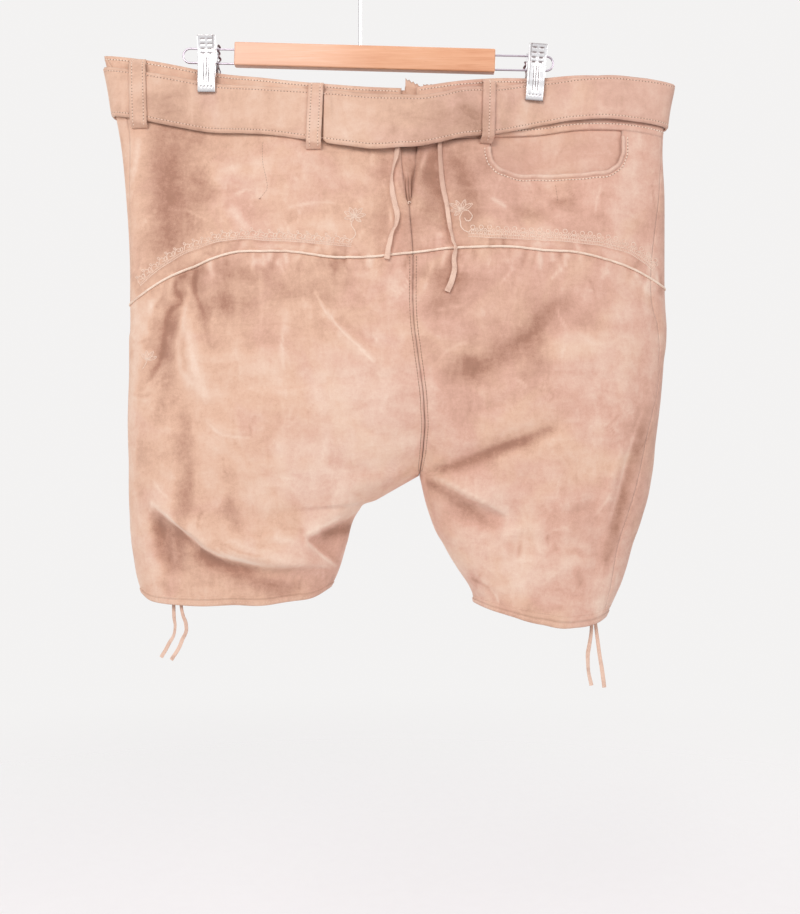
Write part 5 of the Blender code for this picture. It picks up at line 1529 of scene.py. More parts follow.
@dataclass
class Bench:
    """Where meshes become pieces: it knows the shell and the finishes."""

    shell: Shell
    looks: Looks

    def grid(self, across: Sequence[float], down: Sequence[float]) -> tuple[Shape, Array, Array]:
        """A flat sheet whose corners are numbered by column and row.

        Args:
            across: the columns' places.
            down: the rows' places.
        Returns:
            The mesh, and each corner's column and row.
        """
        sheet = bmesh.new()
        bmesh.ops.create_grid(sheet, x_segments=len(across) - 1, y_segments=len(down) - 1, size=0.5)
        corners = np.array([vertex.co[:] for vertex in sheet.verts])
        column = np.rint((corners[:, 0] + 0.5) * (len(across) - 1)).astype(int)
        row = np.rint((0.5 - corners[:, 1]) * (len(down) - 1)).astype(int)
        return sheet, column, row

    def lay(self, points: Array, outward: Array) -> Shape:
        """A sheet through a table of points, with its faces outwards.

        Args:
            points: rows by columns by x, y, z in millimetres.
            outward: the outward direction at each.
        Returns:
            The mesh.
        """
        rows, columns = points.shape[:2]
        sheet, column, row = self.grid(range(columns), range(rows))
        for vertex, spot in zip(sheet.verts, points[row, column] * MM):
            vertex.co = spot
        sheet.normal_update()
        wanted = outward[row, column]
        facing = np.array([vertex.normal[:] for vertex in sheet.verts])
        if float(np.sum(facing * wanted)) < 0.0:
            bmesh.ops.reverse_faces(sheet, faces=sheet.faces)
        return sheet

    def loft(self, rings: Array, closed: bool = False) -> Shape:
        """A skin over a run of rings.

        Args:
            rings: stations by corners by x, y, z in millimetres.
            closed: whether the last ring meets the first.
        Returns:
            The mesh, with its ends filled and its faces outwards.
        """
        stations, around = rings.shape[:2]
        steps = stations if closed else stations - 1
        sheet, column, row = self.grid(range(steps + 1), range(around + 1))
        for vertex, spot in zip(sheet.verts, rings[column % stations, row % around] * MM):
            vertex.co = spot
        bmesh.ops.remove_doubles(sheet, verts=sheet.verts, dist=0.000001)
        if not closed:
            ends = [edge for edge in sheet.edges if edge.is_boundary]
            bmesh.ops.holes_fill(sheet, edges=ends, sides=0)
        bmesh.ops.recalc_face_normals(sheet, faces=sheet.faces)
        return sheet

    def sweep(self, path: Array, outward: Array, section: Array, closed: bool = False) -> Shape:
        """A section carried along a path.

        Args:
            path: points in millimetres.
            outward: the direction that is up for the section, one for all or one for each.
            section: corners as across and up, or one such table for each point.
            closed: whether the path meets itself.
        Returns:
            The mesh.
        """
        if closed:
            run = np.roll(path, -1, axis=0) - np.roll(path, 1, axis=0)
        else:
            run = np.gradient(path, axis=0)
        run /= np.maximum(np.linalg.norm(run, axis=1, keepdims=True), 1e-9)
        side = np.cross(outward, run)
        side /= np.maximum(np.linalg.norm(side, axis=1, keepdims=True), 1e-9)
        up = np.cross(run, side)
        shape = np.broadcast_to(section, (len(path),) + np.asarray(section).shape[-2:])
        rings = path[:, None, :] + side[:, None, :] * shape[:, :, :1] + up[:, None, :] * shape[:, :, 1:]
        return self.loft(rings, closed)

    def copies(self, template: Shape, centres: Array, axes: Array) -> Mesh:
        """One mesh of many copies of a small shape.

        Args:
            template: the shape, about the origin.
            centres: a place in millimetres for each copy.
            axes: for each copy, the directions and lengths of its x, y and z as three rows.
        Returns:
            The mesh.
        """
        corners = np.array([vertex.co[:] for vertex in template.verts])
        single = bpy.data.meshes.new("template")
        template.to_mesh(single)
        template.free()
        many = bmesh.new()
        for _ in range(len(centres)):
            many.from_mesh(single)
        mesh = bpy.data.meshes.new("copies")
        many.to_mesh(mesh)
        many.free()
        bpy.data.meshes.remove(single)
        spots = centres[:, None, :] + np.einsum("vi,nij->nvj", corners, axes)
        mesh.vertices.foreach_set("co", (spots * MM).astype(np.float32).ravel())
        return mesh

    def finish(self, name: str, shape: Shape | Mesh, look: Material,
               replaced: Sequence[str] = (), slot: str = "suede", angle: float = 50.0) -> Piece:
        """Turn a mesh into a named piece that rides on the body.

        Args:
            name: the piece's name.
            shape: its mesh.
            look: its material.
            replaced: the CAD nodes that it stands for.
            slot: a material slot's name; not used.
            angle: sharper edges than this stay sharp.
        Returns:
            The piece.
        """
        if isinstance(shape, Shape):
            mesh = bpy.data.meshes.new(name)
            shape.to_mesh(mesh)
            shape.free()
        else:
            mesh = shape
            mesh.name = name
        mesh.shade_smooth()
        mesh.set_sharp_from_angle(angle=math.radians(angle))
        mesh.materials.append(look)
        piece = bpy.data.objects.new(name, mesh)
        bpy.context.scene.collection.objects.link(piece)
        self.colour(piece)
        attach(piece, "root")
        if replaced:
            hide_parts(*replaced)
        LOG.info("%s: %d corners", name, len(mesh.vertices))
        return piece

    def colour(self, piece: Piece) -> None:
        """Write the folds' painted shading, and the stains with their painted shading, into a piece's
        corners.

        Args:
            piece: the piece.
        """
        mesh = piece.data
        spots = np.zeros(len(mesh.vertices) * 3)
        mesh.vertices.foreach_get("co", spots)
        shade, stain = self.shell.tones(spots.reshape(-1, 3) / MM)
        for name, values in (("fold_shade", shade), ("stain", stain)):
            layer = mesh.attributes.new(name, "FLOAT", "POINT")
            layer.data.foreach_set("value", values.astype(np.float32))

    @staticmethod
    def mark(piece: Piece, depth: Array) -> None:
        """Write how dark each place of a laid table is into its piece."""
        layer = piece.data.attributes.new("groove", "FLOAT", "POINT")
        layer.data.foreach_set("value", np.ascontiguousarray(depth[::-1], dtype=np.float32).ravel())

    @staticmethod
    def mark_near(piece: Piece, places: Array, depth: Array, name: str = "groove") -> None:
        """Write into each corner the value of the nearest of some places in millimetres.

        Args:
            piece: the piece.
            places: the places, in rows of x, y, z.
            depth: the value of each place.
            name: the attribute that gets the values.
        """
        corners = np.array([vertex.co[:] for vertex in piece.data.vertices]) / MM
        gaps = np.linalg.norm(corners[:, None, :] - places.reshape(1, -1, 3), axis=2)
        layer = piece.data.attributes.get(name) or piece.data.attributes.new(name, "FLOAT", "POINT")
        layer.data.foreach_set("value", np.asarray(depth, np.float32).ravel()[np.argmin(gaps, axis=1)])

    def cloth(self, piece: Piece, points: Array, thickness: float, held: str = "hung") -> None:
        """Args:
            piece: the piece.
            points: the table that it was laid from, in millimetres; not used.
            thickness: in millimetres.
            held: how it is held; not used.
        """
        self.wall(piece, thickness)

    @staticmethod
    def wall(piece: Piece, thickness: float) -> None:
        """Give a sheet its thickness in millimetres, inwards.

        Args:
            piece: the piece.
            thickness: in millimetres.
        """
        solid = piece.modifiers.new("thickness", "SOLIDIFY")
        solid.thickness = thickness * MM
        solid.offset = -1.0
        solid.use_even_offset = False

    @staticmethod
    def cut_size(points: Array) -> tuple[tuple[float, float], float]:
        """Flat size of a laid sheet, with its seam allowance.

        Args:
            points: rows by columns by x, y, z in millimetres.
        Returns:
            Width and length in metres, and the area in square metres.
        """
        across = np.linalg.norm(np.diff(points, axis=1), axis=2).sum(axis=1)
        down = np.linalg.norm(np.diff(points, axis=0), axis=2).sum(axis=0)
        allowance = 5.0 if min(across.max(), down.max()) > 80.0 else 0.4
        width, length = across.max() + 2 * allowance, down.max() + 2 * allowance
        one = points[1:, :-1] - points[:-1, :-1]
        two = points[:-1, 1:] - points[:-1, :-1]
        area = np.linalg.norm(np.cross(one, two), axis=2).sum()
        area = area + allowance * 2 * (across.mean() + down.mean())
        area = min(area, 0.995 * width * length)
        return (float(width * MM), float(length * MM)), float(area * MM * MM)


# --- stitching

@dataclass(frozen=True)
class Stitch:
    """One kind of sewing: its pitch, and the length, width and height of what shows of each stitch."""

    pitch: float
    length: float
    width: float
    height: float
    sink: float = 0.15
    hole: float = 0.0

    def along(self, path: Array, normals: Array) -> tuple[Array, Array]:
        """Places and axes of a row's stitches.

        Args:
            path: a fine run of points in millimetres.
            normals: the outward directions there.
        Returns:
            The centres and the axes.
        """
        run = run_along(path)
        count = max(1, int(round(run[-1] / self.pitch)))
        wanted = (np.arange(count) + 0.5) * run[-1] / count
        spots, up = row_at(path, run, wanted), row_at(normals, run, wanted)
        up /= np.linalg.norm(up, axis=1, keepdims=True)
        ahead = row_at(path, run, wanted + 0.5) - spots
        behind = spots - row_at(path, run, wanted - 0.5)
        forward = ahead + behind
        forward -= up * np.sum(forward * up, axis=1, keepdims=True)
        forward /= np.maximum(np.linalg.norm(forward, axis=1, keepdims=True), 1e-9)
        side = np.cross(up, forward)
        rng = np.random.default_rng(count)
        lean = rng.uniform(-0.10, 0.10, (count, 1))
        reach = self.length * rng.uniform(0.88, 1.08, (count, 1)) / 2.0
        turned = forward * np.cos(lean) + side * np.sin(lean)
        aside = side * np.cos(lean) - forward * np.sin(lean)
        axes = np.stack([turned * reach, aside * self.width / 2.0, up * self.height / 2.0], axis=1)
        return spots - up * self.sink, axes


RUNNING = Stitch(3.3, 2.4, 1.15, 1.15, 0.0, 1.2)
FINE = Stitch(2.9, 2.2, 0.7, 0.7, 0.15, 0.5)
HEAVY = Stitch(3.4, 2.4, 1.3, 1.2, 0.0, 0.9)
SEAM = Stitch(3.0, 2.8, 1.1, 0.8, 0.2)


HOLES = "stitch_holes"


@dataclass
class Sewing:
    """Rows of stitches that are gathered into one piece for each name."""

    bench: Bench
    centres: dict[str, list[Array]] = field(default_factory=dict)
    axes: dict[str, list[Array]] = field(default_factory=dict)

    def row(self, name: str, kind: Stitch, path: Array, normals: Array) -> None:
        """Add a row to a named piece.

        Args:
            name: the piece.
            kind: its stitch.
            path: a fine run of points in millimetres.
            normals: the outward directions there.
        """
        centres, axes = kind.along(path, normals)
        self.centres.setdefault(name, []).append(centres)
        self.axes.setdefault(name, []).append(axes)
        # Dark discs between the stitches: painted shade in the stitch holes.
        if kind.hole and len(centres) > 1:
            size = np.linalg.norm(axes, axis=2, keepdims=True)
            unit = axes / np.maximum(size, 1e-9)
            wide = np.array([kind.hole * 0.5, kind.hole * 0.55, 0.28])[None, :, None]
            between = (centres[1:] + centres[:-1]) / 2.0 + unit[1:, 2] * 0.02
            self.centres.setdefault(HOLES, []).append(between)
            self.axes.setdefault(HOLES, []).append(unit[1:] * wide)

    def on_face(self, name: str, kind: Stitch, face: Face, stops: Sequence[Sequence[float]],
                lift: float = 0.0) -> None:
        """Add a row through stops on a face.

        Args:
            name: the piece.
            kind: its stitch.
            face: the face.
            stops: x and z of the row.
            lift: height of what it is sewn through, above the face.
        """
        line = smooth_route(stops, 1.5)
        path, normals = self.bench.shell.on_face(face, line[:, 0], line[:, 1], lift)
        self.row(name, kind, path, normals)

    def sew(self, name: str, look: Material, slot: str = "cream_leather") -> None:
        """Make a named piece of its rows.

        Args:
            name: the piece.
            look: its material.
            slot: the name of a material slot, passed on to finish.
        """
        template = bmesh.new()
        rings = 3 if name == HOLES else 5
        bmesh.ops.create_uvsphere(template, u_segments=6, v_segments=rings, radius=1.0,
                                  matrix=Matrix.Rotation(math.pi / 2.0, 4, "Y"))
        centres, axes = np.concatenate(self.centres[name]), np.concatenate(self.axes[name])
        mesh = self.bench.copies(template, centres, axes)
        self.bench.finish(name, mesh, look, slot=slot)


# --- trousers

@dataclass(frozen=True)
class PanelPlan:
    """One cut panel: where it lies and how fine its mesh is."""

    name: str
    side: Side
    face: Face
    first: str
    last: str
    columns: int
    rows: int
    thickness: float = SUEDE


@dataclass
class Trousers:
    """Yokes, legs, waistband, hems, tongue and pocket."""

    bench: Bench
    sewing: Sewing
    roll: float = 0.7
    roll_width: float = 2.0
    turn_weight: float = 16.0
    slit_levels: tuple[float, ...] = (0.0, 1.0, 2.0, 2.18)
    slit_left: tuple[float, ...] = (7.0, 9.0, 2.6, 0.0)
    slit_right: tuple[float, ...] = (7.0, 9.6, 3.0, 0.0)
    piping_width: float = 2.5
    hem_height: float = 7.8
    pocket_edge: tuple[tuple[float, float], ...] = (
        (132.5, -204), (133.5, -213), (138, -221.5), (150, -227.6), (181, -230.2), (210, -231.0),
        (238, -229.8), (256, -225.5), (264, -215), (266, -203), (266, -193),
    )

    def spread(self, side: Side, level: float, first: float, last: float, shares: Array,
               cut_first: float, cut_last: float) -> Array:
        """Angles spread along a section by distance, closer at its folds.

        Args:
            side: which half.
            level: the section's level.
            first: the angle that it starts from.
            last: the angle that it ends at.
            shares: places along it, from 0 to 1.
            cut_first: millimetres left out at its start.
            cut_last: millimetres left out at its end.
        Returns:
            The angles.
        """
        angles = np.linspace(first, last, 361)
        track = self.bench.shell.point(side, angles, level, False)
        run, weighted = weighted_run(track, self.turn_weight)
        begin, end = np.interp([cut_first, run[-1] - cut_last], run, weighted)
        return np.interp(begin + (end - begin) * shares, weighted, angles)

    def panel_angles(self, side: Side, face: Face, level: float, shares: Array) -> Array:
        """Angles across a panel at one level, from its inner edge outwards.

        Args:
            side: which half.
            face: the back or the front.
            level: the section's level.
            shares: places across it, from 0 to 1.
        Returns:
            The angles.
        """
        half = self.bench.shell.halves[side]
        start, seam = float(half.start_angle(level)), float(half.seam_angle(level))
        gap = CLOSED_GAP / 2.0
        inner_gap = gap * abs(math.cos(start))
        if face is Face.BACK:
            widths = self.slit_left if side is Side.LEFT else self.slit_right
            slit = float(np.interp(level, self.slit_levels, widths))
            return self.spread(side, level, start, seam, shares, inner_gap + slit, gap)
        return self.spread(side, level, -start, seam, shares, inner_gap, gap)

    def panel_points(self, plan: PanelPlan) -> tuple[Array, Array]:
        """Points and outward directions of a panel, with its edges rolled in.

        Args:
            plan: the panel.
        Returns:
            The points and the outward directions.
        """
        half = self.bench.shell.halves[plan.side]
        first, last = half.level[plan.first], half.level[plan.last]
        levels = np.linspace(first, last, plan.rows + 1)
        levels[0] += self.edge_trim(half, levels[0], levels[1])
        levels[-1] += self.edge_trim(half, levels[-1], levels[-2])
        shares = np.linspace(0.0, 1.0, plan.columns + 1)
        angles = np.stack([
            self.panel_angles(plan.side, plan.face, float(level), shares) for level in levels])
        table = np.broadcast_to(levels[:, None], angles.shape)
        flat, _ = self.bench.shell.lifted(plan.side, angles, table, 0.0)
        across = np.linalg.norm(np.diff(flat, axis=1), axis=2)
        down = np.linalg.norm(np.diff(flat, axis=0), axis=2)
        from_left = np.concatenate([np.zeros((len(levels), 1)), np.cumsum(across, axis=1)], axis=1)
        from_top = np.concatenate([np.zeros((1, angles.shape[1])), np.cumsum(down, axis=0)], axis=0)
        hidden = (table < half.level["yoke"]) & (plan.side is Side.RIGHT)
        from_seam = from_left[:, -1:] - from_left
        side_seam = np.where(hidden, 0.0, 0.45) * np.exp(-(from_seam / self.roll_width) ** 2)
        others = np.minimum(from_left, np.minimum(from_top, from_top[-1:] - from_top))
        tuck = -self.roll * np.maximum(side_seam, np.exp(-(others / self.roll_width) ** 2))
        tuck = tuck * np.abs(np.sin(angles)) ** 1.5
        return self.bench.shell.lifted(plan.side, angles, table, tuck)

    @staticmethod
    def edge_trim(half: Half, edge: float, inside: float) -> float:
        """How far a panel's upper or lower edge draws back from the seam, in levels."""
        rise = min(abs(float(half.columns[z](inside) - half.columns[z](edge))) for z in ("z_in", "z_out"))
        return (inside - edge) * (CLOSED_GAP / 2.0) / rise

    def make_panel(self, plan: PanelPlan) -> None:
        """Cut and lay one panel, as a piece in place of its CAD node.

        Args:
            plan: the panel.
        """
        points, outward = self.panel_points(plan)
        sheet = self.bench.lay(points, outward)
        if plan.name == "yoke_right":
            self.open_pocket(sheet)
        piece = self.bench.finish(f"{plan.name}_suede", sheet, self.bench.looks.suede, (plan.name,))
        self.bench.cloth(piece, points, plan.thickness)

    def open_pocket(self, sheet: Shape) -> None:
        """Take the pocket's mouth out of the yoke, and draw the new edge onto its line.

        Args:
            sheet: the right yoke's sheet.
        """
        edge = smooth_route(self.pocket_edge, 1.5)
        outline = np.concatenate([[edge[0] + (0.0, 30.0)], edge, [edge[-1] + (0.0, 30.0)]])
        inside = []
        for face in sheet.faces:
            middle = face.calc_center_median()
            if self.within(outline, middle.x / MM, middle.z / MM) and middle.y < 0.0:
                inside.append(face)
        rims = self.rim_corners(sheet)
        bmesh.ops.delete(sheet, geom=inside, context="FACES")
        for vertex in self.rim_corners(sheet) - rims:
            spot = np.array([vertex.co.x, vertex.co.z]) / MM
            nearest = edge[np.argmin(np.linalg.norm(edge - spot, axis=1))]
            place, _ = self.bench.shell.on_face(Face.BACK, nearest[0], nearest[1], 0.0)
            vertex.co = Vector(place * MM)

    @staticmethod
    def rim_corners(sheet: Shape) -> set[bmesh.types.BMVert]:
        """The corners that lie on a sheet's open edges."""
        return {vertex for line in sheet.edges if line.is_boundary for vertex in line.verts}

    @staticmethod
    def within(outline: Array, x: float, z: float) -> bool:
        """Whether a place lies inside a closed outline.

        Args:
            outline: rows of x and z.
            x: the place, across.
            z: the place, up.
        Returns:
            Whether it does.
        """
        x0, z0 = outline[:, 0], outline[:, 1]
        x1, z1 = np.roll(x0, -1), np.roll(z0, -1)
        crosses = (z0 > z) != (z1 > z)
        slope = np.where(z1 == z0, 1e-9, z1 - z0)
        return bool(np.sum(crosses & (x < (x1 - x0) * (z - z0) / slope + x0)) % 2)

    def make_piping(self) -> None:
        """The cream edge in each yoke seam."""
        section = circle(10) * (self.piping_width / 2.0, 1.0) + (0.0, 0.35)
        for side, half in self.bench.shell.halves.items():
            angles = self.panel_angles(side, Face.BACK, half.level["yoke"], np.linspace(0.0, 1.0, 190))
            angles = np.concatenate([angles, np.linspace(angles[-1], -0.02, 16)[1:]])
            path, outward = self.bench.shell.lifted(side, angles, half.level["yoke"], 0.0)
            strip = self.bench.sweep(path, outward, section)
            self.bench.finish(f"piping_{side.value}", strip, self.bench.looks.cream,
                              (f"yoke_piping_{side.value}",), "cream_leather")

    def make_hems(self) -> None:
        """A turned band round each leg's lower edge, with its stitches."""
        for side, half in self.bench.shell.halves.items():
            hem = half.level["hem"]
            per_level = abs(float(half.columns["z_in"](hem) - half.columns["z_in"](hem - 1.0)))
            back = self.panel_angles(side, Face.BACK, hem, np.linspace(0.0, 1.0, 111)[:-1])
            front = self.panel_angles(side, Face.FRONT, hem, 1.0 - np.linspace(0.0, 1.0, 111))
            angles = np.concatenate([back, front])
            angles[0], angles[-1] = math.pi, -math.pi
            step = 0.74 if side is Side.LEFT else 0.56
            up = np.array([1.0, step + 0.12, step, step - 0.06, step - 0.12, step - 0.2, 0.3, 0.15, 0.0])
            levels = hem - 0.02 - up * self.hem_height / per_level
            swell = 0.12 + 0.95 * smooth_step((step - up) / 0.14)
            table = np.broadcast_to(levels[:, None], (len(up), len(angles)))
            points, outward = self.bench.shell.lifted(side, np.broadcast_to(angles, table.shape), table,
                                                      np.broadcast_to(swell[:, None], table.shape))
            points[:, -1] = points[:, 0]
            sheet = self.bench.lay(points, outward)
            bmesh.ops.remove_doubles(sheet, verts=sheet.verts, dist=0.00001)
            piece = self.bench.finish(f"hem_{side.value}", sheet, self.bench.looks.suede,
                                      (f"hem_band_{side.value}",))
            # A thin painted shadow along the band's upper fold.
            dark = np.array([0.0, 0.0, 0.16, 0.24, 0.1, 0.0, 0.0, 0.0, 0.0])
            self.bench.mark_near(piece, points, np.repeat(dark, len(angles)))
            self.bench.cloth(piece, points, 0.9)
            row, normals = self.bench.shell.lifted(side, angles, float(levels[6]), 0.95)
            self.sewing.row("hem_stitches", FINE, row, normals)

    def make_tongue(self) -> None:
        """The gusset behind the slit, with a pinked top."""
        left, right = 34.0, 73.5
        steps = [46.6, 46.8, 61.6, 61.8, 64.6, 64.8]
        x_line = np.unique(np.concatenate([np.linspace(left, right, 121), steps]))
        down = np.concatenate([[0.0, 0.008, 0.02], np.linspace(0.035, 1.0, 66)])
        x, v = np.meshgrid(x_line, down)
        tooth = np.abs(np.mod((x - 46.7) / 4.0, 1.0) * 2.0 - 1.0)
        pinked_top = -131.2 - (x - 46.7) * 0.5 - 1.9 * (1.0 - tooth)
        top = np.select([x < 46.7, x < 61.7, x < 64.7], [-144.2, pinked_top, -140.6], -138.0 - 0.9 * tooth)
        z = top + (-280.0 - top) * v
        left_half = self.bench.shell.halves[Side.LEFT]
        top_line = left_half.height(np.full_like(x, CENTRE_X - 1.0), np.zeros_like(x))
        behind = -(BAND_SUEDE + 3 * LAID_ON)
        low = smooth_step((-232.0 - z) / 10.0)
        wave = np.sin((x - 50.0) * (1.15 + 0.9 * low) + 0.16 * z + 1.4 * np.sin(z / 7.0))
        gather = wave * (0.15 + 0.75 * low) * smooth_step((-205.0 - z) / 12.0)
        gather = gather + 1.7 * smooth_step((-190.0 - z) / 30.0) * np.exp(-((x - 47.0) / 8.0) ** 2)
        held = np.minimum(z, top_line - 0.5)
        points, outward = self.bench.shell.on_face(Face.BACK, x, held, behind + gather)
        points[..., 2] = z
        sheet = self.bench.lay(points, outward)
        piece = self.bench.finish("tongue_suede", sheet, self.bench.looks.suede, ("lacing_tongue",))
        # Painted shade along the pinked top, in the troughs of the gathers and in a band at the belt's
        # lower edge.
        pinked = 0.5 * np.exp(-((top - z) / 1.1) ** 2) * (x > 46.0)
        pleats = 0.42 * np.clip(-wave, 0.0, 1.0) * low
        shaded = 0.3 * smooth_step((z + 219.0) / 14.0) * (z < -200.0)
        self.bench.mark(piece, np.clip(pinked + (pleats + shaded), 0.0, 0.7))
        self.bench.cloth(piece, points, TRIM_SUEDE)

    def waist_under(self, x: Array) -> Array:
        """Height at which the pocket's pieces end under the waist seam."""
        return self.bench.shell.halves[Side.RIGHT].height(x, np.ones_like(x)) - 1.0

    def make_pocket(self) -> None:
        """The facing inside the mouth, the rolled rim and the stitches round it."""
        shell = self.bench.shell
        left, right = self.pocket_edge[0][0] - 6.0, self.pocket_edge[-1][0] + 6.0
        u, v = np.meshgrid(np.linspace(0.0, 1.0, 90), np.linspace(0.0, 1.0, 34))
        x = left + (right - left) * u
        waist = self.waist_under(x) + 4.0
        z = waist + (-243.0 - waist) * v
        behind = -(SUEDE + LAID_ON + 0.4)
        points, outward = shell.on_face(Face.BACK, x, z, behind)
        facing = self.bench.finish("facing_suede", self.bench.lay(points, outward), self.bench.looks.lining,
                                   ("pocket_facing",))
        self.bench.cloth(facing, points, TRIM_SUEDE)

        edge = smooth_route(self.pocket_edge, 1.6)
        run = np.gradient(edge, axis=0)
        run /= np.linalg.norm(run, axis=1, keepdims=True)
        away = np.stack([run[:, 1], -run[:, 0]], axis=1)
        section = ((-0.7, -1.6), (-1.1, 0.0), (-0.5, 1.3), (0.7, 1.9), (2.0, 1.7), (3.2, 1.0), (3.9, 0.1))
        rings = []
        for across, height in section:
            spot = edge + away * across
            level = np.minimum(spot[:, 1], self.waist_under(spot[:, 0]))
            rings.append(shell.on_face(Face.BACK, spot[:, 0], level, height)[0])
        rim_points = np.stack(rings, axis=1)
        rim = self.bench.loft(rim_points)
        roll = self.bench.finish("pocket_roll", rim, self.bench.looks.belt, ("pocket_rim",), "belt_suede")
        # Painted shade on the roll's inner side and painted highlight on its crest.
        for name, values in (("groove", (0.6, 0.4, 0.08, 0.0, 0.0, 0.0, 0.1)),
                             ("stain", (0.0, 0.0, 0.15, 0.32, 0.22, 0.0, 0.0))):
            self.bench.mark_near(roll, rim_points, np.tile(values, len(edge)), name)
        row = edge + away * 5.7
        keep = row[:, 1] < self.waist_under(row[:, 0]) - 2.0
        self.sewing.on_face("pocket_stitches", HEAVY, Face.BACK, row[keep], 0.3)

    def make_seams(self) -> None:
        """Stitch rows of the centre back and front, the darts and the waistband."""
        sewing, beside = self.sewing, 3.1
        for side, half in self.bench.shell.halves.items():
            levels = np.linspace(half.level["yoke"] + 0.06, half.level["crotch"] - 0.12, 150)
            ends = [(float(half.start_angle(level)), float(half.seam_angle(level))) for level in levels]
            angles = [self.spread(side, float(level), first, last, np.zeros(1), beside, 0.0)[0]
                      for level, (first, last) in zip(levels, ends)]
            path, normals = self.bench.shell.lifted(side, np.array(angles), levels, 0.0)
            sewing.row("centre_seam_stitches", SEAM, path, normals)
        for aside in (-beside, beside):
            front = ((50, -368), (50, -410), (60, -440), (65, -480), (62, -520))
            sewing.on_face("centre_seam_stitches", SEAM, Face.FRONT, [(x + aside, z) for x, z in front])
        dart = ((-97.5, -199), (-97, -222), (-93, -240), (-92.4, -248), (-96, -254), (-99.5, -258))
        sewing.on_face("dart_stitches", FINE, Face.BACK, dart)
        dart_end = ((-102.0, -258.3), (-99.6, -258.6), (-97.2, -258.4))
        sewing.on_face("dart_stitches", HEAVY, Face.BACK, dart_end)
        sewing.on_face("dart_stitches", FINE, Face.BACK, [(199, -241), (200, -250), (201, -259)])
        for side, half in self.bench.shell.halves.items():
            for level in (0.07, 0.90):
                for face in Face:
                    start = 0.01 if face is Face.BACK else 0.0
                    angles = self.panel_angles(side, face, level, np.linspace(start, 1.0, 400))
                    path, normals = self.bench.shell.lifted(side, angles, level, 0.0)
                    sewing.row("waist_stitches", RUNNING, path, normals)
        looks = self.bench.looks
        for name, look in (("hem", looks.vine), ("waist", looks.thread), ("pocket", looks.thread),
                           ("centre_seam", looks.dark_thread), ("dart", looks.dark_thread)):
            sewing.sew(f"{name}_stitches", look)

    def build(self) -> None:
        """Make every part of the trousers."""
        for side in Side:
            name = side.value
            for plan in (
                PanelPlan(f"yoke_{name}", side, Face.BACK, "waist", "yoke", 130, 66),
                PanelPlan(f"back_{name}", side, Face.BACK, "yoke", "hem", 130, 150),
                PanelPlan(f"front_{name}", side, Face.FRONT, "waist", "hem", 120, 190),
                PanelPlan(f"waistband_back_{name}", side, Face.BACK, "top", "waist", 110, 26, BAND_SUEDE),
                PanelPlan(f"waistband_front_{name}", side, Face.FRONT, "top", "waist", 110, 26, BAND_SUEDE),
            ):
                self.make_panel(plan)
        self.make_piping()
        self.make_hems()
        self.make_tongue()
        self.make_pocket()
        self.make_seams()


# --- belt

@dataclass(frozen=True)
class BeltStation:
    """The strap's upper and lower edge over x, and how far it stands off the waistband."""

    x: float
    top: float
    bottom: float
    stand_off: float


@dataclass(frozen=True)
class LoopPlan:
    """A belt loop: its middle line, width and rows of stitches."""

    name: str
    node: str
    face: Face
    x_top: float
    z_top: float
    x_bottom: float
    z_bottom: float
    width: float
    rows: tuple[float, ...]
    layers: int = 1


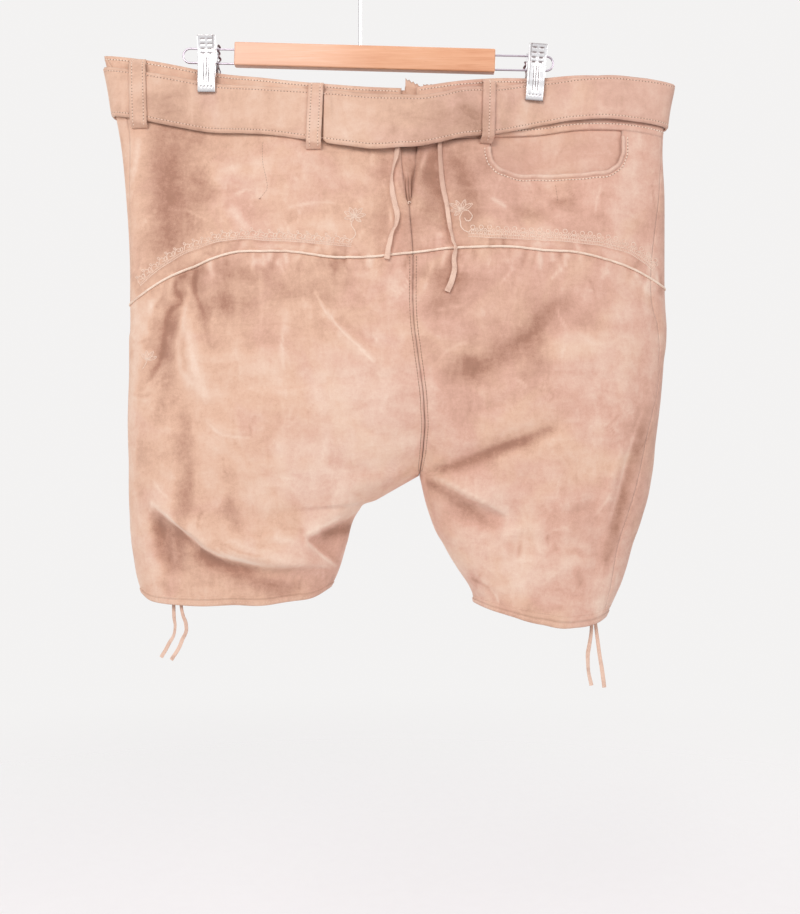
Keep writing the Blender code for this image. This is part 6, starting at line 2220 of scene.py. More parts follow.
@dataclass
class Belt:
    """The strap with its loops, keeper and buckle."""

    bench: Bench
    sewing: Sewing
    stations: tuple[BeltStation, ...] = tuple(BeltStation(*row) for row in (
        (-262, -117, -168, 1.0), (-235, -122, -174, 1.0), (-176, -131, -184, 1.4),
        (-120, -139, -190, 2.4), (-52, -145, -200, 2.0), (-20, -148, -205.5, 4.5),
        (41, -152, -207.6, 5.5), (80, -150, -203, 5.0), (103, -144, -197, 4.0), (138, -141, -191, 1.6),
        (169, -135, -183, 1.2), (195, -133, -178, 1.2), (229, -131, -176, 3.0), (279, -132, -178, 2.4),
        (319, -136, -182, 1.0),
    ))
    overlap: float = 105.0
    level: float = 0.6
    ramp: float = 24.0
    columns: int = 470
    half_columns: int = 360
    turn_weight: float = 10.0
    strap_width: float = 51.0
    loop_length: float = 72.0
    join_x: float = -37.0
    loops: tuple[LoopPlan, ...] = (
        LoopPlan("loop_back_left", "belt_loop_back_left", Face.BACK,
                 -226, -112, -223, -184, 16.5, (-5.2, 5.2)),
        LoopPlan("loop_back_middle", "belt_loop_back_middle", Face.BACK,
                 -43.5, -138, -45.5, -209, 15.5, (-4.4, 4.4)),
        LoopPlan("loop_back_right", "belt_loop_back_right", Face.BACK, 131, -134, 128, -201, 13, (0.3,)),
        LoopPlan("loop_front_left", "belt_loop_front_left", Face.FRONT,
                 -110, -128, -110, -203, 17, (-5.2, 5.2)),
        LoopPlan("loop_front_right", "belt_loop_front_right", Face.FRONT,
                 210, -124, 210, -188, 17, (-5.2, 5.2)),
        LoopPlan("keeper", "belt_keeper", Face.FRONT, -12, -139, -12, -214, 14, (), 2),
    )
    clearance: float = 2.4
    lift: float = 0.2

    def __post_init__(self) -> None:
        """Make smooth curves of the stations' columns."""
        places = [row.x for row in self.stations]
        self.top = Profile(places, [row.top for row in self.stations])
        self.bottom = Profile(places, [row.bottom for row in self.stations])
        self.stand_off = Profile(places, [row.stand_off for row in self.stations])

    def route(self) -> tuple[Array, Array, Array, Array, float]:
        """The strap's way round the waist from the buckle.

        Returns:
            For each place whether it is on the left half, its angle, its run, its weighted run,
            and the run once round.
        """
        shell = self.bench.shell
        quarter = np.linspace(-np.pi / 2, np.pi / 2, self.half_columns)
        legs = ((Side.LEFT, quarter), (Side.RIGHT, quarter[::-1]), (Side.LEFT, quarter))
        is_left = np.concatenate([np.full(len(turn), side is Side.LEFT) for side, turn in legs])
        angles = np.concatenate([turn for _, turn in legs])
        track = np.concatenate([shell.point(side, turn, self.level, False) for side, turn in legs])
        run, weighted = weighted_run(track, self.turn_weight)
        once_round = run[2 * len(quarter) - 1]
        keep = run <= once_round + self.overlap
        return is_left[keep], angles[keep], run[keep], weighted[keep], float(once_round)

    def waist_point(self, side: Side, angle: Array, z: Array) -> Array:
        """Points of the plain outer face at an angle and a height.

        Args:
            side: which half.
            angle: places round the section.
            z: the height of each.
        Returns:
            Rows of x, y, z in millimetres.
        """
        low = np.zeros_like(angle)
        high = np.full_like(angle, self.bench.shell.halves[side].level["yoke"])
        for _ in range(26):
            middle = 0.5 * (low + high)
            above = self.bench.shell.point(side, angle, middle, False)[..., 2] > z
            low = np.where(above, middle, low)
            high = np.where(above, high, middle)
        return self.bench.shell.point(side, angle, 0.5 * (low + high), False)

    def layout(self, share: Array, down: Array, rise: Array) -> tuple[Array, Array]:
        """Points of the strap.

        Args:
            share: places along it, from 0 at the buckle to 1 at its end.
            down: places from its upper edge, 0, to its lower edge, 1.
            rise: height above the strap's inner face.
        Returns:
            The points and the outward directions.
        """
        is_left, angles, run, weighted, once_round = self.route()
        wanted = share * weighted[-1]
        nearest = np.clip(np.searchsorted(weighted, wanted), 0, len(run) - 1)
        here_run = np.interp(wanted, weighted, run)
        ramp = np.clip((here_run - once_round + self.ramp) / self.ramp + 0.25, 0.0, 1.0)
        second = (BELT_SUEDE + LAID_ON) * ramp * ramp * (3.0 - 2.0 * ramp)
        spots = np.zeros(share.shape + (3,))
        normals = np.zeros_like(spots)
        place, half = np.arange(len(angles)), self.half_columns
        steady = np.where(place < half, angles, np.where(
            place < 2 * half, np.pi - angles, 2 * np.pi + angles))
        turned = np.interp(wanted, weighted, steady)
        turned = np.where(nearest < half, turned, np.where(
            nearest < 2 * half, np.pi - turned, turned - 2 * np.pi))
        for side in Side:
            chosen = is_left[nearest] == (side is Side.LEFT)
            angle = turned[chosen]
            x = self.bench.shell.point(side, angle, self.level, False)[..., 0]
            z = self.top(x) + (self.bottom(x) - self.top(x)) * down[chosen]
            step = 0.02
            along = self.waist_point(side, angle + step, z) - self.waist_point(side, angle - step, z)
            turn = 1.0 if side is Side.LEFT else -1.0
            normal = np.stack([along[..., 1] * turn, -along[..., 0] * turn, np.zeros_like(angle)], axis=-1)
            normal /= np.linalg.norm(normal, axis=-1, keepdims=True)
            height = self.stand_off(x) + second[chosen] + rise[chosen]
            spots[chosen] = self.waist_point(side, angle, z) + normal * height[..., None]
            normals[chosen] = normal
        return spots, normals

    def surface(self, x: Array, down: Array, behind: Array) -> Array:
        """Height of the strap's outer face over its inner one, with its edges, rows and dents.

        Args:
            x: where, across.
            down: places from its upper edge, 0, to its lower edge, 1.
            behind: 1 where it lies on the back, where the ridge, dents and join are.
        Returns:
            Heights in millimetres.
        """
        inset = np.minimum(down, 1.0 - down) * self.strap_width
        height = BELT_SUEDE - 1.5 * np.exp(-(inset / 1.3) ** 2)
        height -= 0.55 * np.exp(-((inset - 4.2) / 1.1) ** 2)
        sway = np.sin(x / 17.0 + 0.6) * np.sin(x / 41.0 + 1.1) + 0.5 * np.sin(x / 9.3 + 3.0 * down)
        height += 0.28 * sway
        ridge = 0.9 * np.exp(-((x + 25.0 + 2.0 * (down - 0.4)) / 2.4) ** 2)
        ridge = ridge * smooth_step((1.0 - down) * 2.2 - 0.6)
        dent = 1.1 * np.exp(-((x + 70.0) / 16.0) ** 2) + 0.8 * np.exp(-((x - 8.0) / 13.0) ** 2)
        gap = 2.7 * np.exp(-((x - self.join_x) / 1.15) ** 4)
        return height + behind * (ridge - dent * (0.6 + 0.4 * down) - gap)

    def make_strap(self) -> None:
        """The strap, with its stitched edges and the join beside the middle loop."""
        _, _, run, weighted, _ = self.route()
        share = np.linspace(0.0, 1.0, self.columns + 1)
        rough, _ = self.layout(share, np.full_like(share, 0.5), np.zeros_like(share))
        near = (rough[:, 1] < 0.0) & (np.abs(rough[:, 0] - self.join_x) < 9.0)
        middle = float(np.mean(share[near]))
        share = np.unique(np.concatenate([share, np.linspace(middle - 0.008, middle + 0.008, 34)]))
        low = np.array([0.0, 0.006, 0.018, 0.034, 0.052, 0.066, 0.075, 0.083, 0.091, 0.100, 0.114])
        down = np.concatenate([low, np.linspace(0.15, 0.85, 13), 1.0 - low[::-1]])
        u, v = np.meshgrid(share, down)
        flat, _ = self.layout(u, v, np.zeros_like(u))
        behind = (flat[..., 1] < 0.0).astype(float)
        height = self.surface(flat[..., 0], v, behind)
        corner = behind * 3.2 * np.exp(-((flat[..., 0] - self.join_x) / 3.0) ** 2)
        edge = np.abs(v - 0.5) * 2.0
        points, outward = self.layout(u, v, height)
        points[..., 2] -= np.sign(0.5 - v) * corner * edge ** 3
        piece = self.bench.finish(
            "strap", self.bench.lay(points, outward), self.bench.looks.belt, ("belt",), "belt_suede")
        inset = np.minimum(v, 1.0 - v) * self.strap_width
        # Painted shade in the join's gap and beside the fold of the doubled end; the strap is also darker
        # along its edges.
        join = behind * np.exp(-((flat[..., 0] - self.join_x) / 1.2) ** 4) * 0.5
        fold = behind * np.exp(-((flat[..., 0] - self.join_x - 8.4 - 3.5 * v) / 0.9) ** 2)
        fold *= smooth_step((1.0 - v) * 2.2 - 0.6)
        self.bench.mark(piece, np.clip(join + 0.14 * np.exp(-(inset / 0.9) ** 2) + 0.10 * fold, 0.0, 1.0))
        self.bench.cloth(piece, points, BELT_SUEDE - 1.4, "laid")
        fine = np.linspace(0.002, 0.998, 1400)
        for place in (0.083, 0.917):
            row = np.full_like(fine, place)
            plain, _ = self.layout(fine, row, np.zeros_like(fine))
            back = (plain[:, 1] < 0.0).astype(float)
            rise = self.surface(plain[:, 0], row, back) + 0.1
            path, normals = self.layout(fine, row, rise)
            self.sewing.row("belt_stitches", RUNNING, path, normals)

    def make_loop(self, plan: LoopPlan) -> None:
        """One loop that is sewn to the waistband above and below the strap.

        Args:
            plan: the loop.
        """
        across = np.linspace(0.0, 1.0, 13)
        down = np.linspace(0.0, 1.0, 61)
        u, v = np.meshgrid(across, down)
        x, z, rise = self.loop_place(plan, u, v)
        offset = np.abs(u - 0.5) * plan.width
        edge = plan.width / 2.0 - offset
        rise = rise + TRIM_SUEDE - 0.8 * np.exp(-(edge / 1.0) ** 2)
        for row in plan.rows:
            rise = rise - 0.4 * np.exp(-(((u - 0.5) * plan.width - row) / 1.0) ** 2)
        ends = np.minimum(v, 1.0 - v) * self.loop_length
        rise = rise - 0.7 * np.exp(-(ends / 1.2) ** 2)
        points, outward = self.bench.shell.on_face(plan.face, x, z, rise)
        sheet = self.bench.lay(points, outward)
        piece = self.bench.finish(
            f"{plan.name}_suede", sheet, self.bench.looks.belt, (plan.node,), "belt_suede")
        self.bench.cloth(piece, points, TRIM_SUEDE, "laid")
        fine = np.linspace(0.03, 0.97, 120)
        for row in plan.rows:
            place = np.full_like(fine, 0.5 + row / plan.width)
            x, z, rise = self.loop_place(plan, place, fine)
            path, normals = self.bench.shell.on_face(plan.face, x, z, rise + TRIM_SUEDE - 0.3)
            self.sewing.row("loop_stitches", RUNNING, path, normals)

    def loop_place(self, plan: LoopPlan, across: Array, down: Array) -> tuple[Array, Array, Array]:
        """Where a loop lies: x, z and the height of its inner face over the cloth.

        Args:
            plan: the loop.
            across: places over its width, from 0 to 1.
            down: places along it, from 0 to 1.
        Returns:
            x, z and height.
        """
        x = plan.x_top + (plan.x_bottom - plan.x_top) * down + (across - 0.5) * plan.width
        z = plan.z_top + (plan.z_bottom - plan.z_top) * down
        over = self.stand_off(x) + plan.layers * (BELT_SUEDE + LAID_ON + self.lift) + LAID_ON
        from_top = (plan.z_top - z) / (plan.z_top - self.top(x) - self.clearance)
        from_foot = (z - plan.z_bottom) / (self.bottom(x) - self.clearance - plan.z_bottom)
        rise = smooth_step(np.minimum(from_top, from_foot) * 0.9 + 0.05)
        return x, z, LAID_ON + (over - LAID_ON) * rise

    def make_buckle(self) -> None:
        """A plain frame and prong at the centre front."""
        x, half_width, half_height, corner, wire, prong = 34.0, 17.0, 31.0, 6.0, 1.9, 1.6
        middle = float(self.top(x) + self.bottom(x)) / 2.0
        outline = []
        for quarter, (sign_x, sign_z) in enumerate(((1, 1), (-1, 1), (-1, -1), (1, -1))):
            for turn in np.radians(90.0 * quarter + np.linspace(0.0, 90.0, 9)):
                outline.append((x + sign_x * (half_width - corner) + corner * math.cos(turn),
                                middle + sign_z * (half_height - corner) + corner * math.sin(turn)))
        places = np.array(outline)
        over = float(self.stand_off(x)) + 2 * BELT_SUEDE + 3 * LAID_ON
        path, outward = self.bench.shell.on_face(Face.FRONT, places[:, 0], places[:, 1], over + wire)
        ring = circle(12)
        frame_mesh = self.bench.sweep(path, outward, ring * wire, closed=True)
        self.bench.finish("buckle_ring", frame_mesh, self.bench.looks.brass, ("buckle_frame",), "old_brass")
        reach = np.linspace(half_width, -half_width - 3.0, 24)
        path, outward = self.bench.shell.on_face(Face.FRONT, x + reach, np.full_like(reach, middle),
                                                 over + 2 * wire + prong + SEAM_GAP)
        thick = prong * (1.0 - 0.35 * smooth_step((np.arange(24) - 17) / 6.0))
        tine = self.bench.sweep(path, outward, ring[None, :, :] * thick[:, None, None])
        self.bench.finish("buckle_tine", tine, self.bench.looks.brass, ("buckle_prong",), "old_brass")

    def build(self) -> None:
        """Make the strap and everything on it."""
        self.make_strap()
        for plan in self.loops:
            self.make_loop(plan)
        self.make_buckle()
        self.sewing.sew("belt_stitches", self.bench.looks.vine)
        self.sewing.sew("loop_stitches", self.bench.looks.vine)


# --- laces

@dataclass(frozen=True)
class LacePlan:
    """A flat tie: its route in millimetres, and its width, thickness and turn along the way."""

    name: str
    stops: tuple[tuple[float, float, float], ...]
    widths: tuple[float, ...]
    turns: tuple[float, ...]
    width: float
    thickness: float
    on_cloth: bool
    # How much darker the tie is towards its start.
    darker_share: float = 0.3


@dataclass
class Laces:
    """The ties of the back slit and of the hems."""

    bench: Bench
    hidden_start: float = 9.0
    plans: tuple[LacePlan, ...] = (
        LacePlan("back_lace_left", (
            (38, -196, 2.6), (38, -212, 2.8), (34.5, -230, 2.6), (33.5, -250, 2.6), (36, -266, 2.6),
            (38.4, -281, 3.0), (33.5, -296, 3.8), (28, -322, 3.6)),
            (4.6, 5.2, 3.6, 5.0, 5.6, 5.2, 5.4, 5.8), (10, 25, 50, 15, -10, 45, 30, 10), 6.0, 1.5, True),
        LacePlan("back_lace_right", (
            (81, -194, 2.6), (81.5, -212, 2.6), (82.5, -230, 2.6), (85.5, -252, 2.6), (89, -270, 2.8),
            (90.2, -286, 3.2), (93, -302, 3.8), (95.5, -322, 3.8), (94, -338, 3.0), (87.5, -355, 2.6)),
            (4.4, 4.6, 4.8, 5.0, 4.6, 4.4, 4.0, 4.6, 5.4, 6.0),
            (-20, -25, -20, -15, -20, -10, -40, -15, -10, 5), 5.0, 1.5, True, 0.75),
        LacePlan("leg_lace_left_outer", (
            (-188, -22, -671), (-187, -24, -680), (-186, -25, -692), (-192, -25, -706), (-200, -24, -720)),
            (3.4, 3.8, 4.0, 4.0, 3.8), (10, 20, 45, 20, 0), 4.0, 1.5, False),
        LacePlan("leg_lace_left_inner", (
            (-180, -27, -672), (-177, -28, -678), (-174, -29, -686), (-178, -29, -702), (-189, -28, -722)),
            (3.2, 3.6, 3.8, 4.0, 3.8), (0, 15, -30, 10, 0), 4.0, 1.5, False),
        LacePlan("leg_lace_right_inner", (
            (236, -17, -694), (234.5, -19, -700), (233, -20, -708), (231.5, -21, -726), (235, -21, -749)),
            (3.4, 3.8, 4.2, 4.0, 4.0), (20, 30, 0, -30, 0), 4.0, 1.5, False),
        LacePlan("leg_lace_right_outer", (
            (240, -14, -693), (242, -15, -702), (244, -16, -719), (246.5, -16, -734), (249, -16, -752)),
            (3.4, 3.8, 4.0, 4.2, 4.2), (-10, 0, 30, 10, -10), 4.0, 1.5, False),
    )

    def make(self, plan: LacePlan) -> None:
        """Cut one tie and lay it on its route.

        Args:
            plan: the tie.
        """
        step = 2.0
        stops = plan.stops
        if not plan.on_cloth:
            x, y, z = stops[0]
            stops = ((x, y + 1.0, z + self.hidden_start), *stops[1:])
        route = smooth_route(stops, step)
        if plan.on_cloth:
            path, outward = self.bench.shell.on_face(Face.BACK, route[:, 0], route[:, 1], route[:, 2])
        else:
            path, outward = route, TO_BACK
        at = np.linspace(0.0, 1.0, len(plan.widths))
        along = np.linspace(0.0, 1.0, len(path))
        width = Profile(at, plan.widths)(along)
        turn = np.radians(Profile(at, plan.turns)(along))
        corners = np.array([(-1.0, -0.45), (-0.92, 0.5), (-0.5, 1.0), (0.0, 0.9), (0.5, 1.0), (0.92, 0.5),
                            (1.0, -0.45), (0.6, -1.0), (0.0, -0.9), (-0.6, -1.0)]) / 2.0
        wide, tall = corners[None, :, 0] * width[:, None], corners[None, :, 1] * plan.thickness
        section = np.stack([wide * np.cos(turn)[:, None] - tall * np.sin(turn)[:, None],
                            wide * np.sin(turn)[:, None] + tall * np.cos(turn)[:, None]], axis=-1)
        strip = self.bench.sweep(path, outward, section)
        piece = self.bench.finish(
            f"{plan.name}_tie", strip, self.bench.looks.lace, (plan.name,), "cream_leather")
        # Each tie is darker towards its start, by its darker share.
        self.bench.mark_near(piece, path, plan.darker_share * smooth_step(1.3 - 2.2 * along))
        spots = [tuple(float(value) * MM for value in spot) for spot in path[::4]]
        if not np.allclose(path[-1] * MM, spots[-1]):
            spots.append(tuple(float(value) * MM for value in path[-1]))

    def build(self) -> None:
        """Make every tie."""
        for plan in self.plans:
            self.make(plan)


# --- front

@dataclass
class Front:
    """The drop front and its stitches; its buttons stay as CAD nodes."""

    bench: Bench
    sewing: Sewing
    x_left: float = -38.0
    x_right: float = 142.0
    z_top: float = -219.0
    z_foot: float = -366.0
    corner: float = 26.0
    taper: float = 0.10
    lift: float = LAID_ON + 0.4
    row_insets: tuple[float, float] = (5.0, 8.5)

    def place(self, across: Array, down: Array) -> tuple[Array, Array]:
        """x and z of places on the flap.

        Args:
            across: places over its width, from 0 to 1.
            down: places from its top, 0, to its foot, 1.
        Returns:
            x and z.
        """
        side = across * 2.0 - 1.0
        middle, half = 0.5 * (self.x_left + self.x_right), 0.5 * (self.x_right - self.x_left)
        x = middle + half * side * (1.0 - self.taper * down ** 2)
        foot = self.z_foot + self.corner * np.abs(side) ** 6
        return x, self.z_top + (foot - self.z_top) * down

    def build(self) -> None:
        """Make the flap and its two rows of stitches."""
        u, v = np.meshgrid(np.linspace(0.0, 1.0, 96), np.linspace(0.0, 1.0, 80))
        x, z = self.place(u, v)
        width, height = self.x_right - self.x_left, self.z_top - self.z_foot
        edge = np.minimum(np.minimum(u, 1.0 - u) * width, np.minimum(v, 1.0 - v) * height)
        rise = self.lift + SUEDE - 0.9 * np.exp(-(edge / 1.4) ** 2)
        rise = rise - 0.4 * np.exp(-((edge - self.row_insets[0]) / 1.2) ** 2)
        points, outward = self.bench.shell.on_face(Face.FRONT, x, z, rise)
        piece = self.bench.finish("flap_suede", self.bench.lay(points, outward), self.bench.looks.suede,
                                  ("front_flap",))
        self.bench.cloth(piece, points, SUEDE - 0.9, "laid")
        for inset in self.row_insets:
            along = np.linspace(0.0, 1.0, 120)
            near, low = inset / width, 1.0 - inset / height
            route = [(near, value * low) for value in along[2:]]
            route += [(near + (1.0 - 2 * near) * value, low) for value in along[1:]]
            route += [(1.0 - near, low * (1.0 - value)) for value in along[1:-2]]
            table = np.array(route)
            x, z = self.place(table[:, 0], table[:, 1])
            path, normals = self.bench.shell.on_face(Face.FRONT, x, z, self.lift + SUEDE - 0.2)
            self.sewing.row("flap_stitches", FINE, path, normals)
        self.sewing.sew("flap_stitches", self.bench.looks.thread)


# --- embroidery

@dataclass(frozen=True)
class Border:
    """A band of embroidery over a yoke: its lower line, and where its motifs start."""

    name: str
    stops: tuple[tuple[float, float], ...]
    pitch: float
    leafy: bool


@dataclass
class Embroidery:
    """Cream thread in a traditional vine, scallops and sprigs, raised on the hide."""

    bench: Bench
    thread: float = 0.46
    threads: list[Shape] = field(default_factory=list)
    borders: tuple[Border, ...] = (
        Border("left", (
            (-222, -344), (-189, -321), (-160, -308), (-130, -301), (-93, -302), (-54, -304.5),
            (-7, -309)), 9.4, True),
        Border("right", (
            (109, -299), (147, -300.5), (186, -302), (224, -304.5), (254, -309), (282, -318.5),
            (297, -329)), 8.4, False),
    )

    def stitch_line(self, line: Array, thick: float = 1.0) -> None:
        """Lay one thread along a line of x and z.

        Args:
            line: rows of x and z.
            thick: its thickness, as a share of the usual thread's.
        """
        dense = smooth_route(line, 0.85) if len(line) > 2 else np.linspace(line[0], line[-1], 5)
        path, outward = self.bench.shell.on_face(Face.BACK, dense[:, 0], dense[:, 1], 0.12)
        ring = circle(5) * (1.0, 0.7)
        beads = self.thread * thick * (1.0 + 0.22 * np.cos(np.arange(len(path)) * math.pi))
        self.threads.append(self.bench.sweep(path, outward, ring[None] * beads[:, None, None]))

    @staticmethod
    def leaf(foot: Array, heading: float, length: float, width: float) -> Array:
        """The outline of a leaf from its foot and back to it.

        Args:
            foot: x and z of its foot.
            heading: the way that it points, in radians.
            length: in millimetres.
            width: in millimetres.
        Returns:
            Rows of x and z.
        """
        t = np.linspace(0.0, 1.0, 7)
        side = np.sin(t * math.pi) ** 0.8 * width / 2.0
        along = np.concatenate([t * length, t[-2::-1] * length])
        across = np.concatenate([side, -side[-2::-1]])
        c, s = math.cos(heading), math.sin(heading)
        return foot + np.stack([along * c - across * s, along * s + across * c], axis=1)

    @staticmethod
    def curl(centre: Array, radius: float, first: float, turns: float) -> Array:
        """A spiral that closes in on its centre.

        Args:
            centre: x and z of its middle.
            radius: its widest radius.
            first: the angle that it starts from.
            turns: how often it goes round.
        Returns:
            Rows of x and z.
        """
        t = np.linspace(0.0, 1.0, max(8, int(14 * abs(turns))))
        angle = first + t * turns * 2.0 * math.pi
        reach = radius * (1.0 - 0.72 * t)
        return centre + np.stack([np.cos(angle) * reach, np.sin(angle) * reach], axis=1)

    def make_border(self, border: Border) -> None:
        """The double line and the motifs that stand on it.

        Args:
            border: the band.
        """
        line = smooth_route(border.stops, 1.0)
        run = run_along(line)
        tangent = np.gradient(line, axis=0)
        tangent /= np.linalg.norm(tangent, axis=1, keepdims=True)
        normal = np.stack([-tangent[:, 1], tangent[:, 0]], axis=1)
        band = 2.3 if border.leafy else 3.2
        for lift in (0.0, band):
            self.stitch_line(line + normal * lift, 0.8)
        for at in np.arange(0.8, run[-1], 1.7):
            spot, up = row_at(line, run, at), row_at(normal, run, at)
            self.stitch_line(np.array([spot + up * 0.2, spot + up * (band - 0.2)]), 0.6)
        count = int(run[-1] / border.pitch)
        for number in range(count):
            middle = (number + 0.5) * run[-1] / count
            spot, up = row_at(line, run, middle), row_at(normal, run, middle)
            if border.leafy:
                heading = math.atan2(up[1], up[0])
                self.leafy_unit(spot, up, heading, 1.0 + 0.12 * math.sin(number * 2.1))
            else:
                self.scallop_unit(spot, up, number)

    def leafy_unit(self, spot: Array, up: Array, heading: float, size: float) -> None:
        """A scroll that rises and curls over, with a leaf before it and a bud on it.

        Args:
            spot: x and z of the unit's place on the line.
            up: the direction away from the line.
            heading: the same as an angle.
            size: its height, as a share of the usual one.
        """
        side = np.array([up[1], -up[0]])
        foot = spot + up * 2.9 - side * 4.4
        rise = np.array([
            foot, foot + side * 0.4 + up * 2.6, foot + side * 2.6 + up * 5.2 * size,
            foot + side * 5.4 + up * 5.0 * size, foot + side * 6.2 + up * 2.8,
            foot + side * 4.6 + up * 1.6, foot + side * 3.4 + up * 2.8])
        self.stitch_line(rise)
        self.stitch_line(self.leaf(foot + side * 6.4 + up * 0.4, heading - 0.5, 5.2 * size, 2.6))
        self.stitch_line(self.leaf(foot + side * 2.4 + up * 5.8 * size, heading + 0.5, 3.0, 1.9), 0.9)

    def scallop_unit(self, spot: Array, up: Array, number: int) -> None:
        """A round scallop with a ring inside, and a small ring between it and the next.

        Args:
            spot: x and z of the unit's place on the line.
            up: the direction away from the line.
            number: its number along the line.
        """
        side = np.array([up[1], -up[0]])
        turn = np.linspace(-0.1, math.pi + 0.1, 11)
        arc = spot + up * 3.9 + side * np.cos(turn)[:, None] * 3.7 + up * np.sin(turn)[:, None] * 3.6
        self.stitch_line(arc, 0.95)
        around = np.linspace(0.0, 2.0 * math.pi, 9)
        ring = np.stack([np.cos(around), np.sin(around)], axis=1)
        self.stitch_line(spot + up * 5.0 + ring * 1.4, 0.9)
        self.stitch_line(spot + up * (9.9 + 0.5 * (number % 3)) + ring * 2.1, 0.9)
        self.stitch_line(spot + up * 8.0 + side * 4.1 + ring * 1.2, 0.9)

    def blossom(self, centre: tuple[float, float], heading: float,
                petals: tuple[tuple[float, float, float], ...]) -> None:
        """Leaves round a centre.

        Args:
            centre: x and z of its middle.
            heading: the way that it faces.
            petals: turn, length and width of each leaf.
        """
        middle = np.array(centre)
        for turn, length, width in petals:
            way = np.array([math.cos(heading + turn), math.sin(heading + turn)])
            self.stitch_line(self.leaf(middle + way * 1.0, heading + turn, length, width))
            self.stitch_line(np.array([middle + way * 2.0, middle + way * (length - 0.6)]), 0.7)
        self.stitch_line(self.curl(middle, 1.2, 0.0, 1.2))

    def make_sprigs(self) -> None:
        """A flower over each border's inner end, a small one on the seat's side, and the slit's knot."""
        self.stitch_line(self.curl(np.array([50.2, -264.5]), 1.9, 0.2, 0.75), 0.9)
        self.stitch_line(np.array([
            (-9.0, -302.0), (-4.0, -298.5), (-3.6, -293.0), (-7.0, -287.0), (-6.5, -283.0)]), 1.2)
        self.blossom((-4.5, -278.5), math.radians(90.0), (
            (-1.35, 10.5, 3.6), (-0.75, 11.0, 3.4), (-0.15, 8.0, 3.2), (0.45, 9.5, 3.8), (1.05, 10.0, 3.8),
            (1.75, 8.5, 3.2), (2.5, 5.0, 2.6), (-2.2, 7.5, 2.8)))
        self.stitch_line(np.array([
            (109.0, -294.5), (103.5, -291.0), (101.5, -284.0), (102.0, -276.0), (106.0, -272.0),
            (111.5, -274.5), (112.0, -280.5), (108.0, -282.5), (105.5, -279.5)]), 1.2)
        self.blossom((102.5, -271.5), math.radians(90.0), (
            (-1.0, 12.0, 4.0), (-0.35, 10.5, 3.8), (0.5, 10.0, 3.4), (1.05, 12.5, 3.6), (1.65, 10.5, 3.0),
            (2.25, 8.0, 2.8)))
        self.blossom((-214.0, -420.0), math.radians(80.0), (
            (-1.1, 9.5, 3.2), (-0.5, 10.0, 3.2), (0.2, 8.5, 3.0), (0.9, 7.5, 2.8)))
        self.stitch_line(np.array([(-219.0, -429.0), (-216.0, -425.0), (-214.0, -421.0)]))

    def build(self) -> None:
        """Embroider both yokes and the seat's side."""
        for border in self.borders:
            self.make_border(border)
        self.make_sprigs()
        whole = bmesh.new()
        for thread in self.threads:
            part = bpy.data.meshes.new("thread")
            thread.to_mesh(part)
            thread.free()
            whole.from_mesh(part)
            bpy.data.meshes.remove(part)
        self.bench.finish("embroidery", whole, self.bench.looks.vine, slot="cream_leather")


# --- hanger

@dataclass(frozen=True)
class ClipPlan:
    """Where a clip hangs, and how far it leans."""

    name: str
    x: float
    z_wire: float
    lean: float
    # Strength of the painted shade and dark reflection on the clip's jaws.
    darker_share: float
    spring_from: int
    spring_to: int


CLIPS = (
    ClipPlan("left", -156.0, -104.6, 0.0, 0.75, 0, 11),
    ClipPlan("right", 181.0, -113.4, 4.4, 1.0, 3, 8),
)


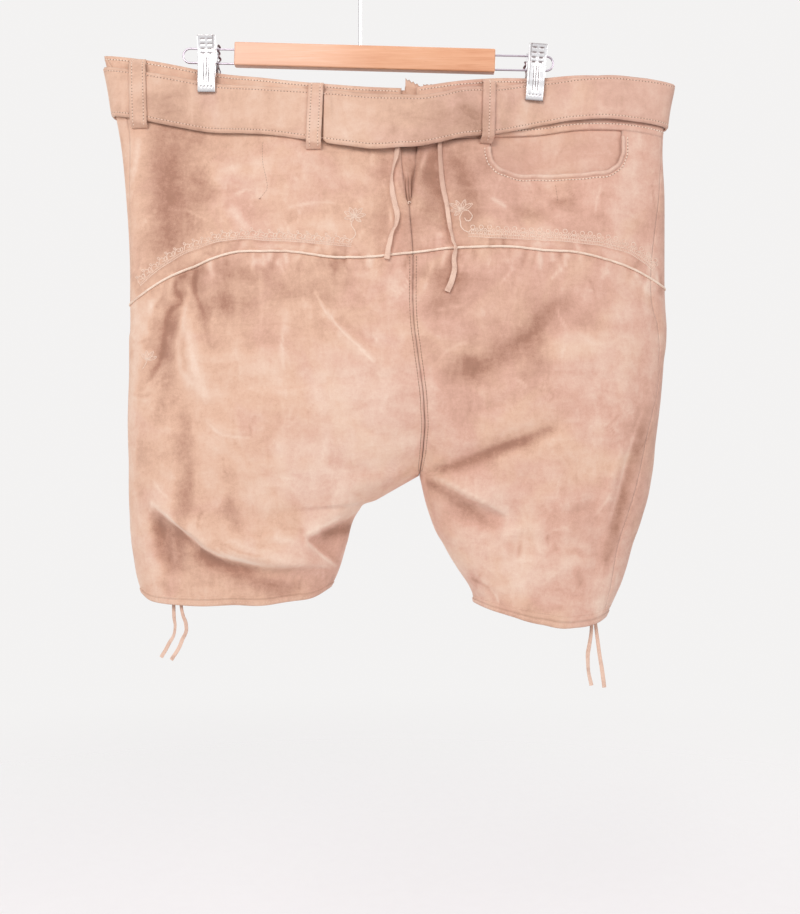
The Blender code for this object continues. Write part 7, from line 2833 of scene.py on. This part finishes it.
@dataclass
class Hanger:
    """The wooden bar, its two hairpin wires, the clips and the hook."""

    bench: Bench
    tilt: float = math.radians(1.55)
    bar_length: float = 268.0
    bar_height: float = 24.0
    bar_depth: float = 11.0
    bar_centre: tuple[float, float, float] = (5.0, 0.0, -107.2)
    bar_corner: float = 1.5
    wire_radius: float = 1.05
    wire_spread: float = 7.35
    wire_drop: float = 1.4
    wire_tilt: float = math.radians(1.27)
    hook_radius: float = 19.0
    hook_wire: float = 1.7
    clip_width: float = 18.5
    clip_sheet: float = 1.2
    clip_rounding: float = 1.6
    clip_side_columns: int = 6
    spring: tuple[tuple[float, float, float], ...] = (
        (12.5, 5.0, 9.4), (10.5, 8.0, 10.6), (7.5, 6.0, 9.0), (4.8, 8.0, 10.2), (1.6, 6.0, 9.2),
        (-1.4, 8.0, 11.2), (-3.6, 7.0, 10.2), (-8.4, 7.0, 9.4), (-10.6, 7.0, 9.8), (-15.0, 6.0, 11.2),
        (-18.6, 5.0, 11.0),
    )
    jaw: tuple[tuple[float, float, float], ...] = (
        (15.5, 18.0, 3.0), (8.0, 15.4, 8.0), (0.0, 13.6, 9.6), (-9.0, 13.4, 7.0),
        (-20.0, 14.4, 2.6), (-35.0, 15.4, 2.6), (-41.5, 13.8, 1.4),
    )

    def tilted(self, points: Array, tilt: float) -> Array:
        """Points of the hanger after it has tipped about the bar's middle.

        Args:
            points: rows of x, y, z.
            tilt: the angle in radians.
        Returns:
            The tipped points.
        """
        centre = np.array(self.bar_centre)
        offset = np.asarray(points, float) - centre
        cosine, sine = math.cos(tilt), math.sin(tilt)
        turned = np.stack([offset[..., 0] * cosine + offset[..., 2] * sine, offset[..., 1],
                           -offset[..., 0] * sine + offset[..., 2] * cosine], axis=-1)
        return centre + turned

    def make_bar(self) -> None:
        """The wooden bar with eased corners."""
        shape = bmesh.new()
        bmesh.ops.create_cube(shape, size=1.0)
        bmesh.ops.scale(shape, vec=(self.bar_length * MM, self.bar_depth * MM, self.bar_height * MM),
                        verts=shape.verts)
        bmesh.ops.bevel(shape, geom=shape.edges[:], offset=self.bar_corner * MM, segments=5, profile=0.5,
                        affect="EDGES", material=-1)
        turn = Matrix.Rotation(self.tilt, 3, "Y")
        bmesh.ops.rotate(shape, cent=(0, 0, 0), matrix=turn, verts=shape.verts)
        bmesh.ops.translate(shape, vec=[value * MM for value in self.bar_centre], verts=shape.verts)
        self.bench.finish("bar_wood", shape, self.bench.looks.beech, ("hanger_bar",), "beech", 30.0)

    def make_wires(self) -> None:
        """A hairpin of wire out of each end of the bar."""
        for name, sign, end in (("left", -1.0, -182.0), ("right", 1.0, 199.0)):
            root = self.bar_centre[0] + sign * (self.bar_length / 2.0 + SEAM_GAP)
            bend = end - sign * self.wire_spread
            middle = self.bar_centre[2] - self.wire_drop
            spread = self.wire_spread
            line = [(root, 0.0, middle + spread)]
            line += [(bend + sign * spread * math.sin(turn), 0.0, middle + spread * math.cos(turn))
                     for turn in np.linspace(0.0, math.pi, 25)]
            line += [(root, 0.0, middle - spread)]
            path = self.tilted(np.array(line), self.wire_tilt)
            wire = self.bench.sweep(path, TO_BACK, circle(12) * self.wire_radius)
            self.bench.finish(f"hairpin_{name}", wire, self.bench.looks.wire, (f"hanger_wire_{name}",),
                              "bright_steel")

    def make_hook(self) -> None:
        """The hook, with the inside of its crown at the origin."""
        middle = -(self.hook_radius - self.hook_wire)
        crown = np.array([0.0, 0.0, self.bar_centre[2] + self.bar_height / 2.0])
        top = self.tilted(crown, self.tilt)[2] + SEAM_GAP
        turns = np.radians(-125.0) + np.radians(215.0) * np.linspace(0.0, 1.0, 49)
        line = [(self.hook_radius * math.sin(turn), 0.0, middle + self.hook_radius * math.cos(turn))
                for turn in turns]
        reach, _, neck = line[-1]
        stops = [(reach, neck), (reach * 0.86, neck - 3.64), (reach * 0.5, neck - 13.0),
                 (reach * 0.16, neck - 21.84), (0.0, neck - 28.0)]
        line += [(x, 0.0, z) for x, z in smooth_route(stops, 1.8)[1:]]
        line += [(0.0, 0.0, top)]
        path = np.array(line)
        hook = self.bench.sweep(path, TO_BACK, circle(12) * self.hook_wire)
        self.bench.finish("hook_wire", hook, self.bench.looks.hook, ("hanger_hook",), "bright_steel")

    def jaw_points(self, clip: ClipPlan, sign: float) -> tuple[Array, Array]:
        """The outer face of one jaw: pressed sheet with ribs, flutes and a lip.

        Args:
            clip: the clip.
            sign: -1 for the jaw on the back, 1 for the one on the front.
        Returns:
            The points and the outward directions.
        """
        heights = [row[0] for row in self.jaw][::-1]
        outer = Profile(heights, [row[1] for row in self.jaw][::-1])
        flange = Profile(heights, [row[2] for row in self.jaw][::-1])
        z = np.linspace(heights[-1], heights[0], 86)
        half = self.clip_width / 2.0
        rounding, beside = self.clip_rounding, self.clip_side_columns
        face = np.linspace(-half + rounding, half - rounding, 49)
        bend = np.linspace(0.0, math.pi / 2.0, 6)[1:-1]
        depth = np.linspace(1.0, 0.0, beside)
        x_left = np.concatenate([np.full(beside, -half), -half + rounding * (1.0 - np.cos(bend))])
        x = np.concatenate([x_left, face, -x_left[::-1]])
        bend_in = rounding * (1.0 - np.sin(bend))
        points = np.zeros((len(z), len(x), 3))
        outward = np.zeros_like(points)
        for row, height in enumerate(z):
            side_in = rounding + depth * max(float(flange(height)) - rounding, 0.05)
            inset_left = np.concatenate([side_in, bend_in])
            inset = np.concatenate([inset_left, np.zeros(len(face)), inset_left[::-1]])
            pressed = self.pressing(x, height) * (np.abs(x) < half - rounding * 0.5)
            points[row, :, 0] = clip.x + x
            points[row, :, 1] = sign * (float(outer(height)) - inset + pressed)
            points[row, :, 2] = clip.z_wire + height
            outward[row, :, 0] = np.where(np.abs(x) > half - 0.5, np.sign(x), 0.0)
            outward[row, :, 1] = sign * np.where(np.abs(x) > half - 0.5, 0.0, 1.0)
        angle = math.radians(clip.lean)
        offset = points[..., [0, 2]] - np.array([clip.x, clip.z_wire])
        points[..., 0] = clip.x + offset[..., 0] * math.cos(angle) + offset[..., 1] * math.sin(angle)
        points[..., 2] = clip.z_wire - offset[..., 0] * math.sin(angle) + offset[..., 1] * math.cos(angle)
        return points, outward

    @staticmethod
    def pressing(x: Array, height: float) -> Array:
        """How far the pressed pattern stands out of a jaw's face.

        Args:
            x: places over the jaw's width, from its middle.
            height: their height over the wire.
        Returns:
            Heights in millimetres, less than 0 where it is pressed in.
        """
        total = np.zeros_like(x)
        for column in (-3.6, 3.6):
            wide = np.exp(-((x - column) / 2.6) ** 4)
            for row in (11.9, 7.2, 2.7, -1.7):
                total -= 0.5 * wide * math.exp(-((height - row) / 0.75) ** 2)
        flute_span = 1.0 / (1.0 + math.exp((height + 4.6) * 2.0)) / (1.0 + math.exp((-height - 33.0) * 2.0))
        for column in (-2.6, 0.0, 2.6):
            total -= 0.45 * flute_span * np.exp(-((x - column) / 0.45) ** 2)
        for column in (-5.4, -1.8, 1.8, 5.4):
            total -= 0.5 * math.exp(-((height + 36.2) / 0.7) ** 2) * np.exp(-((x - column) / 0.8) ** 2)
        return total

    def make_clips(self) -> None:
        """Two sprung clips, each of two pressed jaws."""
        for clip in CLIPS:
            for name, sign in (("back", -1.0), ("front", 1.0)):
                points, outward = self.jaw_points(clip, sign)
                piece = self.bench.finish(f"clip_{clip.name}_{name}_plate", self.bench.lay(points, outward),
                                          self.bench.looks.steel, (f"clip_{clip.name}_jaw_{name}",),
                                          "bright_steel", 35.0)
                # Painted shade and dark reflection on the jaw's face.
                self.bench.mark(piece, self.jaw_painted_shade(points.shape[:2], clip))
                self.bench.wall(piece, self.clip_sheet)
            self.make_spring(clip)

    def jaw_painted_shade(self, shape: tuple[int, int], clip: ClipPlan) -> Array:
        """How much painted shade and dark reflection lies in a jaw's pressed pattern, along its top and
        bottom edges and in a line near one side.

        Args:
            shape: the table's rows and columns.
            clip: the clip.
        Returns:
            A value from 0 to 1 for each place.
        """
        rows, columns = shape
        half = self.clip_width / 2.0
        edge = np.full(self.clip_side_columns + 4, half)
        reach = half - self.clip_rounding
        x = np.concatenate([-edge, np.linspace(-reach, reach, columns - 2 * len(edge)), edge])
        shaded = 0.5 * np.exp(-((x + math.copysign(6.9, clip.x)) / 0.6) ** 2)
        dark = np.zeros(shape)
        for row, height in enumerate(np.linspace(self.jaw[0][0], self.jaw[-1][0], rows)):
            dark[row] = np.clip(-self.pressing(x, height) * 2.0, 0.0, 1.0)
            dark[row] += 0.6 * math.exp(-((height - self.jaw[0][0]) / 0.9) ** 2)
            dark[row] += 0.7 * math.exp(-((height - self.jaw[-1][0]) / 1.3) ** 2)
            dark[row] = dark[row] * clip.darker_share + shaded * (height > -26.0)
        return np.clip(dark, 0.0, 0.92)

    def make_spring(self, clip: ClipPlan) -> None:
        """The bent spring that shows between the jaws on the side towards the bar.

        Args:
            clip: the clip.
        """
        near = -math.copysign(1.0, clip.x)
        route = smooth_route(self.spring[clip.spring_from:clip.spring_to], 0.6)
        path = np.array([(clip.x + near * out, y, clip.z_wire + z) for z, y, out in route])
        thick = 0.65 + 0.6 * smooth_step((route[:, 0] + 4.0) / 3.0)
        spring = self.bench.sweep(path, np.array([near, 0.0, 0.0]), circle(8) * thick[:, None, None])
        piece = self.bench.finish(
            f"clip_{clip.name}_spring", spring, self.bench.looks.wire, slot="bright_steel")
        self.bench.mark_near(piece, path, np.full(len(path), 0.8))

    def build(self) -> None:
        """Make the hanger."""
        self.make_bar()
        self.make_wires()
        self.make_hook()
        self.make_clips()


# --- studio

@dataclass
class Studio:
    """Camera, soft lights, a pale surround and the floor."""

    place: tuple[float, float, float] = (0.0412, -1.2264, -0.5178)
    lens: float = 46.9
    floor_level: float = -1.25
    floor_radius: float = 2.6
    surround: Colour = (0.90, 0.89, 0.885)
    ambient: float = 0.42

    def make_camera(self) -> None:
        """A level camera behind the garment."""
        data = bpy.data.cameras.new("camera")
        data.sensor_fit = "VERTICAL"
        data.sensor_height = 36.0
        data.lens = self.lens
        camera = bpy.data.objects.new("camera", data)
        camera.location = self.place
        camera.rotation_euler = (math.radians(90.0), 0.0, 0.0)
        bpy.context.scene.collection.objects.link(camera)
        bpy.context.scene.camera = camera

    def make_light(self, name: str, spot: tuple[float, float, float], size: float, power: float,
                   colour: Colour = (1.0, 1.0, 1.0)) -> None:
        """A square soft light that faces the garment.

        Args:
            name: its name.
            spot: where it stands, in metres.
            size: its side in metres.
            power: in watts.
            colour: its colour.
        """
        data = bpy.data.lights.new(name, "AREA")
        data.shape = "SQUARE"
        data.size = size
        data.energy = power
        data.color = colour
        lamp = bpy.data.objects.new(name, data)
        lamp.location = spot
        aim = Vector((0.03, 0.0, -0.42)) - Vector(spot)
        lamp.rotation_euler = aim.to_track_quat("-Z", "Y").to_euler()
        bpy.context.scene.collection.objects.link(lamp)

    def make_surround(self) -> None:
        """A pale world that lights softly and shows as a plain backdrop."""
        world = bpy.data.worlds.new("surround")
        world.use_nodes = True
        tree = world.node_tree
        tree.nodes.clear()
        output = tree.nodes.new("ShaderNodeOutputWorld")
        blend = tree.nodes.new("ShaderNodeMixShader")
        rays = tree.nodes.new("ShaderNodeLightPath")
        shown = tree.nodes.new("ShaderNodeBackground")
        shown.inputs["Color"].default_value = (*self.surround, 1.0)
        soft = tree.nodes.new("ShaderNodeBackground")
        soft.inputs["Color"].default_value = (0.98, 0.98, 1.0, 1.0)
        soft.inputs["Strength"].default_value = self.ambient
        either = tree.nodes.new("ShaderNodeMath")
        either.operation = "MAXIMUM"
        tree.links.new(rays.outputs["Is Camera Ray"], either.inputs[0])
        tree.links.new(rays.outputs["Is Glossy Ray"], either.inputs[1])
        tree.links.new(either.outputs[0], blend.inputs[0])
        tree.links.new(soft.outputs[0], blend.inputs[1])
        tree.links.new(shown.outputs[0], blend.inputs[2])
        tree.links.new(blend.outputs[0], output.inputs["Surface"])
        bpy.context.scene.world = world

    def make_floor(self) -> None:
        """A plain pale floor that fades out at its rim."""
        shape = bmesh.new()
        bmesh.ops.create_circle(shape, cap_ends=True, segments=96, radius=self.floor_radius)
        bmesh.ops.translate(shape, vec=(0.0, 0.0, self.floor_level), verts=shape.verts)
        mesh = bpy.data.meshes.new("floor")
        shape.to_mesh(mesh)
        shape.free()
        paint = Paint("floor_paint")
        mapped = Wire(paint, paint.node("ShaderNodeMapping", {}, {
            "Vector": paint.place(), "Scale": (1.0, 1.0, 0.0)}).outputs["Vector"])
        length = paint.node("ShaderNodeVectorMath", {"operation": "LENGTH"}, {0: mapped})
        reach = Wire(paint, length.outputs["Value"])
        fade = 1.0 - reach.eased(self.floor_radius * 0.2, self.floor_radius * 0.97)
        speck = paint.noise(0.02, 2.0)
        colour = paint.mix((0.93, 0.90, 0.905), (0.95, 0.925, 0.93), speck)
        mesh.materials.append(paint.finish(
            base_color=colour, roughness=0.9, alpha=fade, specular_ior_level=0.1))
        floor = bpy.data.objects.new("floor", mesh)
        bpy.context.scene.collection.objects.link(floor)

    def build(self) -> None:
        """Set up the studio."""
        self.make_camera()
        self.make_surround()
        self.make_floor()
        self.make_light("key", (-0.8, -2.1, 0.72), 1.2, 29.0, (1.0, 0.985, 0.975))
        self.make_light("side", (-2.3, -0.1, -0.1), 0.9, 7.0, (1.0, 0.99, 0.98))
        self.make_light("fill", (1.5, -2.0, 0.2), 1.5, 16.0, (0.98, 0.98, 1.0))
        self.make_light("back_key", (1.4, 2.0, 0.6), 1.5, 26.0, (1.0, 0.99, 0.98))
        self.make_light("back_fill", (-1.8, 1.6, -0.2), 1.5, 9.0)
        self.make_light("top", (0.0, 0.0, 1.7), 1.5, 8.0)
        bpy.context.scene.view_settings.view_transform = "Standard"
        bpy.context.scene.view_settings.look = "None"


def dress_kept_nodes(bench: Bench) -> None:
    """Give the CAD nodes that stay their finish.

    Args:
        bench: the bench, which knows the finishes.
    """
    kept = {"flap_button_1": bench.looks.horn, "flap_button_2": bench.looks.horn,
            "clip_left_pivot": bench.looks.steel, "clip_right_pivot": bench.looks.steel}
    for name, look in kept.items():
        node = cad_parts[name]
        node.material_slots[0].material = look
        LOG.info("%s: kept, in %s", name, look.name)


def main() -> None:
    """Build the object and its studio."""
    logging.basicConfig(level=logging.INFO, format="%(name)s %(message)s")
    Studio().build()
    bench = Bench(Shell(), Looks())
    Laces(bench).build()
    sewing = Sewing(bench)
    Trousers(bench, sewing).build()
    Belt(bench, sewing).build()
    Front(bench, sewing).build()
    sewing.sew(HOLES, bench.looks.hole, "belt_suede")
    Embroidery(bench).build()
    Hanger(bench).build()
    dress_kept_nodes(bench)


if __name__ == "__main__":
    main()
